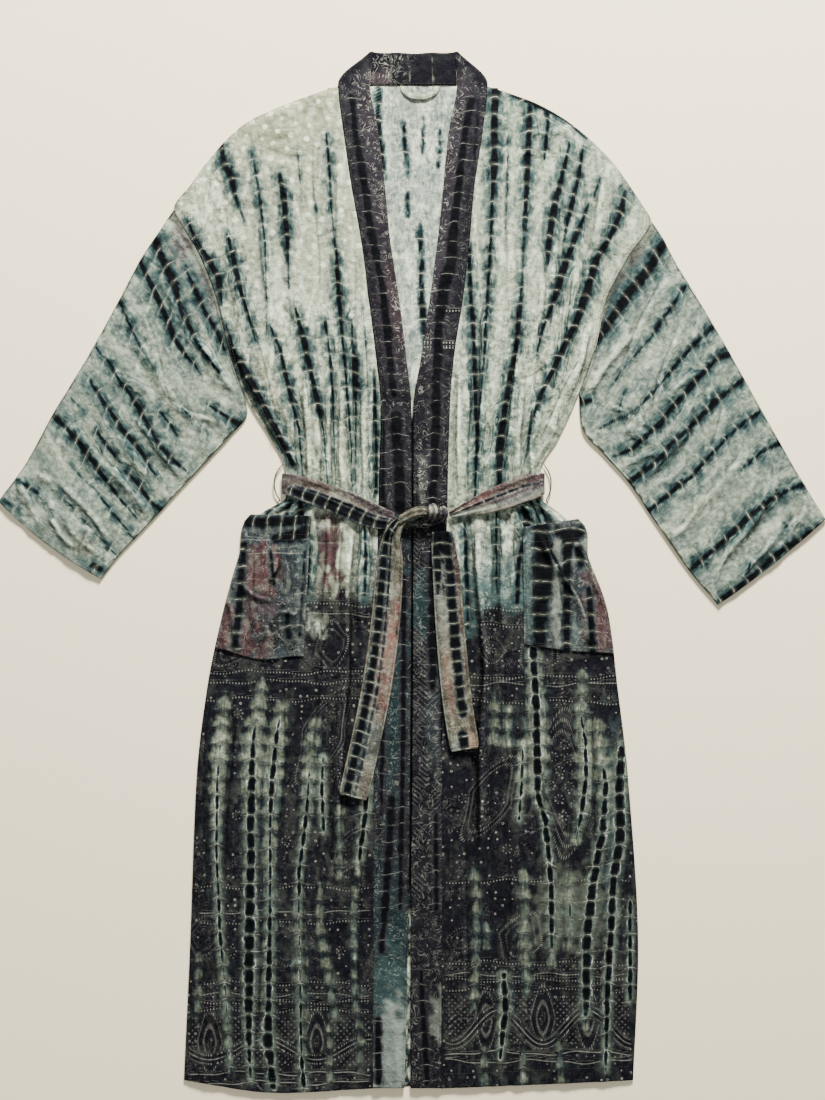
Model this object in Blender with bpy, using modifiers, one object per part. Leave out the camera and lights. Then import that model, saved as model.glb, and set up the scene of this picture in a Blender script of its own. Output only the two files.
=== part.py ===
"""A knee-length kimono robe with a shawl neckband, patch pockets and a tied belt, laid out flat on its back.

Metres, +Z up. The robe lies on the plane z = 0 with its neck towards +Y and its front facing +Z.
Left and right are the wearer's: the wearer's right side is at -X. Most tables measure "down",
the distance from the top edge of the neckband towards the hem.
"""

import math

import bmesh
import bpy
import numpy as np
from mathutils import Vector
from mathutils.bvhtree import BVHTree

# Driving dimensions
LENGTH = 1.2267
TOP_Y = LENGTH / 2
CLOTH = 0.0012
DOUBLED_CLOTH = 0.0022
SEAM_GAP = 0.0003
LAY_GAP = 0.0005
PUFF = 0.0018
PUFF_REACH = 0.012
BELT_WIDTH = 0.035
BELT_DOWN = 0.510
BELT_SLOPE_DOWN = 0.550
BELT_HALF_SPAN = 0.150
BELT_RAMP = 0.022
BELT_PRESS_REACH = 0.020
TAIL_START_LIFT = 0.003
LOOP_THREAD = 0.0016
SLEEVE_HEIGHT = 0.0042
ARMHOLE_GAP = 0.0014
HEM_START = 0.950
HEM_SIDE = 1.212

SIDES = {"right": -1, "left": 1}

# The outline of the body: how far the right and left edges stand from the centre line
BODY_EDGES = (
    # down, right, left
    (0.0413, -0.0870, 0.0885),
    (0.0625, -0.1475, 0.1475),
    (0.0873, -0.1990, 0.1890),
    (0.1286, -0.2390, 0.2340),
    (0.1560, -0.2590, 0.2540),
    (0.1864, -0.2800, 0.2740),
    (0.1994, -0.2740, 0.2810),
    (0.2419, -0.2490, 0.2550),
    (0.2974, -0.2280, 0.2270),
    (0.3505, -0.2160, 0.2150),
    (0.4059, -0.1960, 0.1950),
    (0.4602, -0.1640, 0.1700),
    (0.4920, -0.1480, 0.1510),
    (0.5280, -0.1480, 0.1510),
    (0.5350, -0.1600, 0.1600),
    (0.5463, -0.1790, 0.1760),
    (0.5688, -0.1950, 0.1960),
    (0.5983, -0.2050, 0.2080),
    (0.6643, -0.2230, 0.2310),
    (0.7517, -0.2410, 0.2420),
    (0.8555, -0.2530, 0.2540),
    (1.0608, -0.2610, 0.2660),
    (HEM_SIDE, -0.2680, 0.2600),
)

# The two sides of the neckband: the seam to the front, and the free edge
BAND_EDGES = (
    # down, right seam, right edge, left edge, left seam
    (0.0000, -0.0485, -0.0460, 0.0505, 0.0530),
    (0.0390, -0.0873, -0.0496, 0.0531, 0.0892),
    (0.0930, -0.0814, -0.0401, 0.0437, 0.0838),
    (0.1650, -0.0708, -0.0313, 0.0366, 0.0732),
    (0.2200, -0.0607, -0.0260, 0.0307, 0.0684),
    (0.2915, -0.0513, -0.0153, 0.0212, 0.0602),
    (0.3620, -0.0425, -0.0065, 0.0106, 0.0496),
    (0.4210, -0.0372, -0.0008, 0.0014, 0.0448),
    (0.5510, -0.0401, -0.0006, 0.0014, 0.0413),
    (0.8340, -0.0448, -0.0022, 0.0004, 0.0354),
    (0.9990, -0.0460, -0.0038, -0.0012, 0.0354),
    (1.2213, -0.0460, -0.0089, -0.0018, 0.0342),
)

# How far down the hem hangs, from the side seam at 0 to the band's seam at 1
HEM_DOWN = (
    # share, right, left
    (0.0, HEM_SIDE, HEM_SIDE),
    (0.5, 1.2267, 1.2170),
    (1.0, 1.2213, 1.2215),
)

# Gathers that the belt makes across each front, from the side seam at 0 to the band's seam at 1
GATHERS = (
    # share, half width, height, reach up, reach down
    (0.09, 0.080, 0.0042, 0.090, 0.050),
    (0.25, 0.085, 0.0034, 0.150, 0.130),
    (0.42, 0.080, 0.0046, 0.110, 0.200),
    (0.58, 0.080, 0.0030, 0.190, 0.120),
    (0.75, 0.085, 0.0044, 0.120, 0.230),
    (0.91, 0.075, 0.0032, 0.160, 0.150),
)

# The longest folds of each front, away from the gathers
FRONT_FOLDS = {
    "right": (
        # from across, from down, to across, to down, half width, height
        (-0.212, 0.215, -0.188, 0.420, 0.014, 0.0040),
        (-0.150, 0.110, -0.125, 0.400, 0.016, 0.0028),
        (-0.088, 0.740, -0.080, 1.010, 0.013, 0.0034),
        (-0.172, 0.760, -0.186, 1.120, 0.018, 0.0026),
        (-0.230, 0.820, -0.236, 1.080, 0.014, 0.0026),
    ),
    "left": (
        (0.196, 0.190, 0.176, 0.400, 0.015, 0.0038),
        (0.150, 0.130, 0.132, 0.430, 0.015, 0.0034),
        (0.100, 0.110, 0.101, 0.380, 0.013, 0.0028),
        (0.084, 0.700, 0.084, 1.060, 0.013, 0.0036),
        (0.170, 0.780, 0.182, 1.130, 0.018, 0.0028),
        (0.226, 0.800, 0.236, 1.060, 0.014, 0.0026),
    ),
}

# Cross sections of each sleeve from the armhole to the cuff: the fold along the top and the underarm seam
SLEEVE_SECTIONS = {
    "right": (
        # fold across, fold down, seam across, seam down, bow
        (-0.2800, 0.1875, -0.1965, 0.4050, 0.000),
        (-0.2974, 0.2124, -0.1930, 0.4260, 0.000),
        (-0.3186, 0.2431, -0.2112, 0.4508, 0.000),
        (-0.3469, 0.2962, -0.2325, 0.4744, 0.000),
        (-0.3823, 0.3599, -0.2679, 0.5121, 0.000),
        (-0.4224, 0.4260, -0.3092, 0.5570, 0.000),
        (-0.4578, 0.4897, -0.3469, 0.5971, 0.002),
        (-0.4873, 0.5298, -0.3658, 0.6219, 0.006),
    ),
    "left": (
        (0.2808, 0.2005, 0.1955, 0.4050, 0.000),
        (0.2950, 0.2207, 0.1969, 0.4272, 0.000),
        (0.3103, 0.2478, 0.2010, 0.4472, 0.000),
        (0.3398, 0.2962, 0.2266, 0.4767, 0.000),
        (0.3717, 0.3505, 0.2549, 0.5086, 0.000),
        (0.4047, 0.4095, 0.2867, 0.5558, 0.000),
        (0.4460, 0.4826, 0.3280, 0.6148, 0.000),
        (0.4873, 0.5511, 0.3599, 0.6525, 0.003),
    ),
}

SLEEVE_FOLDS = {
    "right": (
        # from across, from down, to across, to down, half width, height
        (-0.262, 0.290, -0.222, 0.400, 0.014, 0.0034),
        (-0.330, 0.330, -0.262, 0.440, 0.012, 0.0026),
        (-0.345, 0.450, -0.300, 0.520, 0.012, 0.0026),
        (-0.440, 0.515, -0.385, 0.575, 0.013, 0.0028),
    ),
    "left": (
        (0.258, 0.300, 0.226, 0.410, 0.014, 0.0034),
        (0.250, 0.440, 0.300, 0.470, 0.012, 0.0028),
        (0.345, 0.370, 0.300, 0.490, 0.013, 0.0026),
        (0.430, 0.500, 0.372, 0.600, 0.012, 0.0026),
    ),
}

# Corners of the patch pockets, with how far the loose top corner stands out past the side seam
POCKETS = {
    "right": {
        "top_inner": (-0.1192, 0.5485),
        "top_outer_down": 0.5463,
        "low_inner": (-0.1280, 0.7127),
        "low_outer_down": 0.7033,
        "sag": 0.008,
        "stands_out": 0.012,
    },
    "left": {
        "top_inner": (0.1310, 0.5617),
        "top_outer_down": 0.5517,
        "low_inner": (0.1322, 0.6986),
        "low_outer_down": 0.7092,
        "sag": 0.002,
        "stands_out": 0.015,
    },
}

# The belt's front stretches, from the turn round the side to the knot
BELT_STRETCHES = {
    "right": (
        # across, down, width
        (-0.1485, 0.5100, 0.024),
        (-0.1200, 0.5185, 0.029),
        (-0.0760, 0.5355, 0.031),
        (-0.0430, 0.5490, 0.028),
        (-0.0230, 0.5535, 0.020),
    ),
    "left": (
        (0.1515, 0.5120, 0.025),
        (0.1364, 0.5145, 0.031),
        (0.1108, 0.5240, 0.030),
        (0.0852, 0.5330, 0.025),
        (0.0640, 0.5400, 0.016),
        (0.0450, 0.5465, 0.007),
    ),
}

BELT_TAILS = {
    "right": (
        # across, down, width
        (-0.0130, 0.5545, 0.013),
        (-0.0185, 0.5610, 0.017),
        (-0.0245, 0.5762, 0.022),
        (-0.0260, 0.6022, 0.031),
        (-0.0300, 0.6600, 0.034),
        (-0.0400, 0.7400, BELT_WIDTH),
        (-0.0570, 0.8250, BELT_WIDTH),
        (-0.0690, 0.8780, BELT_WIDTH),
    ),
    "left": (
        (0.0354, 0.5670, 0.024),
        (0.0366, 0.5830, 0.028),
        (0.0400, 0.6120, 0.032),
        (0.0440, 0.6700, 0.034),
        (0.0525, 0.7600, BELT_WIDTH),
        (0.0620, 0.8220, BELT_WIDTH),
    ),
}

# The knot, with how thick it is at points along it as a share of its middle
KNOT_CENTRE = (0.0180, 0.5480)
KNOT_HALF_SIZES = (0.0260, 0.0120, 0.0085)
KNOT_TILT = 0.0040
KNOT_STRANDS = 3
KNOT_TWIST = 2.2
KNOT_GROOVE = 0.18
KNOT_SWELLS = (
    # along, reach, swell
    (-0.62, 0.38, 0.16),
    (0.05, 0.40, 0.14),
    (0.45, 0.22, -0.18),
    (0.75, 0.30, 0.12),
)

# Thread loops on the side seams that carry the belt: how far out each one stands at its middle
LOOP_STANDS_OUT = {"right": 0.0115, "left": 0.0100}
LOOP_HALF_HEIGHT = 0.0240

HANGER_CENTRE = 0.0095
HANGER_HALF_SPAN = 0.0200
HANGER_DOWN = 0.0420
HANGER_DIP = 0.0125
HANGER_WIDTH = 0.0065

# Rows of each long wall: from, to, how many steps
FRONT_ROWS = (
    (0.044, 0.1864, 6),
    (0.1864, 0.1994, 1),
    (0.1994, 0.408, 8),
    (0.408, 0.492, 4),
    (0.492, 0.528, 2),
    (0.528, 0.546, 2),
    (0.546, 0.640, 4),
    (0.640, HEM_SIDE, 8),
)
BACK_ROWS = (
    (0.0416, 0.1864, 5),
    (0.1864, 0.1994, 1),
    (0.1994, 0.408, 8),
    (0.408, 0.492, 4),
    (0.492, 0.528, 2),
    (0.528, 0.546, 2),
    (0.546, HEM_SIDE, 6),
)
BAND_ROWS = ((0.0, 0.044, 4),) + FRONT_ROWS
FRONT_COLUMNS = 24
BACK_COLUMNS = 12
BAND_COLUMNS = 3

MATERIALS = {
    # colour, roughness
    "light_cloth": ((0.42, 0.47, 0.42), 0.75),
    "inside_cloth": ((0.50, 0.55, 0.51), 0.80),
    "dark_cloth": ((0.045, 0.045, 0.060), 0.70),
    "plum_cloth": ((0.22, 0.15, 0.16), 0.75),
    "belt_cloth": ((0.12, 0.10, 0.11), 0.70),
    "thread": ((0.16, 0.17, 0.15), 0.80),
}


def clear_scene():
    for found in list(bpy.data.objects):
        bpy.data.objects.remove(found, do_unlink=True)


def cloth_material(name):
    made = bpy.data.materials.get(name)
    if made:
        return made
    colour, roughness = MATERIALS[name]
    made = bpy.data.materials.new(name)
    made.use_nodes = True
    shader = made.node_tree.nodes["Principled BSDF"]
    shader.inputs["Base Color"].default_value = (*colour, 1.0)
    shader.inputs["Roughness"].default_value = roughness
    shader.inputs["Metallic"].default_value = 0.0
    made.diffuse_color = (*colour, 1.0)
    return made


def curve_through(rows, column):
    """A smooth function through one column of a table, read against its first column, with no overshoot."""
    at = np.array([row[0] for row in rows])
    values = np.array([row[column] for row in rows])
    steps = np.diff(at)
    slopes = np.diff(values) / steps
    tangents = np.concatenate([slopes[:1], np.zeros(len(values) - 2), slopes[-1:]])
    for i in range(1, len(values) - 1):
        if slopes[i - 1] * slopes[i] > 0:
            tangents[i] = 2 * slopes[i - 1] * slopes[i] / (slopes[i - 1] + slopes[i])

    def value(x):
        i = int(np.clip(np.searchsorted(at, x) - 1, 0, len(steps) - 1))
        t = min(1.0, max(0.0, (x - at[i]) / steps[i]))
        from_here = (1 + 2 * t) * (1 - t) ** 2 * values[i] + t * t * (3 - 2 * t) * values[i + 1]
        lean = t * (1 - t) ** 2 * tangents[i] - t * t * (1 - t) * tangents[i + 1]
        return float(from_here + lean * steps[i])

    return value


def by_distance(rows):
    """The rows of a route with the distance along it put first."""
    along = [0.0]
    for here, there in zip(rows, rows[1:]):
        along.append(along[-1] + math.hypot(there[0] - here[0], there[1] - here[1]))
    return [(distance, *row) for distance, row in zip(along, rows)]


EDGE = {"right": curve_through(BODY_EDGES, 1), "left": curve_through(BODY_EDGES, 2)}
BAND_SEAM = {"right": curve_through(BAND_EDGES, 1), "left": curve_through(BAND_EDGES, 4)}
BAND_FREE = {"right": curve_through(BAND_EDGES, 2), "left": curve_through(BAND_EDGES, 3)}
HEM = {"right": curve_through(HEM_DOWN, 1), "left": curve_through(HEM_DOWN, 2)}


def mix(a, b, share):
    return a + (b - a) * share


def ramp(x, low, high):
    """0 below low, 1 above high, and smooth between."""
    t = min(1.0, max(0.0, (x - low) / (high - low)))
    return t * t * (3 - 2 * t)


def bump(x):
    """1 at 0, falling smoothly to 0 at -1 and 1."""
    return 0.5 + 0.5 * math.cos(math.pi * x) if abs(x) < 1 else 0.0


def stations(spans):
    """Row positions from a table of spans, each with its own number of steps."""
    found = [spans[0][0]]
    for start, end, steps in spans:
        found += [mix(start, end, (i + 1) / steps) for i in range(steps)]
    return found


def fold_height(folds, x, down):
    """How high the folds of a table stand at a point, each one a soft ridge that fades at its ends."""
    height = 0.0
    for x0, down0, x1, down1, half_width, rise in folds:
        run = (x1 - x0, down1 - down0)
        length = math.hypot(*run)
        share = ((x - x0) * run[0] + (down - down0) * run[1]) / length**2
        away = abs((x - x0) * run[1] - (down - down0) * run[0]) / length
        height += rise * bump(away / half_width) * bump(2 * share - 1) ** 0.5
    return height


def belt_lift(down):
    """How far the cloth is raised where it crosses the belt that runs under the robe."""
    away = abs(down - BELT_DOWN) - BELT_WIDTH / 2
    return (DOUBLED_CLOTH + SEAM_GAP) * (1 - ramp(away, 0.002, 0.002 + BELT_RAMP))


def belt_line(x):
    """How far down the belt crosses the front."""
    return mix(BELT_SLOPE_DOWN, BELT_DOWN, min(1.0, abs(x) / BELT_HALF_SPAN))


def gather_height(share, x, down):
    """The gathers at the belt, pressed lower right under it."""
    away = down - belt_line(x)
    press = 1 - 0.5 * math.exp(-((away / BELT_PRESS_REACH) ** 2))
    height = 0.0
    for centre, half_width, rise, up, low in GATHERS:
        reach = up if away < 0 else low
        height += rise * bump((share - centre) / half_width) * math.exp(-((away / reach) ** 2))
    return height * press


def over_back(down):
    """The height at which a layer lies on the back panel with no puff."""
    return CLOTH + SEAM_GAP + belt_lift(down)


def front_under(side, share, down):
    """The height of the underside of a front, from the side seam at share 0 to the band's seam at 1."""
    edge, seam = EDGE[side](down), BAND_SEAM[side](down)
    x = mix(edge, seam, share)
    inwards = abs(x - edge)
    puff = PUFF * (1 - math.exp(-inwards / PUFF_REACH))
    calm = ramp(inwards, 0.0, 0.010) * ramp(abs(x - seam), 0.0, 0.008)
    folds = fold_height(FRONT_FOLDS[side], x, down) * calm
    return over_back(down) + puff + folds + gather_height(share, x, down)


def hem_drop(side, share, down):
    """How much lower a point hangs because the hem is curved."""
    return (HEM[side](share) - HEM_SIDE) * ramp(down, HEM_START, HEM_SIDE)


def add_object(name, mesh, material, collection):
    made = bpy.data.objects.new(name, mesh)
    made.data.materials.append(cloth_material(material))
    collection.objects.link(made)
    return made


def face_outwards(shape):
    """Turns the faces of a closed shape outwards."""
    if shape.calc_volume(signed=True) < 0:
        bmesh.ops.reverse_faces(shape, faces=shape.faces)


def cloth_wall(name, columns, rows, place, thickness, material, collection, flip=False):
    """An open grid of cloth placed by place(share across, share along), thickened outwards by Solidify."""
    mesh = bpy.data.meshes.new(name)
    cage = bmesh.new()
    bmesh.ops.create_grid(cage, x_segments=columns, y_segments=rows, size=0.5)
    for vertex in cage.verts:
        vertex.co = Vector(place(vertex.co.x + 0.5, vertex.co.y + 0.5))
    if flip:
        bmesh.ops.reverse_faces(cage, faces=cage.faces)
    cage.to_mesh(mesh)
    cage.free()
    made = add_object(name, mesh, material, collection)
    wall = made.modifiers.new("Cloth", "SOLIDIFY")
    wall.thickness = thickness
    wall.offset = 1.0
    return made


def row_value(positions, share):
    """The table position that a share of the rows stands for."""
    return positions[min(len(positions) - 1, round(share * (len(positions) - 1)))]


def back_panel(collection):
    rows = stations(BACK_ROWS)

    def place(across, along):
        down = row_value(rows, along)
        x = mix(EDGE["right"](down), EDGE["left"](down), across)
        side = "right" if across < 0.5 else "left"
        drop = hem_drop(side, 1 - abs(2 * across - 1), down) - 0.002 * ramp(down, HEM_START, HEM_SIDE)
        return x, TOP_Y - down - drop, belt_lift(down)

    cloth_wall("back", BACK_COLUMNS, len(rows) - 1, place, CLOTH, "inside_cloth", collection, flip=True)


def front_panel(side, collection):
    rows = stations(FRONT_ROWS)
    inner_gap = SIDES[side] * SEAM_GAP

    def place(across, along):
        down = row_value(rows, along)
        x = mix(EDGE[side](down), BAND_SEAM[side](down) + inner_gap, across)
        return x, TOP_Y - down - hem_drop(side, across, down), front_under(side, across, down)

    flip = side == "right"
    cloth_wall("front_" + side, FRONT_COLUMNS, len(rows) - 1, place, CLOTH, "light_cloth", collection, flip)


def band_under(side, down):
    """The neckband lies on the plane above the shoulders and on the fronts' level below them."""
    return front_under(side, 1.0, max(down, 0.0413)) * ramp(down, 0.002, 0.062)


def neckband_side(side, collection):
    rows = stations(BAND_ROWS)

    def place(across, along):
        down = row_value(rows, along)
        x = mix(BAND_SEAM[side](down), BAND_FREE[side](down), across)
        return x, TOP_Y - down - hem_drop(side, 1.0, down), band_under(side, down)

    flip = side == "right"
    cloth_wall(
        "neckband_" + side, BAND_COLUMNS, len(rows) - 1, place, DOUBLED_CLOTH, "dark_cloth", collection, flip
    )


def neckband_back(collection):
    width = 0.0413

    def place(across, along):
        down = mix(0.0006, width - SEAM_GAP, along)
        x = mix(BAND_FREE["right"](down) + SEAM_GAP, BAND_FREE["left"](down) - SEAM_GAP, across)
        sag = 0.0014 * math.sin(math.pi * across) + 0.0006 * math.sin(5 * math.pi * across)
        return x, TOP_Y - down - sag * (1 - along), 0.0

    cloth_wall("neckband_back", 12, 3, place, DOUBLED_CLOTH, "dark_cloth", collection, flip=True)


def sleeve_plan(side, along, across):
    """A point of a sleeve in plan: the armhole end follows the body's edge, and the rest the sections."""
    table = by_distance(SLEEVE_SECTIONS[side])
    distance = along * table[-1][0]
    fold_x, fold_down, seam_x, seam_down, bow = (curve_through(table, i)(distance) for i in range(1, 6))
    x, down = mix(fold_x, seam_x, across), mix(fold_down, seam_down, across)
    outwards = Vector((seam_down - fold_down, fold_x - seam_x)).normalized() * SIDES[side]
    belly = 4 * across * (1 - across) * bow
    _, start_fold_x, start_fold_down, start_seam_x, start_seam_down, _ = table[0]
    start_down = mix(start_fold_down, start_seam_down, across)
    armhole_x = EDGE[side](start_down) + SIDES[side] * ARMHOLE_GAP
    shift = armhole_x - mix(start_fold_x, start_seam_x, across)
    return x + outwards.x * belly + shift * (1 - ramp(distance, 0.0, 0.060)), down + outwards.y * belly


def sleeve(side, collection):
    """A flattened tube, open at the armhole and the cuff, resting flat on its under layer."""
    ring = (
        # across share, level: 0 under, 1 top, and metres inwards from the edge
        [(i / 9, 1.0, 0.0) for i in range(1, 9)]
        + [(1.0, 1.0, 0.0022), (1.0, 0.72, 0.0004), (1.0, 0.28, 0.0004), (1.0, 0.0, 0.0022)]
        + [(i / 4, 0.0, 0.0) for i in (3, 2, 1)]
        + [(0.0, 0.0, 0.0022), (0.0, 0.28, 0.0004), (0.0, 0.72, 0.0004), (0.0, 1.0, 0.0022)]
    )
    table = by_distance(SLEEVE_SECTIONS[side])
    along_steps = 13
    mesh = bpy.data.meshes.new("sleeve_" + side)
    tube = bmesh.new()
    rings = []
    for step in range(along_steps + 1):
        along = (step / along_steps) ** 1.15
        fold = Vector(sleeve_plan(side, along, 0.0))
        seam = Vector(sleeve_plan(side, along, 1.0))
        width = (seam - fold).length
        points = []
        for across, level, inset in ring:
            share = across + (inset / width if across < 0.5 else -inset / width) * (inset > 0)
            x, down = sleeve_plan(side, along, share)
            rise = fold_height(SLEEVE_FOLDS[side], x, down) * ramp(along * table[-1][0], 0.0, 0.03)
            edge_calm = ramp(min(share, 1 - share) * width, 0.0, 0.012)
            z = SLEEVE_HEIGHT * level + (rise * edge_calm if level == 1.0 else 0.0)
            points.append(tube.verts.new((x, TOP_Y - down, z)))
        rings.append(points)
    for first, second in zip(rings, rings[1:]):
        for i in range(len(ring)):
            j = (i + 1) % len(ring)
            corners = (first[i], first[j], second[j], second[i])
            tube.faces.new(corners if side == "right" else corners[::-1])
    bmesh.ops.recalc_face_normals(tube, faces=tube.faces)
    tube.to_mesh(mesh)
    tube.free()
    made = add_object("sleeve_" + side, mesh, "light_cloth", collection)
    wall = made.modifiers.new("Cloth", "SOLIDIFY")
    wall.thickness = CLOTH
    wall.offset = -1.0


class Lying:
    """Finds how high the pieces already laid stand, so that the next piece rests on them."""

    def __init__(self, names):
        bpy.context.view_layer.update()
        graph = bpy.context.evaluated_depsgraph_get()
        self.trees = [BVHTree.FromObject(bpy.data.objects[name], graph) for name in names]

    def top(self, x, y, reach):
        """The highest point under a small disc, or None where nothing lies there."""
        found = []
        for ring in (0.0, 0.5, 1.0):
            for turn in range(8 if ring else 1):
                angle = turn * math.pi / 4
                start = Vector((x + ring * reach * math.cos(angle), y + ring * reach * math.sin(angle), 1.0))
                for tree in self.trees:
                    hit = tree.ray_cast(start, Vector((0, 0, -1)))[0]
                    if hit:
                        found.append(hit.z)
        return max(found) if found else None


def pocket(side, collection):
    below = Lying(["front_" + side])
    sizes = POCKETS[side]

    def place(across, along):
        inner_x = mix(sizes["top_inner"][0], sizes["low_inner"][0], along)
        inner_down = mix(sizes["top_inner"][1], sizes["low_inner"][1], along)
        outer_down = mix(sizes["top_outer_down"], sizes["low_outer_down"], along)
        stands_out = sizes["stands_out"] * (1 - ramp(along, 0.0, 0.32))
        outer_x = EDGE[side](outer_down) + SIDES[side] * (stands_out - 0.001)
        x = mix(inner_x, outer_x, across)
        down = mix(inner_down, outer_down, across) + sizes["sag"] * bump(2 * across - 1) * along
        y = TOP_Y - down
        height = below.top(x, y, 0.007) or below.top(x, y, 0.018)
        return x, y, height + LAY_GAP

    flip = side == "left"
    cloth_wall("pocket_" + side, 8, 9, place, CLOTH, "plum_cloth", collection, flip)


def belt_back(collection):
    """The stretch of belt that runs flat on the ground under the back."""
    half = BELT_HALF_SPAN - 0.012

    def place(across, along):
        return mix(-half, half, along), TOP_Y - BELT_DOWN + mix(-0.5, 0.5, across) * BELT_WIDTH, 0.0

    cloth_wall("belt_back", 2, 8, place, DOUBLED_CLOTH, "belt_cloth", collection, flip=True)


def belt_stretch(side, collection):
    """From the back stretch round the side seam and over the front to the knot."""
    below = Lying(["front_" + side, "neckband_" + side])
    sign = SIDES[side]
    table = by_distance(BELT_STRETCHES[side])
    edge_x = table[0][1]
    low = DOUBLED_CLOTH
    high = over_back(BELT_DOWN) + CLOTH + 0.0022
    radius = (high - low) / 2
    under_end = sign * (BELT_HALF_SPAN - 0.012 + SEAM_GAP)
    steps_under, steps_turn, steps_over = 2, 5, 11
    steps = steps_under + steps_turn + steps_over

    def place(across, along):
        step = round(along * steps)
        if step < steps_under:
            x = mix(under_end, edge_x, step / steps_under)
            width = mix(BELT_WIDTH, table[0][3], step / steps_under)
            return x, TOP_Y - BELT_DOWN + mix(-0.5, 0.5, across) * width, low
        if step <= steps_under + steps_turn:
            angle = math.pi * (step - steps_under) / steps_turn
            x = edge_x + sign * radius * math.sin(angle)
            z = low + radius * (1 - math.cos(angle))
            return x, TOP_Y - BELT_DOWN + mix(-0.5, 0.5, across) * table[0][3], z
        distance = table[-1][0] * (step - steps_under - steps_turn) / steps_over
        centre_x, centre_down, width = (curve_through(table, i)(distance) for i in (1, 2, 3))
        ahead_x, ahead_down = (curve_through(table, i)(distance + 0.004) for i in (1, 2))
        behind_x, behind_down = (curve_through(table, i)(distance - 0.004) for i in (1, 2))
        run = Vector((ahead_x - behind_x, behind_down - ahead_down)).normalized()
        normal = Vector((-run.y, run.x)) * (1 if run.x > 0 else -1)
        point = Vector((centre_x, TOP_Y - centre_down)) + normal * mix(-0.5, 0.5, across) * width
        height = below.top(point.x, point.y, 0.012) or high
        return point.x, point.y, max(high, height + 2 * LAY_GAP)

    flip = side == "right"
    cloth_wall("belt_" + side, 3, steps, place, DOUBLED_CLOTH, "belt_cloth", collection, flip)


def belt_knot(collection):
    """The knot as one rounded lump with the grooves of its crossing strands, lying on the neckbands."""
    below = Lying(["front_right", "front_left", "neckband_right", "neckband_left"])
    half_x, half_y, half_z = KNOT_HALF_SIZES
    centre_x, centre_y = KNOT_CENTRE[0], TOP_Y - KNOT_CENTRE[1]
    middle = below.top(centre_x, centre_y, 0.010) + LAY_GAP + 0.9 * half_z
    mesh = bpy.data.meshes.new("belt_knot")
    lump = bmesh.new()
    bmesh.ops.create_uvsphere(lump, u_segments=24, v_segments=18, radius=1.0)
    for vertex in lump.verts:
        along, up, out = vertex.co.z, vertex.co.x, vertex.co.y
        angle = math.atan2(up, out)
        groove = 1 - KNOT_GROOVE * (0.5 - 0.5 * math.cos(KNOT_STRANDS * angle + KNOT_TWIST * along * math.pi))
        thick = 1 + sum(swell * bump((along - at) / reach) for at, reach, swell in KNOT_SWELLS)
        x = centre_x + half_x * along
        y = centre_y + half_y * out * groove * thick + KNOT_TILT * along
        floor = below.top(x, y, 0.004) + LAY_GAP
        vertex.co = Vector((x, y, max(floor, middle + half_z * up * groove * thick)))
    face_outwards(lump)
    lump.to_mesh(mesh)
    lump.free()
    add_object("belt_knot", mesh, "belt_cloth", collection)


def belt_tail(side, collection):
    """A hanging end of the belt, lying down the front from the knot."""
    below = Lying(["front_right", "front_left", "neckband_right", "neckband_left", "belt_right"])
    table = by_distance(BELT_TAILS[side])
    steps = 16

    def place(across, along):
        distance = table[-1][0] * along
        centre_x, centre_down, width = (curve_through(table, i)(distance) for i in (1, 2, 3))
        ahead_x, ahead_down = (curve_through(table, i)(distance + 0.01) for i in (1, 2))
        behind_x, behind_down = (curve_through(table, i)(distance - 0.01) for i in (1, 2))
        run = Vector((ahead_x - behind_x, behind_down - ahead_down)).normalized()
        normal = Vector((-run.y, run.x))
        point = Vector((centre_x, TOP_Y - centre_down)) + normal * mix(-0.5, 0.5, across) * width
        start_lift = TAIL_START_LIFT * (1 - ramp(along, 0.0, 0.12))
        return point.x, point.y, below.top(point.x, point.y, 0.010) + LAY_GAP + start_lift

    cloth_wall("belt_tail_" + side, 3, steps, place, DOUBLED_CLOTH, "belt_cloth", collection, flip=True)


def thread_loop(side, collection):
    """A thread loop sewn to the side seam above and below the belt, which passes inside it."""
    sign = SIDES[side]
    stands_out = LOOP_STANDS_OUT[side]
    points = []
    steps = 18
    for step in range(steps + 1):
        along = mix(-1.0, 1.0, step / steps)
        down = BELT_DOWN + along * LOOP_HALF_HEIGHT
        reach = stands_out * (1 - abs(along) ** 2.4) + LOOP_THREAD / 2 + 0.0018
        z = 0.0026 + 0.0018 * bump(along)
        points.append((EDGE[side](down) + sign * reach, TOP_Y - down, z))
    curve = bpy.data.curves.new("belt_loop_" + side, "CURVE")
    curve.dimensions = "3D"
    curve.bevel_depth = LOOP_THREAD / 2
    curve.bevel_resolution = 2
    curve.use_fill_caps = True
    line = curve.splines.new("POLY")
    line.points.add(len(points) - 1)
    for place, point in zip(line.points, points):
        place.co = (*point, 1.0)
    add_object("belt_loop_" + side, curve, "thread", collection)


def hanger_loop(collection):
    """A short strip sewn under the back neckband at both ends, bowed down on the inside of the back."""
    half_span, dip, width = HANGER_HALF_SPAN, HANGER_DIP, HANGER_WIDTH

    def place(across, along):
        angle = math.pi * (1 - along)
        normal = Vector((math.cos(angle) / half_span, math.sin(angle) / dip)).normalized()
        reach = mix(-0.5, 0.5, across) * width
        x = HANGER_CENTRE + half_span * math.cos(angle) + normal.x * reach
        down = HANGER_DOWN + dip * math.sin(angle) + normal.y * reach
        return x, TOP_Y - down, CLOTH + SEAM_GAP + 0.0016 * math.sin(angle)

    cloth_wall("hanger_loop", 2, 14, place, CLOTH, "light_cloth", collection)


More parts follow.
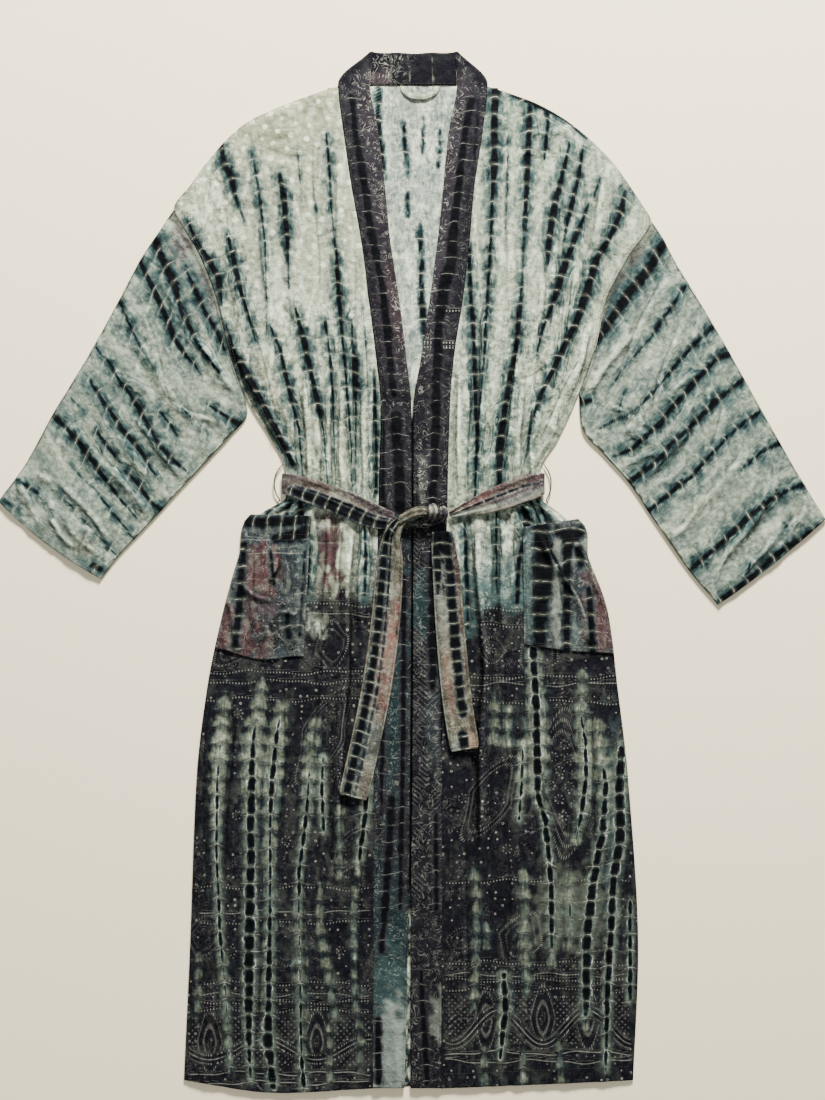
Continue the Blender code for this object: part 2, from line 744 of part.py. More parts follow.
def build_robe():
    clear_scene()
    robe = bpy.data.collections.new("kimono_robe")
    bpy.context.scene.collection.children.link(robe)
    belt_back(robe)
    back_panel(robe)
    for side in SIDES:
        front_panel(side, robe)
        neckband_side(side, robe)
        sleeve(side, robe)
        pocket(side, robe)
        belt_stretch(side, robe)
        thread_loop(side, robe)
    neckband_back(robe)
    belt_knot(robe)
    for side in SIDES:
        belt_tail(side, robe)
    hanger_loop(robe)


build_robe()
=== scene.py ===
"""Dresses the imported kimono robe: dyed cloth with its creases, seams, stitches and tied belt, laid out flat.

Metres, +Z up, in the frame of the CAD. The wearer's right side is at -X. "Down" is the distance from
the top edge of the neckband towards the hem. Tables of dye and creases are in millimetres, across
from the centre line and down from the top edge.
"""

import math

import bmesh
import bpy
import numpy as np
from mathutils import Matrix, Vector
from mathutils.bvhtree import BVHTree


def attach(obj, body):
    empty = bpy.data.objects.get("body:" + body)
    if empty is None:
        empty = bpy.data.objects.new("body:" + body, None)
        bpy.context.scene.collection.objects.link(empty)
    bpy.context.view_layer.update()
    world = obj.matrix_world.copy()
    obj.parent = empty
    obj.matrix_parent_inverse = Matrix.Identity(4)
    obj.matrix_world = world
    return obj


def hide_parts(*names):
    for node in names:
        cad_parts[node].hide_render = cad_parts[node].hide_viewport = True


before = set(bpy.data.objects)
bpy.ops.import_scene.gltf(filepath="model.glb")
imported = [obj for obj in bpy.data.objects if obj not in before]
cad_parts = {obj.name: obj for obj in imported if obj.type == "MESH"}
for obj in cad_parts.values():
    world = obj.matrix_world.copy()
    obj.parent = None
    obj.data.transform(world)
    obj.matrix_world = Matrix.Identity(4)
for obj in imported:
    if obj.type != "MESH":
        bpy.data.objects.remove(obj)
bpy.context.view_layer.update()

bl_info = {
    "name": "Kimono robe",
    "version": (1, 0, 0),
    "blender": (4, 5, 0),
    "location": "View3D > Sidebar > Robe",
    "description": "Dresses the kimono robe with its dyed cloth and lays it out on a pale floor",
    "category": "Object",
}

# Sizes shared with the solids
LENGTH = 1.2267
TOP_Y = LENGTH / 2
CLOTH = 0.0012
DOUBLED_CLOTH = 0.0022
SEAM_GAP = 0.0003
LAY_GAP = 0.0005
CREASE_GAP = 0.0002
CREASE_DEPTH = 0.0008
PUFF = 0.0018
PUFF_REACH = 0.012
BELT_WIDTH = 0.035
BELT_DOWN = 0.510
BELT_SLOPE_DOWN = 0.550
BELT_HALF_SPAN = 0.150
BELT_RAMP = 0.022
BELT_PRESS_REACH = 0.020
BELT_BACK_HALF = BELT_HALF_SPAN - 0.012
BELT_ROUNDING = 0.0018
TAIL_START_LIFT = 0.003
SLEEVE_HEIGHT = 0.0042
ARMHOLE_GAP = 0.0014
NECK_BACK_WIDTH = 0.0413
HEM_START = 0.950
HEM_SIDE = 1.212
FRONT_TOP = 0.044

SIDES = {"right": -1, "left": 1}

# The outline of the body: how far the right and left edges stand from the centre line
BODY_EDGES = (
    # down, right, left
    (0.0413, -0.0870, 0.0885),
    (0.0625, -0.1475, 0.1475),
    (0.0873, -0.1990, 0.1890),
    (0.1286, -0.2390, 0.2340),
    (0.1560, -0.2590, 0.2540),
    (0.1864, -0.2800, 0.2740),
    (0.1994, -0.2740, 0.2810),
    (0.2419, -0.2490, 0.2550),
    (0.2974, -0.2280, 0.2270),
    (0.3505, -0.2160, 0.2150),
    (0.4059, -0.1960, 0.1950),
    (0.4602, -0.1640, 0.1700),
    (0.4920, -0.1480, 0.1510),
    (0.5280, -0.1480, 0.1510),
    (0.5350, -0.1600, 0.1600),
    (0.5463, -0.1790, 0.1760),
    (0.5688, -0.1950, 0.1960),
    (0.5983, -0.2050, 0.2080),
    (0.6643, -0.2230, 0.2310),
    (0.7517, -0.2410, 0.2420),
    (0.8555, -0.2530, 0.2540),
    (1.0608, -0.2610, 0.2660),
    (HEM_SIDE, -0.2680, 0.2600),
)

# The two sides of the neckband: the seam to the front, and the free edge
BAND_EDGES = (
    # down, right seam, right edge, left edge, left seam
    (0.0000, -0.0485, -0.0460, 0.0505, 0.0530),
    (0.0390, -0.0873, -0.0496, 0.0531, 0.0892),
    (0.0930, -0.0814, -0.0401, 0.0437, 0.0838),
    (0.1650, -0.0708, -0.0313, 0.0366, 0.0732),
    (0.2200, -0.0607, -0.0260, 0.0307, 0.0684),
    (0.2915, -0.0513, -0.0153, 0.0212, 0.0602),
    (0.3620, -0.0425, -0.0065, 0.0106, 0.0496),
    (0.4210, -0.0372, -0.0008, 0.0014, 0.0448),
    (0.5510, -0.0401, -0.0006, 0.0014, 0.0413),
    (0.8340, -0.0448, -0.0022, 0.0004, 0.0354),
    (0.9990, -0.0460, -0.0038, -0.0012, 0.0354),
    (1.2213, -0.0460, -0.0089, -0.0018, 0.0342),
)

HEM_DOWN = (
    # share from the side seam to the band, right, left
    (0.0, HEM_SIDE, HEM_SIDE),
    (0.5, 1.2267, 1.2170),
    (1.0, 1.2213, 1.2215),
)

GATHERS = (
    # share, half width, height, reach up, reach down
    (0.09, 0.080, 0.0042, 0.090, 0.050),
    (0.25, 0.085, 0.0034, 0.150, 0.130),
    (0.42, 0.080, 0.0046, 0.110, 0.200),
    (0.58, 0.080, 0.0030, 0.190, 0.120),
    (0.75, 0.085, 0.0044, 0.120, 0.230),
    (0.91, 0.075, 0.0032, 0.160, 0.150),
)

FRONT_FOLDS = {
    "right": (
        # from across, from down, to across, to down, half width, height
        (-0.212, 0.215, -0.188, 0.420, 0.014, 0.0040),
        (-0.150, 0.110, -0.125, 0.400, 0.016, 0.0028),
        (-0.088, 0.740, -0.080, 1.010, 0.013, 0.0034),
        (-0.172, 0.760, -0.186, 1.120, 0.018, 0.0026),
        (-0.230, 0.820, -0.236, 1.080, 0.014, 0.0026),
    ),
    "left": (
        (0.196, 0.190, 0.176, 0.400, 0.015, 0.0038),
        (0.150, 0.130, 0.132, 0.430, 0.015, 0.0034),
        (0.100, 0.110, 0.101, 0.380, 0.013, 0.0028),
        (0.084, 0.700, 0.084, 1.060, 0.013, 0.0036),
        (0.170, 0.780, 0.182, 1.130, 0.018, 0.0028),
        (0.226, 0.800, 0.236, 1.060, 0.014, 0.0026),
    ),
}

SLEEVE_SECTIONS = {
    "right": (
        # fold across, fold down, seam across, seam down, bow
        (-0.2800, 0.1875, -0.1965, 0.4050, 0.000),
        (-0.2974, 0.2124, -0.1930, 0.4260, 0.000),
        (-0.3186, 0.2431, -0.2112, 0.4508, 0.000),
        (-0.3469, 0.2962, -0.2325, 0.4744, 0.000),
        (-0.3823, 0.3599, -0.2679, 0.5121, 0.000),
        (-0.4224, 0.4260, -0.3092, 0.5570, 0.000),
        (-0.4578, 0.4897, -0.3469, 0.5971, 0.002),
        (-0.4873, 0.5298, -0.3658, 0.6219, 0.006),
    ),
    "left": (
        (0.2808, 0.2005, 0.1955, 0.4050, 0.000),
        (0.2950, 0.2207, 0.1969, 0.4272, 0.000),
        (0.3103, 0.2478, 0.2010, 0.4472, 0.000),
        (0.3398, 0.2962, 0.2266, 0.4767, 0.000),
        (0.3717, 0.3505, 0.2549, 0.5086, 0.000),
        (0.4047, 0.4095, 0.2867, 0.5558, 0.000),
        (0.4460, 0.4826, 0.3280, 0.6148, 0.000),
        (0.4873, 0.5511, 0.3599, 0.6525, 0.003),
    ),
}

SLEEVE_COLUMNS = 108

# The folded edge of a sleeve, and its ends turned in
SLEEVE_EDGE = (
    # share of the height, inset
    (1.0, 0.0022),
    (0.86, 0.0008),
    (0.60, 0.0002),
    (0.35, 0.0003),
    (0.12, 0.0010),
    (0.0, 0.0024),
)
TURNED_IN = (
    # outwards, share of the way to the middle height
    (0.0004, 0.12),
    (0.0003, 0.32),
    (-0.0010, 0.45),
    (-0.0060, 0.50),
    (-0.0140, 0.52),
)

SLEEVE_FOLDS = {
    "right": (
        # from across, from down, to across, to down, half width, height
        (-0.262, 0.290, -0.222, 0.400, 0.014, 0.0034),
        (-0.330, 0.330, -0.262, 0.440, 0.012, 0.0026),
        (-0.345, 0.450, -0.300, 0.520, 0.012, 0.0026),
        (-0.440, 0.515, -0.385, 0.575, 0.013, 0.0028),
    ),
    "left": (
        (0.258, 0.300, 0.226, 0.410, 0.014, 0.0034),
        (0.250, 0.440, 0.300, 0.470, 0.012, 0.0028),
        (0.345, 0.370, 0.300, 0.490, 0.013, 0.0026),
        (0.430, 0.500, 0.372, 0.600, 0.012, 0.0026),
    ),
}

POCKETS = {
    "right": {
        "top_inner": (-0.1192, 0.5485),
        "top_outer_down": 0.5463,
        "low_inner": (-0.1280, 0.7127),
        "low_outer_down": 0.7033,
        "sag": 0.008,
        "stands_out": 0.012,
    },
    "left": {
        "top_inner": (0.1310, 0.5617),
        "top_outer_down": 0.5517,
        "low_inner": (0.1322, 0.6986),
        "low_outer_down": 0.7092,
        "sag": 0.002,
        "stands_out": 0.015,
    },
}

BELT_STRETCHES = {
    "right": (
        # across, down, width
        (-0.1485, 0.5100, 0.024),
        (-0.1200, 0.5185, 0.029),
        (-0.0760, 0.5355, 0.031),
        (-0.0430, 0.5490, 0.028),
        (-0.0230, 0.5535, 0.020),
    ),
    "left": (
        (0.1515, 0.5120, 0.025),
        (0.1364, 0.5145, 0.031),
        (0.1108, 0.5240, 0.030),
        (0.0852, 0.5330, 0.025),
        (0.0640, 0.5400, 0.016),
        (0.0450, 0.5465, 0.007),
    ),
}

BELT_TAILS = {
    "right": (
        # across, down, width
        (-0.0130, 0.5545, 0.013),
        (-0.0185, 0.5610, 0.017),
        (-0.0245, 0.5762, 0.022),
        (-0.0260, 0.6022, 0.031),
        (-0.0300, 0.6600, 0.034),
        (-0.0400, 0.7400, BELT_WIDTH),
        (-0.0570, 0.8250, BELT_WIDTH),
        (-0.0690, 0.8780, BELT_WIDTH),
    ),
    "left": (
        (0.0354, 0.5670, 0.024),
        (0.0366, 0.5830, 0.028),
        (0.0400, 0.6120, 0.032),
        (0.0440, 0.6700, 0.034),
        (0.0525, 0.7600, BELT_WIDTH),
        (0.0620, 0.8220, BELT_WIDTH),
    ),
}

# Strands of the knot, each lying a little above what is under it
KNOT_STRANDS = {
    "over": (
        # across, down, lift, half width, half thickness
        (-0.0150, 0.5600, 0.0040, 0.0075, 0.0026),
        (-0.0080, 0.5530, 0.0072, 0.0085, 0.0036),
        (0.0030, 0.5470, 0.0098, 0.0085, 0.0040),
        (0.0130, 0.5440, 0.0098, 0.0075, 0.0040),
        (0.0200, 0.5450, 0.0060, 0.0060, 0.0034),
    ),
    "wrap": (
        (0.0215, 0.5350, 0.0035, 0.0050, 0.0024),
        (0.0235, 0.5385, 0.0085, 0.0068, 0.0036),
        (0.0250, 0.5430, 0.0108, 0.0074, 0.0042),
        (0.0245, 0.5490, 0.0090, 0.0066, 0.0038),
        (0.0225, 0.5545, 0.0045, 0.0050, 0.0026),
    ),
    "pinch": (
        (0.0340, 0.5375, 0.0030, 0.0040, 0.0022),
        (0.0360, 0.5410, 0.0070, 0.0056, 0.0034),
        (0.0365, 0.5455, 0.0080, 0.0060, 0.0038),
        (0.0350, 0.5510, 0.0058, 0.0052, 0.0032),
        (0.0320, 0.5555, 0.0028, 0.0040, 0.0022),
    ),
    "under": (
        (-0.0020, 0.5575, 0.0030, 0.0040, 0.0026),
        (0.0080, 0.5575, 0.0052, 0.0048, 0.0032),
        (0.0200, 0.5560, 0.0060, 0.0052, 0.0034),
        (0.0310, 0.5525, 0.0052, 0.0048, 0.0032),
        (0.0400, 0.5475, 0.0026, 0.0040, 0.0024),
    ),
}

LOOP_STANDS_OUT = {"right": 0.0115, "left": 0.0100}
LOOP_HALF_HEIGHT = 0.0240
LOOP_THREAD = 0.0016

HANGER_CENTRE = 0.0095
HANGER_HALF_SPAN = 0.0200
HANGER_DOWN = 0.0420
HANGER_DIP = 0.0125
HANGER_WIDTH = 0.0065

# Creases of each front, in millimetres: ridges above zero and troughs below it
CREASES = {
    "right": (
        # from across, from down, to across, to down, half width, height, lean
        (-140, 410, -138, 505, 5, 1.5, 0.5),
        (-126, 380, -122, 512, 5, 1.8, -0.5),
        (-112, 400, -108, 516, 5, 1.6, 0.4),
        (-97, 350, -96, 522, 5, 2, 0.6),
        (-84, 390, -83, 526, 5, 1.7, -0.4),
        (-70, 330, -71, 530, 5, 2, 0.5),
        (-57, 400, -58, 534, 5, 1.6, -0.5),
        (-46, 360, -47, 538, 4, 1.4, 0.4),
        (-146, 545, -150, 640, 6, 1.2, 0.3),
        (-112, 540, -116, 640, 6, 1.5, 0.4),
        (-98, 545, -104, 700, 6, 1.9, -0.5),
        (-84, 548, -88, 660, 5, 2, 0.6),
        (-70, 552, -79, 780, 6, 2.8, 0.8),
        (-59, 556, -62, 690, 5, 1.6, -0.4),
        (-50, 560, -52, 640, 4, 1.4, 0.4),
        (-79, 700, -86, 960, 7, 2.6, 0.8),
        (-104, 690, -112, 860, 8, 1.2, -0.3),
        (-150, 720, -158, 930, 9, 1.3, 0.3),
        (-205, 730, -214, 960, 9, 1.2, -0.4),
        (-240, 760, -250, 900, 6, 1.3, 0.4),
        (-62, 880, -66, 1120, 7, 1.4, 0.5),
        (-120, 930, -126, 1190, 9, 1.2, -0.4),
        (-180, 1000, -186, 1200, 9, 1.2, 0.4),
        (-238, 1010, -232, 1180, 9, 1.1, 0.4),
        (-213, 250, -160, 430, 7, 1.8, 0.5),
        (-222, 330, -176, 420, 6, 1.7, -0.5),
        (-205, 370, -150, 462, 6, 1.6, 0.5),
        (-176, 180, -168, 360, 8, 1.3, -0.4),
        (-236, 140, -206, 250, 7, 1.2, 0.4),
        (-120, 90, -112, 300, 9, 1.1, 0.4),
        (-90, 120, -78, 330, 8, 1.2, -0.4),
        (-196, 90, -130, 96, 7, 0.9, 0.3),
        (-178, 118, -120, 128, 7, -0.7, 0),
        (-160, 300, -120, 336, 7, -0.9, 0),
        (-190, 470, -150, 440, 6, 1.1, 0.3),
        (-72, 200, -64, 420, 6, 1, 0.4),
        (-246, 1130, -200, 1150, 6, 0.8, 0.2),
        (-160, 840, -110, 822, 8, -0.8, 0),
        (-210, 880, -160, 902, 8, 0.7, 0.2),
    ),
    "left": (
        (142, 400, 140, 506, 5, 1.5, -0.5),
        (129, 380, 126, 510, 5, 1.8, 0.5),
        (128, 290, 112, 500, 5, 2, -0.6),
        (98, 400, 99, 524, 5, 1.6, 0.4),
        (88, 280, 74, 530, 5, 2.2, -0.6),
        (66, 380, 64, 534, 5, 1.7, 0.5),
        (54, 360, 55, 538, 4, 1.5, -0.4),
        (152, 230, 155, 320, 6, 1.6, 0.5),
        (150, 545, 154, 640, 6, 1.3, -0.4),
        (118, 540, 120, 640, 6, 1.7, 0.4),
        (104, 545, 108, 700, 6, 1.9, -0.5),
        (90, 548, 94, 650, 5, 1.5, 0.5),
        (75, 556, 86, 760, 6, 2.8, -0.8),
        (62, 556, 66, 690, 5, 1.6, 0.4),
        (52, 560, 52, 650, 4, 1.4, -0.4),
        (86, 690, 79, 950, 7, 2.8, -0.8),
        (104, 700, 112, 860, 8, 1.2, 0.3),
        (150, 720, 158, 930, 9, 1.2, -0.4),
        (204, 740, 216, 960, 9, 1.4, 0.4),
        (240, 780, 250, 920, 6, 1.3, -0.4),
        (62, 880, 62, 1120, 7, 1.3, 0.5),
        (116, 930, 120, 1190, 9, 1.3, -0.4),
        (176, 980, 184, 1190, 9, 1.2, 0.4),
        (236, 990, 232, 1180, 9, 1.3, -0.4),
        (196, 250, 166, 420, 7, 1.9, -0.5),
        (214, 320, 184, 414, 6, 1.7, 0.5),
        (206, 350, 150, 460, 6, 1.8, -0.5),
        (172, 170, 160, 350, 8, 1.3, 0.4),
        (232, 130, 206, 250, 7, 1.3, -0.4),
        (118, 90, 112, 280, 9, 1.1, -0.4),
        (196, 92, 130, 98, 7, 0.9, 0.3),
        (180, 120, 120, 130, 7, -0.7, 0),
        (110, 400, 160, 372, 7, -1, 0),
        (92, 440, 130, 420, 6, 1, 0.3),
        (196, 462, 150, 436, 6, 1.1, 0.3),
        (74, 150, 70, 300, 6, 1, -0.4),
        (246, 1120, 204, 1140, 6, 0.8, 0.2),
        (160, 850, 110, 830, 8, -0.8, 0),
        (214, 900, 160, 912, 8, 0.7, 0.2),
    ),
}

SLEEVE_CREASES = {
    "right": (
        (-300, 250, -236, 386, 7, 1.6, 0.5),
        (-262, 330, -206, 404, 6, 1.8, -0.5),
        (-318, 300, -280, 430, 7, 1.3, 0.4),
        (-290, 392, -240, 456, 6, 1.6, 0.5),
        (-356, 380, -300, 400, 7, 1, 0.3),
        (-330, 430, -268, 506, 6, 1.5, -0.5),
        (-372, 400, -338, 486, 7, 1.2, 0.4),
        (-398, 440, -330, 520, 7, 1.4, 0.5),
        (-352, 490, -310, 550, 6, 1.3, -0.4),
        (-444, 492, -392, 540, 6, 1.6, 0.5),
        (-420, 500, -350, 582, 6, 1.7, -0.5),
        (-454, 524, -430, 566, 5, 1.6, 0.4),
        (-430, 548, -396, 590, 5, 1.6, -0.5),
        (-410, 556, -366, 596, 5, 1.4, 0.5),
        (-466, 500, -452, 534, 5, 1.3, -0.4),
        (-392, 592, -380, 560, 5, 1.2, 0.4),
        (-270, 420, -228, 440, 5, 1.4, 0.5),
    ),
    "left": (
        (300, 260, 240, 384, 7, 1.6, -0.5),
        (262, 330, 206, 404, 6, 1.8, 0.5),
        (318, 310, 280, 430, 7, 1.3, -0.4),
        (290, 396, 244, 456, 6, 1.6, -0.5),
        (350, 372, 300, 404, 7, 1.1, 0.3),
        (330, 440, 270, 512, 6, 1.4, 0.5),
        (372, 410, 340, 500, 7, 1.3, -0.4),
        (398, 460, 330, 552, 7, 1.5, -0.5),
        (352, 520, 306, 576, 6, 1.3, 0.4),
        (444, 510, 392, 560, 6, 1.5, -0.5),
        (412, 540, 352, 622, 6, 1.5, 0.5),
        (454, 548, 420, 600, 5, 1.4, -0.4),
        (430, 570, 384, 626, 5, 1.4, 0.5),
        (466, 520, 452, 560, 5, 1.3, -0.4),
        (228, 414, 280, 440, 5, 1.5, 0.5),
        (300, 470, 250, 486, 5, 1.2, 0.3),
    ),
}

# Creases inside the back of the neck
BACK_CREASES = (
    (-24, 200, -6, 420, 6, 1.1, 0.5),
    (2, 60, 4, 300, 7, 0.6, -0.4),
    (26, 80, 20, 260, 8, 0.7, 0.4),
    (-38, 60, -34, 180, 6, 0.6, 0.3),
)

POCKET_CREASES = {
    "right": (
        (-203, 628, -164, 650, 5, 2.6, 0.8),
        (-166, 626, -156, 596, 5, 2.4, -0.8),
        (-160, 660, -132, 662, 4, 1.6, 0.6),
        (-190, 590, -182, 690, 7, 1.2, 0.4),
        (-150, 580, -142, 640, 6, 1.4, 0.5),
        (-200, 690, -150, 684, 5, 1, 0.4),
        (-218, 640, -206, 698, 5, 1.4, -0.5),
    ),
    "left": (
        (150, 570, 200, 656, 5, 3, 0.8),
        (196, 640, 212, 704, 5, 2.4, 0.8),
        (170, 600, 176, 690, 6, 1.2, 0.4),
        (146, 580, 142, 690, 6, 1.2, -0.4),
        (206, 590, 226, 660, 5, 1.6, -0.5),
        (188, 568, 212, 610, 4, 1.6, 0.5),
    ),
}

# Streaks of dark dye. Each streak is its own list of points, from its upper end to its lower end
FRONT_STREAKS = {
    "right": (
        # across, down, half width, ink
        ((-225, 108, 4, 0.8), (-221, 133, 6, 1), (-211, 155, 6, 1), (-209, 170, 5, 0.9), (-198, 200, 3, 0.5)),
        ((-189, 117, 1.5, 0.7), (-184, 143, 2, 0.8), (-179, 176, 2.5, 0.9), (-173, 226, 2, 0.8),
         (-171, 293, 1, 0.5)),
        ((-156, 146, 4, 0.8), (-151, 172, 6, 1), (-149, 193, 6, 1), (-147, 216, 5, 1), (-145, 281, 2, 0.4)),
        ((-135, 118, 2, 0.5), (-130, 178, 2, 0.5)),
        ((-116, 160, 3, 0.4), (-112, 190, 3, 0.45)),
        ((-101, 98, 2, 0.7), (-98, 130, 2.5, 0.9), (-94, 195, 1.5, 0.6), (-89, 243, 3, 0.9),
         (-86, 293, 5, 1)),
        ((-86, 293, 5, 1), (-80, 357, 2.5, 0.9), (-75, 419, 2.5, 0.9), (-71, 471, 1.5, 0.7),
         (-70, 520, 1.5, 0.5)),
        ((-263, 203, 3, 0.9), (-254, 225, 4, 1), (-240, 246, 6, 1), (-228, 268, 7, 1), (-224, 300, 2, 0.8)),
        ((-219, 322, 2, 0.8), (-209, 359, 7, 1), (-196, 378, 8, 1), (-167, 432, 6, 1), (-138, 490, 5, 1)),
        ((-217, 216, 2, 0.7), (-212, 236, 5, 1), (-203, 277, 5, 1), (-198, 293, 3, 1), (-184, 342, 1.5, 0.8)),
        ((-168, 322, 2, 0.7), (-155, 352, 3.5, 0.9), (-144, 403, 4, 1), (-133, 445, 2.5, 0.8),
         (-128, 505, 1.5, 0.5)),
        ((-137, 305, 3, 0.8), (-128, 338, 6, 1), (-119, 378, 4.5, 1), (-110, 420, 5, 1),
         (-104, 448, 2, 0.6), (-99, 510, 1.5, 0.5)),
        ((-102, 320, 3.5, 1), (-99, 340, 1.5, 0.7), (-96, 366, 3, 0.9), (-93, 410, 2, 0.8),
         (-90, 510, 1.2, 0.4)),
        ((-71, 318, 2, 0.5), (-70, 345, 3, 0.8), (-67, 366, 6, 1), (-67, 396, 6, 1), (-66, 414, 2, 0.9)),
        ((-66, 414, 2, 0.8), (-66, 520, 1, 0.5)),
        ((-45, 378, 3, 0.4), (-44, 400, 4, 0.9), (-42, 470, 3, 0.9), (-42, 520, 4, 0.9)),
        ((-236, 92, 2, 0.6), (-206, 74, 2, 0.6), (-160, 56, 1.5, 0.5)),
        ((-58, 300, 1.5, 0.4), (-54, 350, 2, 0.5), (-52, 400, 2, 0.4)),
        ((-124, 560, 3, 1), (-122, 600, 4, 1), (-124, 640, 3, 0.9)),
        ((-56, 560, 3, 0.7), (-54, 600, 4, 0.8), (-56, 640, 4, 0.7)),
        ((-252, 380, 1, 0.3), (-244, 400, 1, 0.3)),
        ((-150, 524, 1.5, 1), (-164, 539, 2, 1), (-178, 552, 1.5, 0.9)),
        ((-142, 530, 2, 1), (-146, 540, 3, 1), (-149, 556, 2.5, 1)),
        ((-131, 532, 4, 1), (-130, 552, 4, 1)),
    ),
    "left": (
        ((67, 234, 3, 1), (69, 290, 3, 1), (72, 318, 3.5, 1), (74, 385, 3, 1), (75, 428, 3.5, 1)),
        ((75, 428, 3.5, 1), (77, 455, 3.5, 1), (75, 490, 2.5, 0.9), (74, 530, 2, 0.8)),
        ((99, 46, 8, 1), (97, 75, 6, 1), (97, 96, 7, 1), (97, 116, 5, 1), (97, 134, 7, 1), (95, 160, 3, 1)),
        ((95, 160, 3, 1), (93, 217, 2, 0.9), (89, 285, 2.5, 1), (84, 367, 2, 0.9), (78, 440, 1.5, 0.6)),
        ((139, 60, 4, 0.9), (138, 90, 5, 1), (136, 136, 5, 1), (134, 180, 4, 0.9), (132, 218, 5, 0.6)),
        ((132, 218, 5, 0.6), (129, 278, 3, 0.6), (127, 306, 4, 1), (123, 347, 4, 1), (115, 386, 4, 1)),
        ((115, 386, 4, 1), (108, 430, 5, 1), (104, 463, 7, 1), (103, 490, 5, 1), (103, 515, 5, 0.9)),
        ((159, 72, 3, 0.8), (160, 87, 4, 1), (158, 104, 3, 0.9), (156, 127, 2.5, 0.7)),
        ((185, 110, 2, 0.8), (180, 135, 3.5, 1), (170, 174, 5, 1), (165, 198, 7, 1), (160, 236, 4, 0.9)),
        ((160, 236, 4, 0.9), (158, 260, 4, 0.4)),
        ((201, 116, 2, 0.8), (197, 145, 3, 1), (187, 186, 4, 1), (182, 208, 3, 0.9), (178, 227, 2, 0.6)),
        ((208, 180, 2, 0.7), (198, 207, 4, 1), (183, 243, 5, 1), (175, 266, 7, 1), (168, 292, 4, 1)),
        ((168, 292, 4, 1), (153, 330, 2.5, 0.9), (146, 360, 2, 0.6)),
        ((251, 166, 4, 0.9), (246, 190, 5, 1), (232, 222, 5, 1), (218, 244, 6, 1), (210, 270, 6, 1)),
        ((210, 270, 6, 1), (204, 290, 8, 1), (196, 314, 7, 1), (180, 346, 5, 1), (162, 384, 4.5, 1)),
        ((162, 384, 4.5, 1), (150, 408, 4, 0.9), (140, 440, 3, 0.7), (134, 480, 2, 0.6)),
        ((150, 104, 1, 0.5), (144, 60, 2, 0.6)),
        ((120, 52, 5, 0.9), (180, 80, 3, 0.9), (206, 104, 2, 0.7)),
        ((222, 150, 1.5, 0.7), (214, 172, 2, 0.7)),
        ((113, 100, 1, 0.5), (112, 170, 1.5, 0.6), (110, 210, 1, 0.4)),
        ((130, 536, 4, 0.9), (135, 552, 7, 1), (134, 570, 6, 1), (126, 600, 4, 0.8), (124, 650, 4, 0.8)),
        ((139, 530, 1.5, 1), (147, 545, 2, 1), (154, 564, 2, 1)),
        ((148, 531, 1.5, 1), (155, 546, 2, 1), (162, 562, 2, 1)),
        ((99, 544, 1.5, 0.9), (99, 576, 1.5, 0.9), (100, 640, 1.5, 0.8)),
        ((62, 556, 3, 0.8), (64, 620, 4, 0.8), (66, 680, 3, 0.8)),
    ),
}

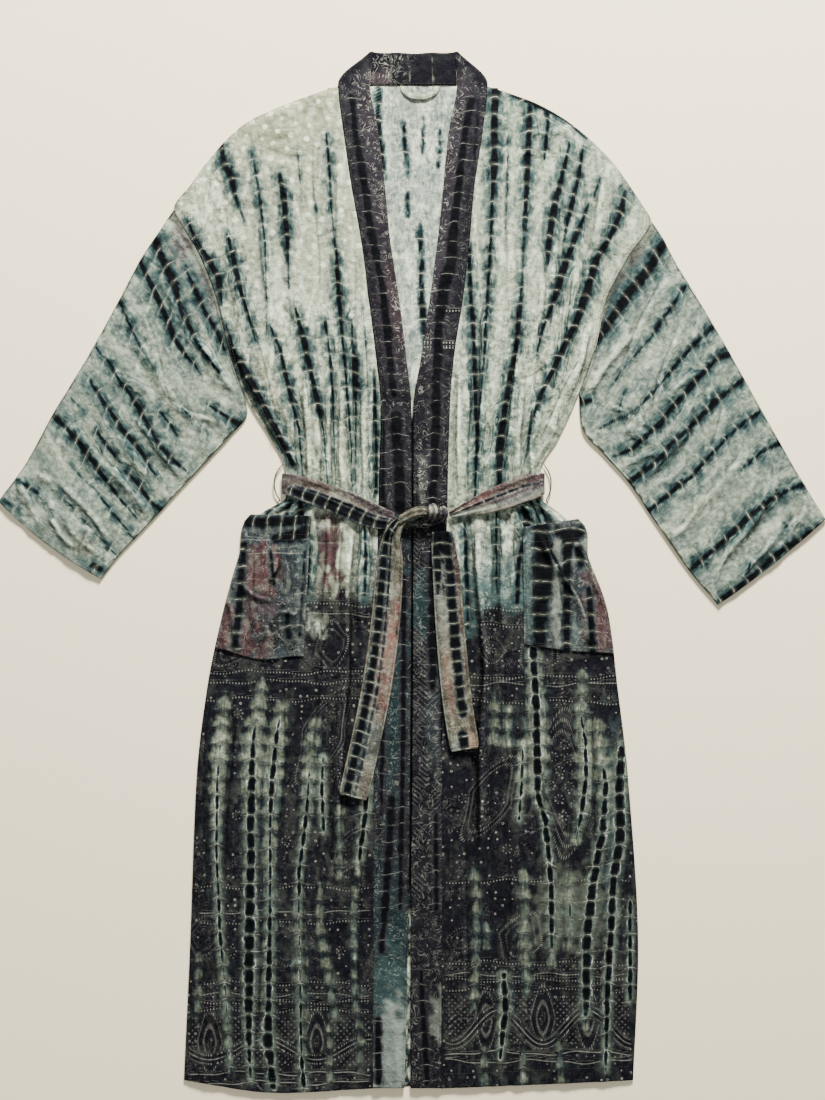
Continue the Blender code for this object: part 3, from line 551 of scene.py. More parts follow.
# Pale columns down the skirt, most with a dark core
SKIRT_COLUMNS = {
    "right": (
        # across, down, half width of the core, ink, half width of the pale part
        ((-221, 762, 0.1, 0, 7), (-225, 812, 1, 0.5, 8), (-229, 860, 1.5, 0.9, 7), (-230, 942, 1.5, 0.9, 6)),
        ((-230, 942, 1.5, 0.9, 6), (-226, 1040, 2, 0.9, 7), (-220, 1100, 1.5, 0.6, 7),
         (-214, 1200, 1, 0.5, 5)),
        ((-176, 738, 0.1, 0, 5), (-182, 780, 0.5, 0.4, 9), (-187, 812, 2.5, 1, 11), (-189, 871, 5, 1, 10)),
        ((-189, 871, 5, 1, 10), (-190, 960, 5, 1, 9), (-191, 1040, 6.5, 1, 11), (-192, 1119, 5.5, 1, 10)),
        ((-192, 1119, 5.5, 1, 10), (-192, 1160, 3.5, 1, 7), (-190, 1215, 1.5, 0.6, 5)),
        ((-152, 768, 0.1, 0, 7), (-159, 806, 2.5, 1, 9), (-165, 859, 3, 1, 10), (-167, 918, 1.5, 0.9, 9)),
        ((-167, 918, 1.5, 0.9, 9), (-167, 1000, 1.5, 0.9, 8), (-168, 1070, 3, 1, 9), (-169, 1130, 4, 1, 8)),
        ((-169, 1130, 4, 1, 8), (-170, 1166, 6.5, 1, 10), (-166, 1190, 4, 1, 7), (-164, 1218, 5, 1, 8)),
        ((-113, 786, 0.1, 0, 5), (-119, 820, 0.5, 0.4, 7), (-124, 898, 2.5, 1, 7), (-133, 968, 2, 1, 6)),
        ((-133, 968, 2, 1, 6), (-133, 1040, 1, 0.6, 10), (-132, 1080, 0.8, 0.6, 11),
         (-131, 1130, 1.5, 0.9, 8)),
        ((-131, 1130, 1.5, 0.9, 8), (-130, 1186, 1.5, 0.9, 6), (-127, 1222, 3, 1, 7)),
        ((-105, 830, 1, 0.7, 4), (-106, 871, 2, 1, 5), (-104, 922, 2, 0.9, 4)),
        ((-84, 890, 0.5, 0.4, 4), (-85, 972, 0.5, 0.4, 3.5)),
        ((-51, 846, 2, 0.9, 5), (-55, 900, 3, 1, 6), (-60, 936, 2.5, 1, 6), (-64, 968, 0.5, 0.4, 4)),
        ((-68, 985, 0.1, 0, 4), (-69, 1030, 0.3, 0.3, 4), (-68, 1070, 0.1, 0, 4)),
        ((-108, 984, 0.1, 0, 5), (-108, 1034, 0.1, 0, 6), (-100, 1080, 0.1, 0, 6), (-90, 1140, 0.3, 0.3, 4)),
        ((-68, 1070, 0.1, 0, 5), (-66, 1126, 0.1, 0, 5), (-60, 1166, 0.1, 0, 6), (-62, 1200, 0.1, 0, 4)),
        ((-250, 1060, 0.1, 0, 4), (-252, 1110, 0.1, 0, 5), (-254, 1140, 0.1, 0, 3)),
        ((-98, 1150, 0.1, 0, 4), (-96, 1215, 0.1, 0, 5)),
    ),
    "left": (
        ((97, 762, 0.1, 0, 6), (97, 812, 0.1, 0, 5)),
        ((113, 774, 0.1, 0, 4), (113, 816, 0.1, 0, 4)),
        ((143, 706, 4.5, 1, 11), (145, 752, 4, 1, 13), (147, 800, 4.5, 1, 12), (147, 835, 5, 1, 9)),
        ((147, 835, 5, 1, 9), (148, 877, 3.5, 1, 7), (157, 905, 3, 1, 6), (161, 947, 3, 1, 6)),
        ((161, 947, 3, 1, 6), (164, 985, 3, 1, 10), (164, 1030, 3, 1, 10), (165, 1080, 0.5, 0.4, 6)),
        ((131, 815, 1, 0.7, 4), (129, 860, 2, 0.9, 4.5), (126, 905, 1.5, 0.8, 4)),
        ((201, 735, 0.5, 0.4, 7), (198, 780, 1, 0.6, 8), (204, 812, 2, 0.8, 9), (205, 853, 2.5, 1, 9)),
        ((205, 853, 2.5, 1, 9), (200, 895, 3, 1, 7), (193, 930, 1, 0.5, 7)),
        ((216, 790, 0.3, 0.3, 7), (222, 828, 0.5, 0.4, 8), (228, 860, 3, 1, 7), (225, 915, 4, 1, 7)),
        ((225, 915, 4, 1, 7), (214, 975, 5, 1, 9), (206, 1041, 5.5, 1, 9), (205, 1121, 5, 1, 8)),
        ((205, 1121, 5, 1, 8), (204, 1150, 1, 0.6, 5)),
        ((247, 822, 4, 1, 8), (244, 870, 6, 1, 9), (245, 930, 6, 1, 9), (237, 975, 4.5, 1, 9)),
        ((237, 975, 4.5, 1, 9), (234, 1040, 4, 1, 9), (230, 1106, 3.5, 1, 7), (228, 1200, 2, 0.8, 5)),
        ((257, 1000, 2, 0.9, 4), (257, 1119, 3, 1, 5)),
        ((108, 1088, 2.5, 1, 8), (110, 1128, 3.5, 1, 9), (107, 1156, 3.5, 1, 8), (104, 1186, 1.5, 0.8, 4)),
        ((73, 965, 0.1, 0, 6), (76, 1000, 0.1, 0, 5), (75, 1070, 0.3, 0.3, 5), (72, 1125, 0.3, 0.3, 5)),
        ((87, 1028, 0.1, 0, 5), (88, 1056, 0.1, 0, 5)),
        ((131, 966, 0.1, 0, 6), (134, 1018, 0.3, 0.3, 6), (132, 1042, 0.3, 0.3, 9), (136, 1106, 0.3, 0.3, 5)),
        ((184, 968, 0.1, 0, 10), (186, 1012, 1.5, 0.8, 11), (184, 1052, 0.1, 0, 7)),
        ((130, 1180, 0.5, 0.5, 4), (131, 1218, 0.5, 0.4, 6)),
        ((172, 1160, 0.1, 0, 3), (176, 1215, 0.1, 0, 4)),
        ((84, 1176, 0.1, 0, 4), (86, 1218, 0.1, 0, 5)),
    ),
}

SLEEVE_STREAKS = {
    "right": (
        ((-302, 222, 7, 1), (-294, 246, 6, 1), (-282, 270, 9, 1), (-277, 286, 5, 1), (-272, 306, 3, 1)),
        ((-272, 306, 3, 1), (-264, 322, 5, 1), (-252, 346, 2, 0.9), (-226, 380, 1.5, 0.8)),
        ((-320, 249, 3, 1), (-310, 270, 4.5, 1), (-298, 295, 5, 1), (-289, 314, 6, 1), (-280, 340, 5, 1)),
        ((-280, 340, 5, 1), (-270, 354, 4, 1), (-253, 374, 1.5, 0.8)),
        ((-267, 258, 2, 0.9), (-253, 287, 3.5, 1), (-243, 308, 3.5, 1), (-227, 336, 3, 1),
         (-221, 352, 3, 0.9)),
        ((-345, 294, 1.5, 0.9), (-333, 322, 2, 0.9), (-324, 341, 2.5, 0.9), (-308, 366, 1.5, 0.8),
         (-296, 384, 1, 0.6)),
        ((-372, 350, 2, 0.7), (-356, 368, 2, 0.8), (-344, 389, 3, 1), (-332, 404, 3.5, 1), (-317, 429, 4, 1)),
        ((-317, 429, 4, 1), (-306, 449, 3, 1), (-296, 467, 3, 1), (-283, 480, 4, 1), (-266, 495, 2, 0.8)),
        ((-379, 388, 2.5, 0.9), (-373, 399, 3, 0.9), (-356, 423, 3, 1), (-343, 444, 4, 1),
         (-326, 463, 4.5, 1)),
        ((-326, 463, 4.5, 1), (-311, 485, 2.5, 1), (-300, 504, 1.5, 0.7)),
        ((-401, 408, 2, 0.6), (-383, 429, 2, 0.6)),
        ((-372, 448, 2.5, 0.9), (-357, 468, 2.5, 0.9), (-345, 483, 3, 0.9)),
        ((-338, 494, 2, 0.9), (-322, 511, 3, 1), (-309, 530, 3, 1), (-296, 540, 4, 1)),
        ((-421, 431, 6, 1), (-404, 448, 4, 1), (-388, 466, 5, 1), (-366, 498, 3.5, 1), (-336, 538, 2, 0.8)),
        ((-336, 538, 2, 0.8), (-317, 557, 1, 0.4)),
        ((-403, 485, 3, 0.45), (-391, 500, 3, 0.45), (-373, 517, 3, 0.5), (-354, 542, 1.5, 0.8),
         (-326, 576, 1.5, 0.9)),
        ((-416, 519, 1, 0.6), (-396, 542, 1, 0.6), (-369, 572, 1.5, 0.7), (-347, 596, 1.5, 0.8)),
        ((-465, 505, 4, 0.7), (-441, 521, 4, 0.7)),
        ((-480, 529, 5, 0.6), (-462, 540, 5, 0.6)),
        ((-376, 606, 6, 0.9), (-368, 610, 6, 0.9)),
        ((-298, 424, 2, 0.9), (-283, 442, 2.5, 0.9), (-275, 454, 1.5, 0.7)),
        ((-271, 421, 1, 0.7), (-242, 448, 1, 0.6)),
        ((-238, 418, 2, 0.9), (-214, 434, 4, 0.9), (-204, 440, 5, 1)),
        ((-340, 300, 3, 0.3), (-322, 330, 3, 0.3)),
    ),
    "left": (
        ((296, 226, 7, 1), (284, 250, 9, 1), (272, 266, 9, 1), (258, 281, 9, 1), (248, 297, 9, 1)),
        ((248, 297, 9, 1), (237, 313, 8, 1), (224, 334, 7, 1), (214, 350, 4, 0.8)),
        ((325, 275, 2, 0.8), (317, 283, 2, 0.9), (305, 304, 3, 0.9), (297, 313, 3, 0.9), (281, 339, 3, 0.7)),
        ((281, 339, 3, 0.7), (259, 362, 2, 0.6), (231, 399, 2, 0.6)),
        ((354, 326, 3, 0.8), (341, 337, 3, 0.9), (325, 354, 3, 0.9), (311, 370, 3, 0.9),
         (281, 406, 2.5, 0.8)),
        ((281, 406, 2.5, 0.8), (262, 424, 1.5, 0.7), (222, 444, 2, 0.8)),
        ((373, 357, 4, 1), (357, 365, 3, 1), (338, 384, 5, 1), (322, 403, 5, 1), (304, 422, 4, 1)),
        ((304, 422, 4, 1), (295, 436, 5, 1), (276, 453, 4, 1), (259, 469, 3, 1), (238, 478, 1.5, 0.8)),
        ((390, 387, 4, 1), (375, 399, 4, 1), (354, 416, 5, 1), (340, 431, 4, 1), (323, 448, 4, 1)),
        ((323, 448, 4, 1), (306, 462, 4, 1), (293, 479, 5, 1), (276, 494, 5, 1), (256, 507, 5, 1)),
        ((409, 426, 3.5, 1), (393, 436, 2.5, 1), (379, 448, 2, 0.9), (367, 460, 2, 0.9), (347, 480, 3, 1)),
        ((347, 480, 3, 1), (330, 501, 3, 1), (310, 516, 3, 1), (290, 533, 3, 1), (277, 543, 3, 1)),
        ((432, 463, 4, 1), (415, 470, 2.5, 1), (398, 484, 2, 0.8), (386, 494, 1.5, 0.4)),
        ((459, 511, 5, 1), (440, 519, 3, 1), (421, 529, 4, 1), (400, 546, 4, 1), (379, 565, 6, 1)),
        ((379, 565, 6, 1), (362, 582, 3.5, 1), (344, 597, 4, 1), (327, 612, 4, 1)),
        ((486, 558, 5, 1), (459, 574, 5, 1), (428, 594, 5, 1), (403, 618, 5, 1), (362, 648, 5, 1)),
        ((442, 559, 1.5, 0.8), (436, 563, 1.5, 0.8)),
        ((398, 604, 2, 0.9), (396, 610, 2, 0.9)),
        ((250, 400, 1.5, 0.6), (243, 425, 1.5, 0.6)),
        ((194, 408, 4, 1), (203, 414, 5, 1), (212, 411, 2.5, 0.9)),
        ((330, 540, 4, 0.3), (316, 560, 4, 0.3)),
    ),
}

BACK_INSIDE_STREAKS = (
    ((-39, 40, 3, 0.9), (-40, 69, 3, 0.9), (-38, 100, 3, 1), (-35, 131, 3, 0.9), (-31, 150, 2, 0.6)),
    ((-11, 82, 1.5, 0.8), (-8, 106, 1.8, 0.9), (-6, 131, 2.5, 1), (-5, 145, 2, 0.8)),
    ((-6, 166, 2, 0.6), (-5, 190, 2.5, 0.9), (-5, 202, 1, 0.4)),
    ((13, 76, 3, 0.3), (13, 106, 1.8, 0.8), (12, 130, 1, 0.3)),
    ((11, 196, 1.5, 0.6), (9, 214, 4, 0.8), (11, 236, 2, 1), (11, 273, 2.5, 1), (13, 318, 4, 1)),
    ((13, 318, 4, 1), (14, 345, 3, 0.5)),
    ((33, 91, 1, 0.7), (33, 115, 1.3, 0.9), (31, 138, 1.3, 0.7)),
)

NECKBAND_STREAKS = {
    "right": (
        ((-71, 56, 4, 0.9), (-67, 97, 4, 0.9), (-60, 130, 4.5, 1), (-55, 165, 4.5, 1), (-49, 208, 4.5, 1)),
        ((-49, 208, 4.5, 1), (-42, 243, 4, 1), (-34, 283, 4, 1), (-29, 336, 5, 1), (-21, 405, 4, 1)),
        ((-36, 436, 4.5, 1), (-36, 505, 5, 1), (-35, 540, 4.5, 1)),
        ((-19, 430, 7, 1), (-15, 500, 7, 1), (-14, 540, 7, 1)),
        ((-33, 620, 3, 0.9), (-34, 760, 3, 0.9), (-36, 900, 2, 0.7)),
        ((-10, 620, 3, 1), (-10, 760, 2.5, 1), (-12, 900, 3, 0.9), (-14, 1010, 3, 0.7)),
        ((-24, 880, 5, 0.8), (-28, 960, 5, 0.9), (-36, 1060, 3, 0.9)),
        ((-40, 1140, 3, 1), (-40, 1178, 3.5, 1), (-39, 1214, 3.5, 1)),
    ),
    "left": (
        ((70, 60, 5, 0.9), (62, 100, 4, 0.9), (58, 135, 4, 1), (54, 165, 4.5, 1), (50, 200, 5, 1)),
        ((50, 200, 5, 1), (46, 250, 8, 1), (36, 285, 8, 1), (31, 330, 5, 1), (29, 385, 6, 1)),
        ((29, 385, 6, 1), (28, 440, 5.5, 1), (27, 490, 5, 1), (24, 530, 5, 1)),
        ((78, 60, 5, 0.5), (76, 100, 4, 0.5), (70, 160, 4, 0.5)),
        ((23, 590, 4, 0.9), (25, 640, 5, 1), (25, 700, 5, 1), (24, 750, 4, 0.8)),
        ((34, 760, 2, 0.7), (35, 820, 2, 0.6)),
        ((11, 1085, 2, 0.9), (12, 1120, 3, 1), (15, 1160, 3.5, 1), (18, 1215, 3, 1)),
        ((28, 900, 3, 0.8), (29, 1010, 3, 0.8)),
    ),
}

POCKET_STREAKS = {
    "right": (
        ((-192, 556, 6, 1), (-160, 555, 6, 1), (-122, 552, 6, 1)),
        ((-160, 574, 5, 1), (-140, 572, 8, 1), (-122, 566, 8, 1)),
        ((-198, 582, 3.5, 1), (-200, 611, 4, 1), (-203, 650, 4, 1), (-208, 702, 4, 1)),
        ((-146, 664, 3, 0.8), (-145, 690, 4, 0.8)),
        ((-126, 590, 2, 0.5), (-132, 690, 2, 0.5)),
        ((-166, 590, 1.5, 0.8), (-162, 628, 2, 0.9)),
    ),
    "left": (
        ((153, 562, 11, 1), (154, 620, 12, 1), (151, 660, 9, 1), (150, 702, 7, 1)),
        ((186, 566, 7, 1), (182, 600, 5, 1), (182, 650, 4, 1), (182, 704, 4, 1)),
        ((208, 634, 3.5, 0.9), (211, 672, 4, 1), (212, 706, 4, 1)),
        ((172, 566, 6, 1), (190, 572, 7, 1), (198, 566, 7, 1)),
        ((196, 588, 5, 1), (199, 604, 5, 1)),
        ((162, 588, 2, 0.9), (188, 640, 2, 0.8)),
    ),
}

# Patches of ground colour and of painted shadow: names of colours are those of the robe's colour settings
FRONT_PATCHES = {
    "right": (
        # across, down, radius across, radius down, colour, strength
        (-60, 130, 60, 90, "cream", 0.35),
        (-110, 300, 70, 60, "cream", 0.45),
        (-60, 350, 40, 60, "cream", 0.5),
        (-62, 582, 18, 40, "cream", 0.75),
        # Painted shadow under the lower edge of the belt
        (-94, 548, 13, 12, "charcoal", 0.75),
        (-52, 562, 12, 12, "mauve", 0.6),
        (-78, 590, 6, 36, "cream", 0.95),
        (-102, 590, 19, 44, "rose", 1),
        (-94, 622, 18, 14, "rose", 0.8),
        (-118, 606, 5, 22, "cream", 0.8),
        (-104, 606, 5, 12, "cream", 0.7),
        (-92, 632, 5, 16, "cream", 0.7),
        (-114, 679, 14, 12, "cream", 0.22),
        (-56, 600, 12, 36, "teal", 0.5),
        (-98, 568, 15, 28, "rose", 0.9),
        (-118, 582, 7, 30, "cream", 0.85),
        (-112, 618, 7, 12, "cream", 0.75),
        (-82, 596, 6, 30, "cream", 0.9),
        (-210, 300, 40, 60, "grey", 0.35),
        (-240, 200, 30, 40, "cream", 0.3),
    ),
    "left": (
        (90, 120, 30, 60, "cream", 0.4),
        (200, 240, 60, 50, "cream", 0.35),
        (100, 400, 40, 60, "cream", 0.5),
        (160, 330, 30, 60, "cream", 0.5),
        (120, 210, 40, 50, "grey", 0.3),
        (96, 576, 30, 26, "beige", 0.6),
        (112, 566, 10, 40, "mauve", 0.45),
        # Painted shadow under the lower edge of the belt
        (102, 548, 16, 10, "charcoal", 0.5),
        (158, 548, 6, 14, "mauve", 0.6),
        (176, 556, 8, 14, "teal", 0.5),
        (104, 606, 24, 30, "grey", 0.65),
        (94, 618, 40, 34, "teal", 0.6),
        (62, 566, 10, 34, "slate", 0.4),
        (86, 600, 8, 50, "teal", 0.5),
        (128, 520, 12, 26, "mauve", 0.7),
        (88, 636, 50, 14, "teal", 0.5),
        (184, 1013, 46, 50, "lobe", 0.30),
        (236, 900, 16, 110, "teal", 0.25),
    ),
}

INSIDE_PATCHES = (
    (14, 316, 18, 70, "teal", 0.3),
    (-50, 110, 12, 90, "teal", 0.25),
    (6, 60, 30, 30, "grey", 0.35),
)

SLEEVE_PATCHES = {
    "right": (
        (-440, 545, 60, 44, "teal", 0.45),
        (-272, 222, 15, 34, "mauve", 0.9),
        (-240, 292, 14, 48, "mauve", 0.9),
        (-385, 588, 12, 18, "mauve", 0.5),
    ),
    "left": (
        (264, 240, 14, 28, "mauve", 0.9),
        (236, 284, 14, 44, "mauve", 0.9),
    ),
}

# Some of the next patches give their raggedness last
NECKBAND_PATCHES = {
    "right": (
        (-24, 300, 14, 60, "rose", 0.25),
        (-24, 730, 26, 170, "deep_teal", 0.6),
        (-26, 1040, 30, 110, "deep_teal", 0.6, 0.2),
        (-24, 1120, 30, 70, "teal", 0.45, 0.2),
        (-22, 1190, 24, 74, "inside", 0.75, 0.2),
        (-30, 1196, 16, 60, "teal", 0.4),
    ),
    "left": (
        (12, 508, 6, 26, "grey", 0.22, 0.6),
        (10, 650, 18, 40, "deep_teal", 0.7),
        (26, 790, 14, 70, "slate", 0.5),
        (30, 1140, 8, 30, "grey", 0.6),
    ),
}

POCKET_PATCHES = {
    "right": (
        (-176, 612, 26, 36, "rose", 0.95, 0.2),
        (-206, 690, 26, 50, "rose", 0.85),
        (-176, 702, 14, 18, "rose", 0.7),
        (-176, 654, 20, 14, "mauve", 0.8),
        (-140, 600, 18, 34, "slate", 0.7),
        (-128, 580, 12, 40, "teal", 0.4),
        (-155, 686, 30, 24, "charcoal", 0.75),
        (-216, 600, 10, 44, "grey", 0.5),
    ),
    "left": (
        (138, 620, 9, 90, "teal", 0.8),
        (170, 630, 7, 80, "grey", 0.75),
        (220, 650, 22, 66, "mauve", 0.95),
        (220, 640, 16, 50, "rose", 0.6),
        (196, 590, 12, 20, "grey", 0.6),
        (190, 684, 12, 18, "teal", 0.5),
        (222, 684, 14, 34, "rose", 0.7),
    ),
}

KNOT_PATCHES = (
    (-4, 552, 12, 3, "grey", 0.55),
    (24, 541, 5, 4, "grey", 0.45),
    (12, 546, 4, 5, "mauve", 0.4),
)


# Shared arithmetic, all of it on arrays


def curve_through(rows, column):
    """A smooth function through one column of a table, read against its first column, with no overshoot."""
    at = np.array([row[0] for row in rows], float)
    values = np.array([row[column] for row in rows], float)
    steps = np.diff(at)
    slopes = np.diff(values) / steps
    tangents = np.concatenate([slopes[:1], np.zeros(len(values) - 2), slopes[-1:]])
    for i in range(1, len(values) - 1):
        if slopes[i - 1] * slopes[i] > 0:
            tangents[i] = 2 * slopes[i - 1] * slopes[i] / (slopes[i - 1] + slopes[i])

    def value(x):
        i = np.clip(np.searchsorted(at, x) - 1, 0, len(steps) - 1)
        t = np.clip((x - at[i]) / steps[i], 0.0, 1.0)
        from_here = (1 + 2 * t) * (1 - t) ** 2 * values[i] + t * t * (3 - 2 * t) * values[i + 1]
        lean = t * (1 - t) ** 2 * tangents[i] - t * t * (1 - t) * tangents[i + 1]
        return from_here + lean * steps[i]

    return value


def by_distance(rows):
    """The rows of a route with the distance along it put first."""
    along = [0.0]
    for here, there in zip(rows, rows[1:]):
        along.append(along[-1] + math.hypot(there[0] - here[0], there[1] - here[1]))
    return [(distance, *row) for distance, row in zip(along, rows)]


EDGE = {"right": curve_through(BODY_EDGES, 1), "left": curve_through(BODY_EDGES, 2)}
BAND_SEAM = {"right": curve_through(BAND_EDGES, 1), "left": curve_through(BAND_EDGES, 4)}
BAND_FREE = {"right": curve_through(BAND_EDGES, 2), "left": curve_through(BAND_EDGES, 3)}
HEM = {"right": curve_through(HEM_DOWN, 1), "left": curve_through(HEM_DOWN, 2)}


def mix(a, b, share):
    return a + (b - a) * share


def ramp(x, low, high):
    """0 below low, 1 above high, and smooth between."""
    t = np.clip((x - low) / (high - low), 0.0, 1.0)
    return t * t * (3 - 2 * t)


def bump(x):
    """1 at 0, falling smoothly to 0 at -1 and 1."""
    return np.where(np.abs(x) < 1, 0.5 + 0.5 * np.cos(np.pi * np.clip(x, -1, 1)), 0.0)


def beside_line(ends, x, down):
    """How far along a line a point lies, as a share of it, and how far beside it."""
    x0, down0, x1, down1 = ends
    run = (x1 - x0, down1 - down0)
    length = math.hypot(*run)
    share = ((x - x0) * run[0] + (down - down0) * run[1]) / length**2
    return share, ((x - x0) * run[1] - (down - down0) * run[0]) / length


def beside_crease(crease, x, down):
    """How far a point lies from a wandering crease, and how much the crease has faded there."""
    share, away = beside_line(crease[:4], x, down)
    wander = 0.25 * crease[4] * np.sin(7.0 * share + crease[0])
    return away + wander, ramp(share, -0.04, 0.22) * (1 - ramp(share, 0.78, 1.04))


def fold_height(folds, x, down):
    """How high the folds of a table stand at a point, each one a soft ridge that fades at its ends."""
    height = np.zeros(np.broadcast(x, down).shape)
    for *ends, half_width, rise in folds:
        share, away = beside_line(ends, x, down)
        height = height + rise * bump(np.abs(away) / half_width) * bump(2 * share - 1) ** 0.5
    return height


def crease_height(creases, x, down):
    """The fine creases of a table in millimetres, steeper on the side that each one leans to."""
    height = np.zeros(np.broadcast(x, down).shape)
    for crease in creases:
        half_width, rise, lean = crease[4:]
        away, fade = beside_crease(crease, 1000 * x, 1000 * down)
        reach = half_width * np.where(away * lean > 0, 1 - 0.65 * abs(lean), 1.0)
        height = height + rise * np.exp(-((away / reach) ** 2)) * fade
    return 1.6 * height / 1000


def crease_shade(creases, across, down):
    """Painted shadow and highlight that the creases of a table cast beside them, in millimetres."""
    shade = np.zeros(np.broadcast(across, down).shape)
    for crease in creases:
        half_width, rise, lean = crease[4:]
        away, fade = beside_crease(crease, across, down)
        away = away * (1 if lean >= 0 else -1)
        fade = fade * min(1.0, abs(rise) / 1.6)
        dark = np.exp(-(((away - 0.35 * half_width) / 1.5) ** 2))
        bright = np.exp(-(((away + 0.30 * half_width) / 2.4) ** 2))
        shade = shade + fade * (0.20 * bright - 0.62 * dark)
    return shade


def ripple(x, down, seed, across_size, down_size, waves=26):
    """Soft unevenness between about -1 and 1: many faint waves of random heading."""
    random = np.random.default_rng(seed)
    total = np.zeros(np.broadcast(x, down).shape)
    for _ in range(waves):
        heading = random.uniform(0, math.tau)
        pace = random.uniform(0.6, 1.5)
        turn = random.uniform(0, math.tau)
        place = math.cos(heading) * x / across_size + math.sin(heading) * down / down_size
        total = total + np.cos(pace * place * math.tau + turn)
    return total / math.sqrt(waves)


def belt_lift(down):
    """How far the cloth is raised where it crosses the belt that runs under the robe."""
    away = np.abs(down - BELT_DOWN) - BELT_WIDTH / 2
    return (DOUBLED_CLOTH + SEAM_GAP) * (1 - ramp(away, 0.002, 0.002 + BELT_RAMP))


def belt_line(x):
    """How far down the belt crosses the front."""
    return mix(BELT_SLOPE_DOWN, BELT_DOWN, np.minimum(1.0, np.abs(x) / BELT_HALF_SPAN))


def gather_height(share, x, down):
    """The gathers at the belt, pressed lower right under it."""
    away = down - belt_line(x)
    press = 1 - 0.5 * np.exp(-((away / BELT_PRESS_REACH) ** 2))
    height = 0.0
    for centre, half_width, rise, up, low in GATHERS:
        reach = np.where(away < 0, up, low)
        height = height + rise * bump((share - centre) / half_width) * np.exp(-((away / reach) ** 2))
    return height * press


def over_back(down):
    """The height at which a layer lies on the back panel with no puff."""
    return CLOTH + SEAM_GAP + belt_lift(down)


def front_under(side, share, down):
    """The height of the underside of a front, from the side seam at share 0 to the band's seam at 1."""
    edge, seam = EDGE[side](down), BAND_SEAM[side](down)
    x = mix(edge, seam, share)
    inwards = np.abs(x - edge)
    puff = PUFF * (1 - np.exp(-inwards / PUFF_REACH))
    calm = ramp(inwards, 0.0, 0.010) * ramp(np.abs(x - seam), 0.0, 0.008)
    folds = fold_height(FRONT_FOLDS[side], x, down) * calm
    return over_back(down) + puff + folds + gather_height(share, x, down)


def hem_drop(side, share, down):
    """How much lower a point hangs because the hem is curved."""
    return (HEM[side](share) - HEM_SIDE) * ramp(down, HEM_START, HEM_SIDE)


def band_under(side, down):
    """The neckband lies on the plane above the shoulders and on the fronts' level below them."""
    return front_under(side, 1.0, np.maximum(down, NECK_BACK_WIDTH)) * ramp(down, 0.002, 0.062)


def sleeve_plan(side, along, across):
    """A point of a sleeve in plan: the armhole end follows the body's edge, and the rest the sections."""
    table = by_distance(SLEEVE_SECTIONS[side])
    distance = along * table[-1][0]
    fold_x, fold_down, seam_x, seam_down, bow = (curve_through(table, i)(distance) for i in range(1, 6))
    x = mix(fold_x, seam_x, across)
    down = mix(fold_down, seam_down, across)
    width = np.hypot(seam_down - fold_down, fold_x - seam_x)
    out_x = SIDES[side] * (seam_down - fold_down) / width
    out_down = SIDES[side] * (fold_x - seam_x) / width
    belly = 4 * across * (1 - across) * bow
    _, start_fold_x, start_fold_down, start_seam_x, start_seam_down, _ = table[0]
    start_down = mix(start_fold_down, start_seam_down, across)
    armhole_x = EDGE[side](start_down) + SIDES[side] * ARMHOLE_GAP
    shift = armhole_x - mix(start_fold_x, start_seam_x, across)
    return x + out_x * belly + shift * (1 - ramp(distance, 0.0, 0.060)), down + out_down * belly


# Meshes


def clear_out(name):
    """Removes what an earlier run of the same operator made."""
    old = bpy.data.objects.get(name)
    if old:
        bpy.data.objects.remove(old, do_unlink=True)


def add_piece(name, points, faces, material):
    """A mesh piece with its place in its points, pressed flat where it would sink into the ground."""
    clear_out(name)
    points = np.array(points, float)
    points[:, 2] = np.maximum(points[:, 2], 0.04 * points[:, 2])
    mesh = bpy.data.meshes.new(name)
    mesh.from_pydata([tuple(point) for point in points], [], faces)
    mesh.polygons.foreach_set("use_smooth", np.ones(len(mesh.polygons), bool))
    mesh.materials.append(material)
    piece = bpy.data.objects.new(name, mesh)
    bpy.context.scene.collection.objects.link(piece)
    return piece


def grid_faces(rows, columns, wrap=False):
    """Quads of a grid of points, row after row. With wrap the last column joins the first."""
    faces = []
    last = columns if wrap else columns - 1
    for here in range(0, (rows - 1) * columns, columns):
        below = here + columns
        for column in range(last):
            beside = (column + 1) % columns
            faces.append((here + column, here + beside, below + beside, below + column))
    return faces


def face_up(points, faces):
    """Turns the faces of an open sheet so that most of them look up."""
    corners = points[np.array(faces)]
    normals = np.cross(corners[:, 1] - corners[:, 0], corners[:, 3] - corners[:, 0])
    return faces if normals[:, 2].sum() > 0 else [face[::-1] for face in faces]


def face_out(points, faces, ends=()):
    """Turns the faces of a closed or tubular shape outwards, with those that close its ends."""
    corners = points[np.array(faces)] - points.mean(axis=0)
    volume = np.einsum("ij,ij->i", corners[:, 0], np.cross(corners[:, 1], corners[:, 2])).sum()
    volume += np.einsum("ij,ij->i", corners[:, 0], np.cross(corners[:, 2], corners[:, 3])).sum()
    faces = [*faces, *ends]
    return faces if volume > 0 else [face[::-1] for face in faces]


def tube_faces(points, rows, around):
    """The faces of a closed tube of rows of points, its two ends among them."""
    first = tuple(range(around - 1, -1, -1))
    last = tuple(range((rows - 1) * around, rows * around))
    return face_out(points, grid_faces(rows, around, wrap=True), (first, last))


TURNED_EDGE = (
    # outwards, upwards
    (0.0004, -0.0002),
    (0.0006, -0.0007),
    (0.0002, -0.0012),
    (-0.0030, -0.0013),
    (-0.0120, -0.0013),
)


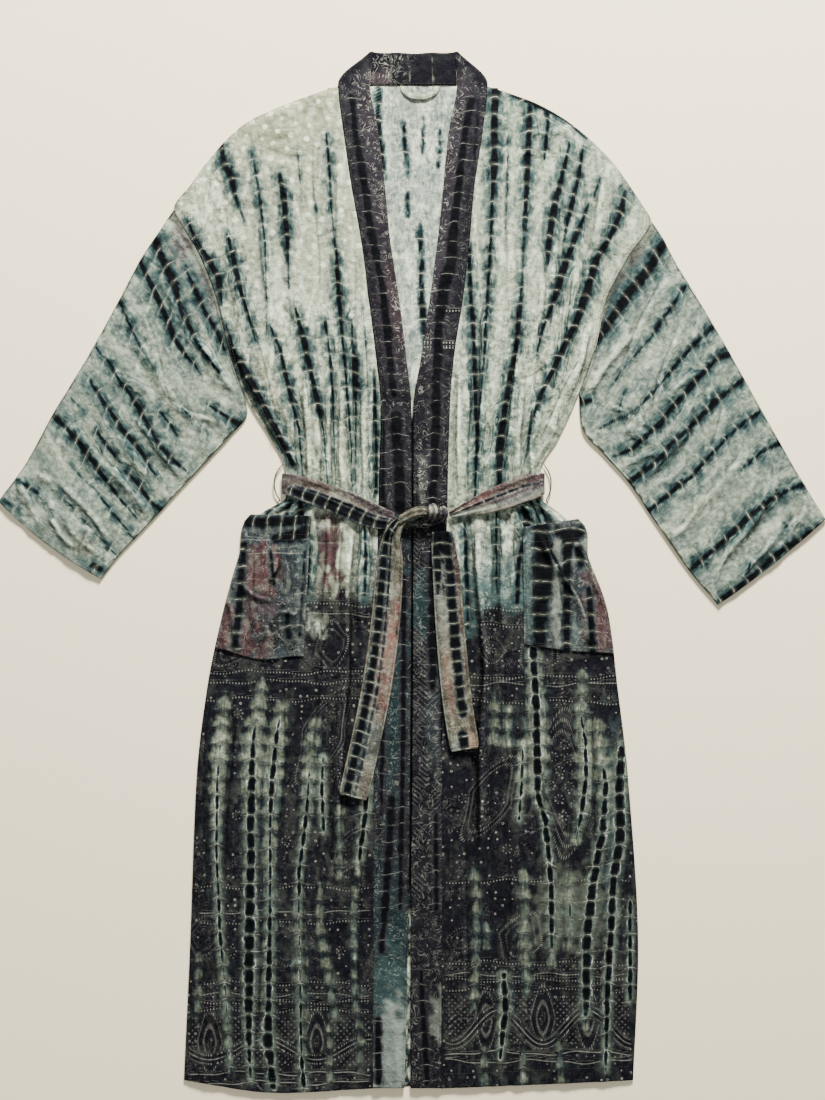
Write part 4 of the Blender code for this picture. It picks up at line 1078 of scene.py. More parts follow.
def turn_under(points, scale):
    """Adds the turned edges of a sheet: its rim rolls down and in under itself."""
    padded = points
    for axis in (1, 0):
        for is_end in (False, True):
            rim = np.take(padded, -1 if is_end else 0, axis=axis)
            inner = np.take(padded, -3 if is_end else 2, axis=axis)
            outwards = (rim - inner)[:, :2]
            outwards = outwards / np.maximum(np.linalg.norm(outwards, axis=1), 1e-9)[:, None]
            rings = []
            for out, up in TURNED_EDGE:
                ring = rim.copy()
                ring[:, :2] += outwards * out
                ring[:, 2] += up * scale
                rings.append(ring)
            if not is_end:
                rings = rings[::-1]
            stacked = np.stack(rings, axis=axis)
            padded = np.concatenate([padded, stacked] if is_end else [stacked, padded], axis=axis)
    return padded


def single_cloth(name, top, cloth, scale=1.0):
    """One layer of cloth with its four edges turned under."""
    padded = turn_under(top, scale)
    points = padded.reshape(-1, 3)
    faces = face_up(points, grid_faces(*padded.shape[:2]))
    return add_piece(name, points, faces, cloth_material(cloth)), padded


def doubled_cloth(name, top, cloth):
    """A closed strip of doubled cloth under a top surface given as rows of points."""
    columns = top.shape[1]
    left = top[:, 0] - top[:, 1]
    right = top[:, -1] - top[:, -2]
    left = left / np.linalg.norm(left, axis=1)[:, None]
    right = right / np.linalg.norm(right, axis=1)[:, None]
    picks = np.unique(np.linspace(columns - 1, 0, max(4, columns // 4)).astype(int))[::-1]
    ring = [top]
    for out, share in ((0.28, 0.2), (0.36, 0.5), (0.28, 0.8)):
        point = top[:, -1] + right * out * DOUBLED_CLOTH
        point[:, 2] -= share * DOUBLED_CLOTH
        ring.append(point[:, None])
    under = top[:, picks].copy()
    under[:, :, 2] -= DOUBLED_CLOTH
    ring.append(under)
    for out, share in ((0.28, 0.8), (0.36, 0.5), (0.28, 0.2)):
        point = top[:, 0] + left * out * DOUBLED_CLOTH
        point[:, 2] -= share * DOUBLED_CLOTH
        ring.append(point[:, None])
    ring = np.concatenate(ring, axis=1)
    around = ring.shape[1]
    middle_height = ring[:, :, 2].mean(axis=1)
    caps = []
    for row, step in ((0, ring[0] - ring[1]), (-1, ring[-1] - ring[-2])):
        step = step / np.linalg.norm(step, axis=1)[:, None]
        cap = ring[row] + step * 0.3 * DOUBLED_CLOTH
        cap[:, 2] = mix(cap[:, 2], middle_height[row], 0.5)
        caps.append(cap[None])
    body = np.concatenate([caps[0], ring, caps[1]])
    points = body.reshape(-1, 3)
    return add_piece(name, points, tube_faces(points, len(body), around), cloth_material(cloth)), body


class Lying:
    """Finds how high the pieces already laid stand, so that the next piece rests on them."""

    def __init__(self, names):
        bpy.context.view_layer.update()
        graph = bpy.context.evaluated_depsgraph_get()
        self.trees = [BVHTree.FromObject(bpy.data.objects[name], graph) for name in names]

    def top(self, x, y, reach):
        """The highest point under a small disc, or None where nothing lies there."""
        found = []
        for ring in (0.0, 0.5, 1.0):
            for turn in range(6 if ring else 1):
                angle = turn * math.pi / 3
                start = Vector((x + ring * reach * math.cos(angle), y + ring * reach * math.sin(angle), 1.0))
                for tree in self.trees:
                    hit = tree.ray_cast(start, Vector((0, 0, -1)))[0]
                    if hit:
                        found.append(hit.z)
        return max(found) if found else None

    def tops(self, x, y, reach, default):
        """The same over arrays of places, with a default where nothing lies."""
        found = np.empty(x.shape)
        for index in np.ndindex(x.shape):
            height = self.top(float(x[index]), float(y[index]), reach)
            found[index] = default[index] if height is None else height
        return found


def soften(heights, times):
    """Evens out a grid of heights with its neighbours."""
    for _ in range(times):
        padded = np.pad(heights, 1, mode="edge")
        around = padded[:-2, 1:-1] + padded[2:, 1:-1] + padded[1:-1, :-2] + padded[1:-1, 2:]
        heights = 0.5 * heights + 0.125 * around
    return heights


# Dye


def linear(colour):
    """A colour of 0 to 255 as the linear values that Blender works in."""
    values = np.array(colour, float) / 255
    return np.where(values <= 0.04045, values / 12.92, ((values + 0.055) / 1.055) ** 2.4)


# Distance from one line of ties to the next, how far a streak reaches, and a distance beyond all
NET_PITCH = 20.0
STREAK_REACH = 34.0
FAR = 1e9


class Dye:
    """The dye of one piece, with the painted shade of its creases, worked out at each of its points in
    millimetres.
    """

    def __init__(self, across, down, seed):
        self.x = across
        self.down = down
        self.random = np.random.default_rng(seed)
        count = len(across)
        self.ground = np.zeros((count, 3))
        self.mottle = np.ones(count)
        self.ink = np.zeros(count)
        self.pale = np.zeros(count)
        self.net = np.zeros(count)
        self.phase = down / NET_PITCH
        self.contour = np.full(count, 0.5)
        self.run = np.zeros(count)
        self.figure = np.zeros(count)
        self.dotted = np.zeros(count)
        self.dots = np.zeros(count)
        self.scatter = np.zeros(count)
        self.scribble = np.zeros(count)
        # Painted shade in the troughs of the creases and painted highlight on their ridges, 0.5 where there is
        # neither
        self.hollow = np.full(count, 0.5)

    def fill(self, colour):
        """One ground colour all over."""
        self.ground[:] = np.array(colour_of(colour))

    def grade(self, rows, wobble):
        """Ground colours that change down the cloth, from a table of places and colours."""
        at = [row[0] for row in rows]
        for channel in range(3):
            values = [colour_of(colour)[channel] for _, colour in rows]
            self.ground[:, channel] = np.interp(self.down + wobble, at, values)

    def cover(self, colour, share):
        """Lays a colour over the ground, by its share at each point."""
        self.ground = mix(self.ground, np.array(colour_of(colour))[None], share[:, None])

    def patches(self, table, **settings):
        for row in table:
            self.patch(*row, **settings)

    def patch(self, across, down, radius_across, radius_down, colour, strength, ragged=0.35):
        """A soft patch of another ground colour with an uneven rim."""
        distance = np.hypot((self.x - across) / radius_across, (self.down - down) / radius_down)
        distance = distance + ragged * ripple(self.x, self.down, int(abs(across) + down), 16, 26, 14)
        self.cover(colour, strength * (1 - ramp(distance, 0.65, 1.15)))

    def nearest(self, rows):
        """How far each point is from a line of rows, with the rows' other values there."""
        table = np.array(rows, float)
        best = np.full(len(self.x), FAR)
        values = np.zeros((len(self.x), table.shape[1] - 2))
        low = table[:, :2].min(axis=0) - STREAK_REACH
        high = table[:, :2].max(axis=0) + STREAK_REACH
        near = (self.x > low[0]) & (self.x < high[0]) & (self.down > low[1]) & (self.down < high[1])
        x = self.x[near]
        down = self.down[near]
        away = np.full(len(x), FAR)
        found = np.zeros((len(x), table.shape[1] - 2))
        for start, end in zip(table, table[1:]):
            run = end[:2] - start[:2]
            t = np.clip(((x - start[0]) * run[0] + (down - start[1]) * run[1]) / (run @ run), 0, 1)
            distance = np.hypot(x - start[0] - t * run[0], down - start[1] - t * run[1])
            closer = distance < away
            away[closer] = distance[closer]
            found[closer] = (start[2:] + t[:, None] * (end[2:] - start[2:]))[closer]
        best[near] = away
        values[near] = found
        return best, values

    def streak(self, rows, feather=5.0, bow=3.0, net=1.0, wide=0.86, span=7.0):
        """One streak of dark dye with its feathered rim, its cross lines and, on the skirt, a pale column."""
        away, values = self.nearest(rows)
        half = np.maximum(wide * values[:, 0], 0.3)
        ink = values[:, 1]
        inside = 1 - 0.5 * (away / half) ** 2
        outside = 0.5 * np.exp(-np.maximum(away - half, 0) / (feather + 0.25 * half))
        field = ink * np.where(away < half, inside, outside)
        self.ink = np.maximum(self.ink, field)
        strength = np.minimum(1, ink + 0.15) * np.exp(-((np.maximum(away - half, 0) / span) ** 2))
        self.net = np.maximum(self.net, net * strength * (away < FAR))
        shift = self.random.uniform(-0.22, 0.22)
        lift = np.exp(-((away / (1.2 * half + 4)) ** 2))
        self.phase = self.phase + lift * bow / NET_PITCH + shift * np.exp(-((away / 14.0) ** 2))
        if values.shape[1] > 2:
            lobes = bump((self.down - 835) / 110)
            reach = np.maximum((0.95 + 0.35 * lobes) * values[:, 2], 0.5)
            inside = 1 - 0.5 * (away / reach) ** 2
            outside = 0.5 * np.exp(-np.maximum(away - reach, 0) / 5.5)
            bright = self.random.uniform(0.48, 0.66) + 0.30 * lobes
            self.pale = np.maximum(self.pale, bright * np.where(away < reach, inside, outside) * (away < FAR))

    def streaks(self, table, **settings):
        for rows in table:
            self.streak(rows, **settings)

    def lay_figure(self, contour, run, mask, dotted):
        """Puts one printed figure where its mask is stronger than what is there."""
        stronger = mask > self.figure
        self.contour[stronger] = contour[stronger]
        self.run[stronger] = run[stronger]
        self.dotted[stronger] = dotted if np.isscalar(dotted) else dotted[stronger]
        self.figure[stronger] = mask[stronger]

    def line_row(self, down, start, end, wave=2.0, dotted=1.0, pitch=3.7, strength=1.0):
        """A line across the cloth, solid or dotted, that waves a little."""
        level = self.down - down - wave * np.sin(self.x / 17.0 + down)
        level = level - 0.5 * wave * np.sin(self.x / 7.3 + 2 * down)
        span = ramp(self.x, start - 3, start + 3) * (1 - ramp(self.x, end - 3, end + 3))
        mask = strength * (1 - ramp(np.abs(level), 2.5, 3.6)) * span
        self.lay_figure(level / 5.2, self.x / pitch, mask, dotted)

    def leaf(self, across, down, half_width, half_height, rings, lean, hook, dotted, strength, core):
        """A pointed leaf, or with a hook a paisley, drawn as nested outlines round an open core."""
        u = (self.x - across) * math.cos(lean) + (self.down - down) * math.sin(lean)
        v = (self.down - down) * math.cos(lean) - (self.x - across) * math.sin(lean)
        u = (u - hook * (v / half_height) ** 2 * np.sign(-v) * half_width) / half_width
        v = v / half_height
        radius = np.sqrt(u * u * (1 + 1.2 * np.abs(v)) + v * v)
        mask = strength * (1 - ramp(radius, 1.04, 1.10)) * ramp(radius, core, core + 0.08)
        around = np.arctan2(v * half_height, u * half_width)
        self.lay_figure(radius * rings, around * half_height / 3.2, mask, dotted)

    def flower(self, across, down, radius, petals=7, strength=0.12):
        """A small ring of dots."""
        u, v = self.x - across, self.down - down
        distance = np.hypot(u, v)
        mask = strength * (1 - ramp(distance, radius + 1.4, radius + 2.2))
        mask = mask * ramp(distance, 0.4 * radius, 0.6 * radius)
        self.lay_figure((distance - radius) / 5.0, np.arctan2(v, u) / math.tau * petals, mask, 1.0)

    def dot_field(self, top, low, start, end, pitch=5.2, strength=0.08):
        """A field of small dots in tilted rows."""
        mask = strength * ramp(self.down, top, top + 4) * (1 - ramp(self.down, low - 4, low))
        mask = mask * ramp(self.x, start, start + 4) * (1 - ramp(self.x, end - 4, end))
        self.lay_figure((self.down + self.x) / pitch / 1.4, (self.down - self.x) / pitch / 1.4, mask, 1.0)

    def feathers(self, top, low, pitch=6.5, strength=0.10):
        """Slanting broken lines."""
        mask = strength * ramp(self.down, top, top + 20) * (1 - ramp(self.down, low - 20, low))
        mask = mask * ramp(ripple(self.x, self.down, 7, 26, 60, 14), -0.3, 0.5)
        bend = 0.9 * np.abs(self.x - 18) + 3 * np.sin(self.down / 23)
        self.lay_figure((self.down + bend) / pitch, self.x / 3.0, mask, 0.35)

    def scallops(self, down, depth, centre, period, start, end):
        """A waving border of one solid line between two dotted ones."""
        wave = down + depth * np.cos(math.tau * (self.x - centre) / period)
        slope = depth * math.tau / period * np.sin(math.tau * (self.x - centre) / period)
        level = (self.down - wave) / np.sqrt(1 + slope**2)
        span = ramp(self.x, start - 2, start + 2) * (1 - ramp(self.x, end - 2, end + 2))
        mask = 0.18 * (1 - ramp(np.abs(level), 6.5, 7.5)) * span
        run = self.x / 3.2 * np.sqrt(1 + slope**2)
        self.lay_figure(level / 5.0, run, mask, np.clip(np.abs(level) / 3, 0, 1))

    def fade(self, names, share):
        """Weakens some of the fields by a share at each point."""
        for name in names:
            setattr(self, name, getattr(self, name) * (1 - share))

    def write(self, mesh):
        """Stores the fields as attributes that the cloth's material reads."""
        layers = {
            "ground": (self.ground, self.mottle),
            "dye": (np.stack([self.ink, self.phase, self.net], axis=1), self.pale),
            "figure": (np.stack([self.contour, self.run, self.figure], axis=1), self.dotted),
            # Dots, specks and scribbles of the dye, and last the painted crease shade
            "marks": (np.stack([self.dots, self.scatter, self.scribble], axis=1), self.hollow),
        }
        for name, (colour, last) in layers.items():
            layer = mesh.attributes.new(name, "FLOAT_COLOR", "POINT")
            values = np.concatenate([colour, np.asarray(last)[:, None]], axis=1)
            layer.data.foreach_set("color", values.astype(np.float32).ravel())


def lay_grain(mesh, u, v):
    """A UV map in metres that runs with the threads of the cloth."""
    layer = mesh.uv_layers.new(name="grain")
    corners = np.empty(len(mesh.loops), np.int32)
    mesh.loops.foreach_get("vertex_index", corners)
    values = np.stack([u[corners], v[corners]], axis=1)
    layer.data.foreach_set("uv", values.astype(np.float32).ravel())


def painted_shade_from_heights(heights, blur):
    """Painted shade and highlight from a grid of heights: 0.5 where a point is level with its surroundings,
    less below them, more above.
    """
    broad = (heights - soften(heights, blur)) / 0.0030
    sharp = (heights - soften(heights, 3)) / 0.0014
    return np.clip(0.5 + broad + sharp, 0.0, 1.0)


# Ground colours from the shoulders to the hem
GROUNDS = {
    "right": (
        # down, colour
        (40, "sage"),
        (300, "cream"),
        (430, "sage"),
        (520, "cool_sage"),
        (566, "cream"),
        (596, "grey"),
        (626, "dusk"),
        (650, "charcoal"),
        (1230, "charcoal"),
    ),
    "left": (
        (40, "cool_sage"),
        (300, "cream"),
        (430, "cool_sage"),
        (530, "cool_sage"),
        (566, "cream"),
        (600, "grey"),
        (636, "deep_teal"),
        (668, "charcoal"),
        (1230, "charcoal"),
    ),
}

# Lines printed across the skirt: dotted at 1, solid at 0
ROWS = {
    "right": (
        # down, from across, to across, dotted
        (638, -130, -50, 1),
        (652, -130, -50, 1),
        (664, -130, -50, 0.4),
        (732, -250, -50, 1),
        (743, -250, -50, 1),
        (764, -250, -50, 1),
        (986, -250, -50, 1),
        (1014, -250, -50, 0.3),
        (1026, -250, -50, 1),
        (1098, -255, -50, 1),
        (1111, -255, -50, 0.5),
        (1120, -255, -50, 1),
        (1130, -255, -50, 1),
        (1204, -262, -50, 0),
        (1215, -262, -50, 0),
    ),
    "left": (
        (659, 40, 130, 1),
        (678, 40, 130, 1),
        (737, 40, 245, 1),
        (746, 40, 245, 0.5),
        (767, 40, 245, 1),
        (978, 40, 255, 1),
        (1074, 40, 260, 1),
        (1088, 40, 260, 0.4),
        (1095, 40, 260, 1),
        (1106, 40, 260, 1),
        (1180, 40, 258, 0),
        (1190, 40, 258, 0),
    ),
}

# Leaves printed on the skirt
LEAVES = {
    "right": (
        # across, down, half width, half height, rings, lean, hook
        (-238, 1167, 15, 38, 2, 0, 0),
        (-112, 1167, 15, 38, 2, 0, 0),
        (-104, 806, 26, 62, 6, 0.2, 0.7),
        (-94, 700, 22, 26, 3, -0.5, 0.6),
        (-210, 700, 20, 30, 3, 0.4, 0.5),
        (-244, 1042, 22, 24, 3, 0, 0.2),
        (-150, 1054, 22, 24, 3, 0, -0.2),
        (-72, 940, 18, 34, 3, 0.3, 0.6),
    ),
    "left": (
        (154, 1139, 15, 38, 2, 0, 0),
        (207, 1139, 15, 38, 2, 0, 0),
        (87, 1142, 14, 36, 2, 0, 0),
        (58, 1047, 18, 15, 3, 0, 0.2),
        (180, 862, 36, 84, 7, -0.3, 0.7),
        (128, 1045, 26, 32, 3, 0.2, 0.3),
        (92, 880, 26, 56, 5, 0.3, 0.6),
        (150, 710, 24, 22, 3, 0.4, 0.4),
        (94, 706, 16, 16, 2, 0, 0),
    ),
}

# Small flowers printed on the skirt, each a ring of dots
FLOWERS = {
    "right": (
        # across, down
        (-82, 756),
        (-96, 775),
        (-80, 792),
        (-92, 812),
        (-78, 830),
        (-90, 850),
        (-204, 780),
        (-206, 900),
        (-148, 930),
        (-60, 1010),
        (-212, 1060),
        (-84, 1060),
    ),
    "left": (
        (166, 831),
        (184, 833),
        (174, 848),
        (193, 850),
        (163, 865),
        (185, 866),
        (173, 881),
        (192, 888),
        (178, 901),
        (175, 918),
        (180, 817),
        (92, 704),
        (60, 880),
        (112, 940),
        (70, 920),
    ),
}

HEM_BORDER = {
    # down, depth of the waves, across one crest, width of a wave, from across, to across
    "right": (1176, 12, -238, 126, -262, -48),
    "left": (1150, 20, 154, 106, 38, 258),
}

# Upper faces of the pieces made so far, where the stitches run
GRIDS = {}


def tint(name, colour):
    """A colour that the user may change."""
    return bpy.props.FloatVectorProperty(
        name=name,
        description="Colour of the " + name.lower(),
        default=tuple(linear(colour)),
        min=0.0,
        max=1.0,
        size=3,
        subtype="COLOR",
    )


class RobeColours(bpy.types.PropertyGroup):
    sage: tint("Sage ground", (131, 133, 107))
    cool_sage: tint("Cool sage ground", (115, 127, 107))
    cream: tint("Cream ground", (146, 153, 130))
    dusk: tint("Band between light and dark ground", (74, 76, 68))
    pale: tint("Dots and clouds", (208, 218, 192))
    line: tint("Undyed thin lines", (214, 217, 200))
    teal: tint("Rim of the streaks", (60, 80, 78))
    deep_teal: tint("Deep teal ground", (26, 46, 48))
    ink: tint("Streaks", (8, 9, 12))
    charcoal: tint("Charcoal ground", (16, 16, 22))
    aubergine: tint("Neckband", (18, 18, 24))
    plum: tint("Inner side of the neckband", (39, 36, 41))
    mauve: tint("Mauve patches", (62, 53, 56))
    rose: tint("Rose patches", (62, 39, 42))
    salmon: tint("Salmon patches", (106, 78, 69))
    peach: tint("Peach patches", (160, 134, 112))
    grey: tint("Grey patches", (104, 111, 102))
    slate: tint("Slate ground of the pockets", (40, 47, 50))
    inside: tint("Inside of the back", (132, 142, 132))
    beige: tint("Beige patches", (100, 94, 82))
    olive: tint("Olive ground of the belt ends", (66, 63, 52))
    lobe: tint("Pale columns of the skirt", (96, 102, 87))
    thread: tint("Thread loops", (34, 40, 32))
    floor: tint("Floor", (250, 237, 204))


def length(name, description, default, low, high):
    """A small length that the user may change."""
    return bpy.props.FloatProperty(
        name=name,
        description=description,
        default=default,
        min=low,
        max=high,
        precision=5,
        unit="LENGTH",
    )


class RobeSizes(bpy.types.PropertyGroup):
    thread_width: length("Thread width", "Distance between neighbouring threads", 0.0004, 0.0002, 0.002)
    crumple: length("Crumple", "Height of the small uneven crumples of the cloth", 0.00075, 0.0, 0.0015)
    stitch_length: length("Stitch length", "Length of one stitch", 0.0024, 0.001, 0.006)
    stitch_pitch: length("Stitch pitch", "Distance from one stitch to the next", 0.0034, 0.0015, 0.010)


def colour_of(name):
    """The colour that the settings hold under a name."""
    return getattr(bpy.context.scene.robe_colours, name)


def sizes():
    return bpy.context.scene.robe_sizes


class Wiring:
    """Adds and joins the nodes of one shader tree."""

    def __init__(self, tree):
        self.tree = tree
        tree.nodes.clear()

    def put(self, socket, value):
        if isinstance(value, bpy.types.NodeSocket):
            self.tree.links.new(value, socket)
        elif socket.type == "RGBA" and len(value) == 3:
            socket.default_value = (*value, 1.0)
        else:
            socket.default_value = value

    def add(self, kind, inputs=None, **settings):
        node = self.tree.nodes.new(kind)
        for name, value in settings.items():
            setattr(node, name, value)
        for name, value in (inputs or {}).items():
            self.put(node.inputs[name], value)
        return node

    def math(self, operation, *values, clamp=False):
        node = self.add("ShaderNodeMath", operation=operation, use_clamp=clamp)
        for index, value in enumerate(values):
            self.put(node.inputs[index], value)
        return node.outputs[0]

    def smooth(self, value, low, high):
        inputs = {"Value": value, "From Min": low, "From Max": high}
        return self.add("ShaderNodeMapRange", inputs, interpolation_type="SMOOTHSTEP").outputs[0]

    def spot(self, value, full, none):
        """1 where the value is below full, fading to 0 at none."""
        inputs = {"Value": value, "From Min": full, "From Max": none, "To Min": 1.0, "To Max": 0.0}
        return self.add("ShaderNodeMapRange", inputs, interpolation_type="SMOOTHSTEP").outputs[0]

    def blend(self, share, under, over, kind="MIX"):
        node = self.add("ShaderNodeMix", data_type="RGBA", blend_type=kind)
        for index, value in ((0, share), (6, under), (7, over)):
            self.put(node.inputs[index], value)
        return node.outputs[2]

    def scaled(self, vector, scale):
        node = self.add("ShaderNodeVectorMath", operation="MULTIPLY")
        self.put(node.inputs[0], vector)
        self.put(node.inputs[1], scale)
        return node.outputs[0]

    def turned(self, vector, degrees):
        inputs = {"Vector": vector, "Angle": math.radians(degrees)}
        return self.add("ShaderNodeVectorRotate", inputs, rotation_type="Z_AXIS").outputs[0]

    def bump(self, strength, distance, height, **more):
        inputs = {"Strength": strength, "Distance": distance, "Height": height, **more}
        return self.add("ShaderNodeBump", inputs).outputs[0]

    def noise(self, vector, scale, detail=2.0, distortion=0.0):
        inputs = {"Vector": vector, "Scale": scale, "Detail": detail, "Distortion": distortion}
        return self.add("ShaderNodeTexNoise", inputs).outputs[0]

    def cells(self, vector, scale, randomness):
        inputs = {"Vector": vector, "Scale": scale, "Randomness": randomness}
        return self.add("ShaderNodeTexVoronoi", inputs).outputs["Distance"]

    def drawn_out(self, place, across, down, detail, distortion=0.0, up=1.0):
        """Noise whose grains have their own size each way."""
        return self.noise(self.scaled(place, (1 / across, 1 / down, up)), 1.0, detail, distortion)

    def times(self, one, other):
        return self.math("MULTIPLY", one, other)

    def fit(self, value, gain, base):
        return self.math("MULTIPLY_ADD", value, gain, base)

    def sway(self, value, gain, base):
        """Adds noise to a base, as far below it as above."""
        return self.fit(self.around(value), gain, base)

    def to_line(self, value):
        """How far a value is from the nearest whole number."""
        return self.math("PINGPONG", value, 0.5)

    def around(self, value, centre=0.5):
        return self.math("SUBTRACT", value, centre)

    def away(self, value, centre):
        return self.math("ABSOLUTE", self.around(value, centre))

    def squared(self, value, unit):
        return self.math("POWER", self.math("DIVIDE", value, unit), 2.0)

    def mixed(self, share, under, over):
        return self.add("ShaderNodeMix", {0: share, 2: under, 3: over}).outputs[0]

    def shaded(self, colour, value):
        """A colour made darker or lighter by a value."""
        grey = self.add("ShaderNodeCombineColor", {0: value, 1: value, 2: value}).outputs[0]
        return self.blend(1.0, colour, grey, "MULTIPLY")


def new_group(name, inputs, outputs):
    """An empty shader node group with named sockets."""
    old = bpy.data.node_groups.get(name)
    if old:
        bpy.data.node_groups.remove(old)
    group = bpy.data.node_groups.new(name, "ShaderNodeTree")
    for label, kind in inputs:
        group.interface.new_socket(label, in_out="INPUT", socket_type="NodeSocket" + kind)
    for label, kind in outputs:
        group.interface.new_socket(label, in_out="OUTPUT", socket_type="NodeSocket" + kind)
    wiring = Wiring(group)
    return group, wiring, wiring.add("NodeGroupInput").outputs, wiring.add("NodeGroupOutput").inputs


FIELDS = ("Ink", "Phase", "Net", "Pale", "Contour", "Run", "Figure", "Dotted", "Mottle")
FIELDS += ("Dots", "Scatter", "Scribble", "Hollow")


def tie_dye_group():
    """Draws the dye and the painted crease shade from the fields each piece carries in its points, sizes in
    millimetres.
    """
    inputs = [("Place", "Vector"), ("Ground", "Color")]
    inputs += [(name, "Color") for name in ("Rim", "Black", "Light", "Lobe", "Line")]
    inputs += [(name, "Float") for name in FIELDS]
    group, w, given, result = new_group("Tie dye", inputs, [("Color", "Color")])
    light, line, teal, mottle, net = (given[name] for name in ("Light", "Line", "Rim", "Mottle", "Net"))
    place = w.scaled(given["Place"], (1000.0, 1000.0, 1000.0))
    broad = w.noise(place, 1 / 48, 3.0)
    middle = w.noise(place, 1 / 8, 4.0, 0.3)
    fine = w.noise(place, 1 / 2.4, 2.0)
    comb = w.drawn_out(place, 1.5, 10, 3.0)
    teal_cloud = w.drawn_out(place, 13, 24, 5.0, 0.5)
    pale_cloud = w.drawn_out(place, 17, 30, 5.0, 0.4, up=0.3)

    # Clouds of the ground
    clouded = w.times(w.smooth(teal_cloud, 0.47, 0.70), w.times(mottle, 0.62))
    colour = w.blend(clouded, given["Ground"], teal)
    clouded = w.times(w.smooth(pale_cloud, 0.50, 0.66), w.times(mottle, 0.78))
    colour = w.blend(clouded, colour, light)
    flecked = w.drawn_out(place, 3.4, 8.5, 4.0, 0.5)
    fleck = w.times(w.smooth(flecked, 0.50, 0.66), w.times(mottle, 0.30))
    colour = w.blend(fleck, colour, light)
    fleck = w.times(w.spot(flecked, 0.34, 0.48), w.times(mottle, 0.50))
    colour = w.blend(fleck, colour, teal)
    unrest = w.fit(mottle, 0.55, 0.40)
    shade = w.fit(w.times(w.around(middle), unrest), 0.50, 1.0)
    streaky = w.fit(w.times(w.around(comb), unrest), 0.75, 1.0)
    shade = w.times(w.times(shade, streaky), w.sway(broad, 0.40, 1.0))
    colour = w.shaded(colour, shade)

    # Round dots in tilted rows, and small specks
    dot = w.cells(w.scaled(w.turned(place, 18), (1.0, 1.0, 0.0)), 1 / 16.4, 0.20)
    dot = w.spot(w.sway(middle, 0.12, dot), 0.18, 0.24)
    colour = w.blend(w.times(w.times(dot, given["Dots"]), 0.66), colour, light)
    speck = w.cells(w.scaled(place, (1.0, 1.0, 0.0)), 1 / 8.8, 0.42)
    speck = w.sway(fine, 0.16, speck)
    speck = w.times(w.spot(w.away(speck, 0.12), 0.01, 0.07), w.smooth(middle, 0.28, 0.46))
    colour = w.blend(w.times(speck, given["Scatter"]), colour, line)

    # Scrawled and printed lines
    squiggle = w.to_line(w.times(w.noise(place, 1 / 13, 1.0, 1.2), 7.0))
    squiggle = w.times(w.spot(squiggle, 0.05, 0.15), w.smooth(middle, 0.42, 0.58))
    colour = w.blend(w.times(squiggle, given["Scribble"]), colour, line)
    crossing = w.to_line(given["Contour"])
    stepping = w.to_line(given["Run"])
    reach = w.math("ADD", w.squared(crossing, 0.20), w.squared(stepping, 0.21))
    drawn = w.mixed(given["Dotted"], w.spot(crossing, 0.08, 0.15), w.spot(reach, 0.7, 1.3))
    drawn = w.times(w.times(drawn, given["Figure"]), w.smooth(fine, 0.22, 0.44))
    colour = w.blend(drawn, colour, line)

    # Pale columns: soft lobes in rows between the ties
    bent = w.sway(middle, 0.22, given["Phase"])
    crossline = w.to_line(bent)
    pinch = w.spot(crossline, 0.0, 0.26)
    column = w.smooth(given["Pale"], 0.04, 0.35)
    cell = w.math("FRACT", w.sway(comb, 0.30, bent))
    row = w.times(w.smooth(cell, -0.10, 0.62), w.spot(cell, 0.82, 0.99))
    finger = w.drawn_out(place, 3.1, 14, 3.0, 0.3)
    blotch = w.smooth(w.drawn_out(place, 9, 11, 4.0, 0.4), 0.32, 0.64)
    pale = w.sway(middle, 0.50, given["Pale"])
    pale = w.sway(finger, 1.15, pale)
    pale = w.sway(row, 0.56, pale)
    lobed = w.times(w.smooth(pale, 0.16, 0.92), w.fit(blotch, 0.60, 0.42))
    lobed = w.times(lobed, w.smooth(given["Pale"], 0.02, 0.44))
    rim = w.blend(w.times(column, 0.55), teal, given["Lobe"])
    tinted = w.blend(w.smooth(pale, 0.30, 0.80), teal, given["Lobe"])
    tinted = w.blend(w.times(w.smooth(broad, 0.46, 0.62), 0.5), tinted, teal)
    tinted = w.blend(w.times(w.smooth(pale, 0.85, 1.50), 0.62), tinted, light)
    colour = w.blend(lobed, colour, tinted)

    # Rags of undyed cloth near the ties
    rag = w.smooth(w.noise(place, 1 / 7.5, 3.0, 0.8), 0.555, 0.60)
    rag = w.times(rag, w.times(w.smooth(net, 0.08, 0.45), mottle))
    colour = w.blend(w.times(rag, 0.62), colour, light)

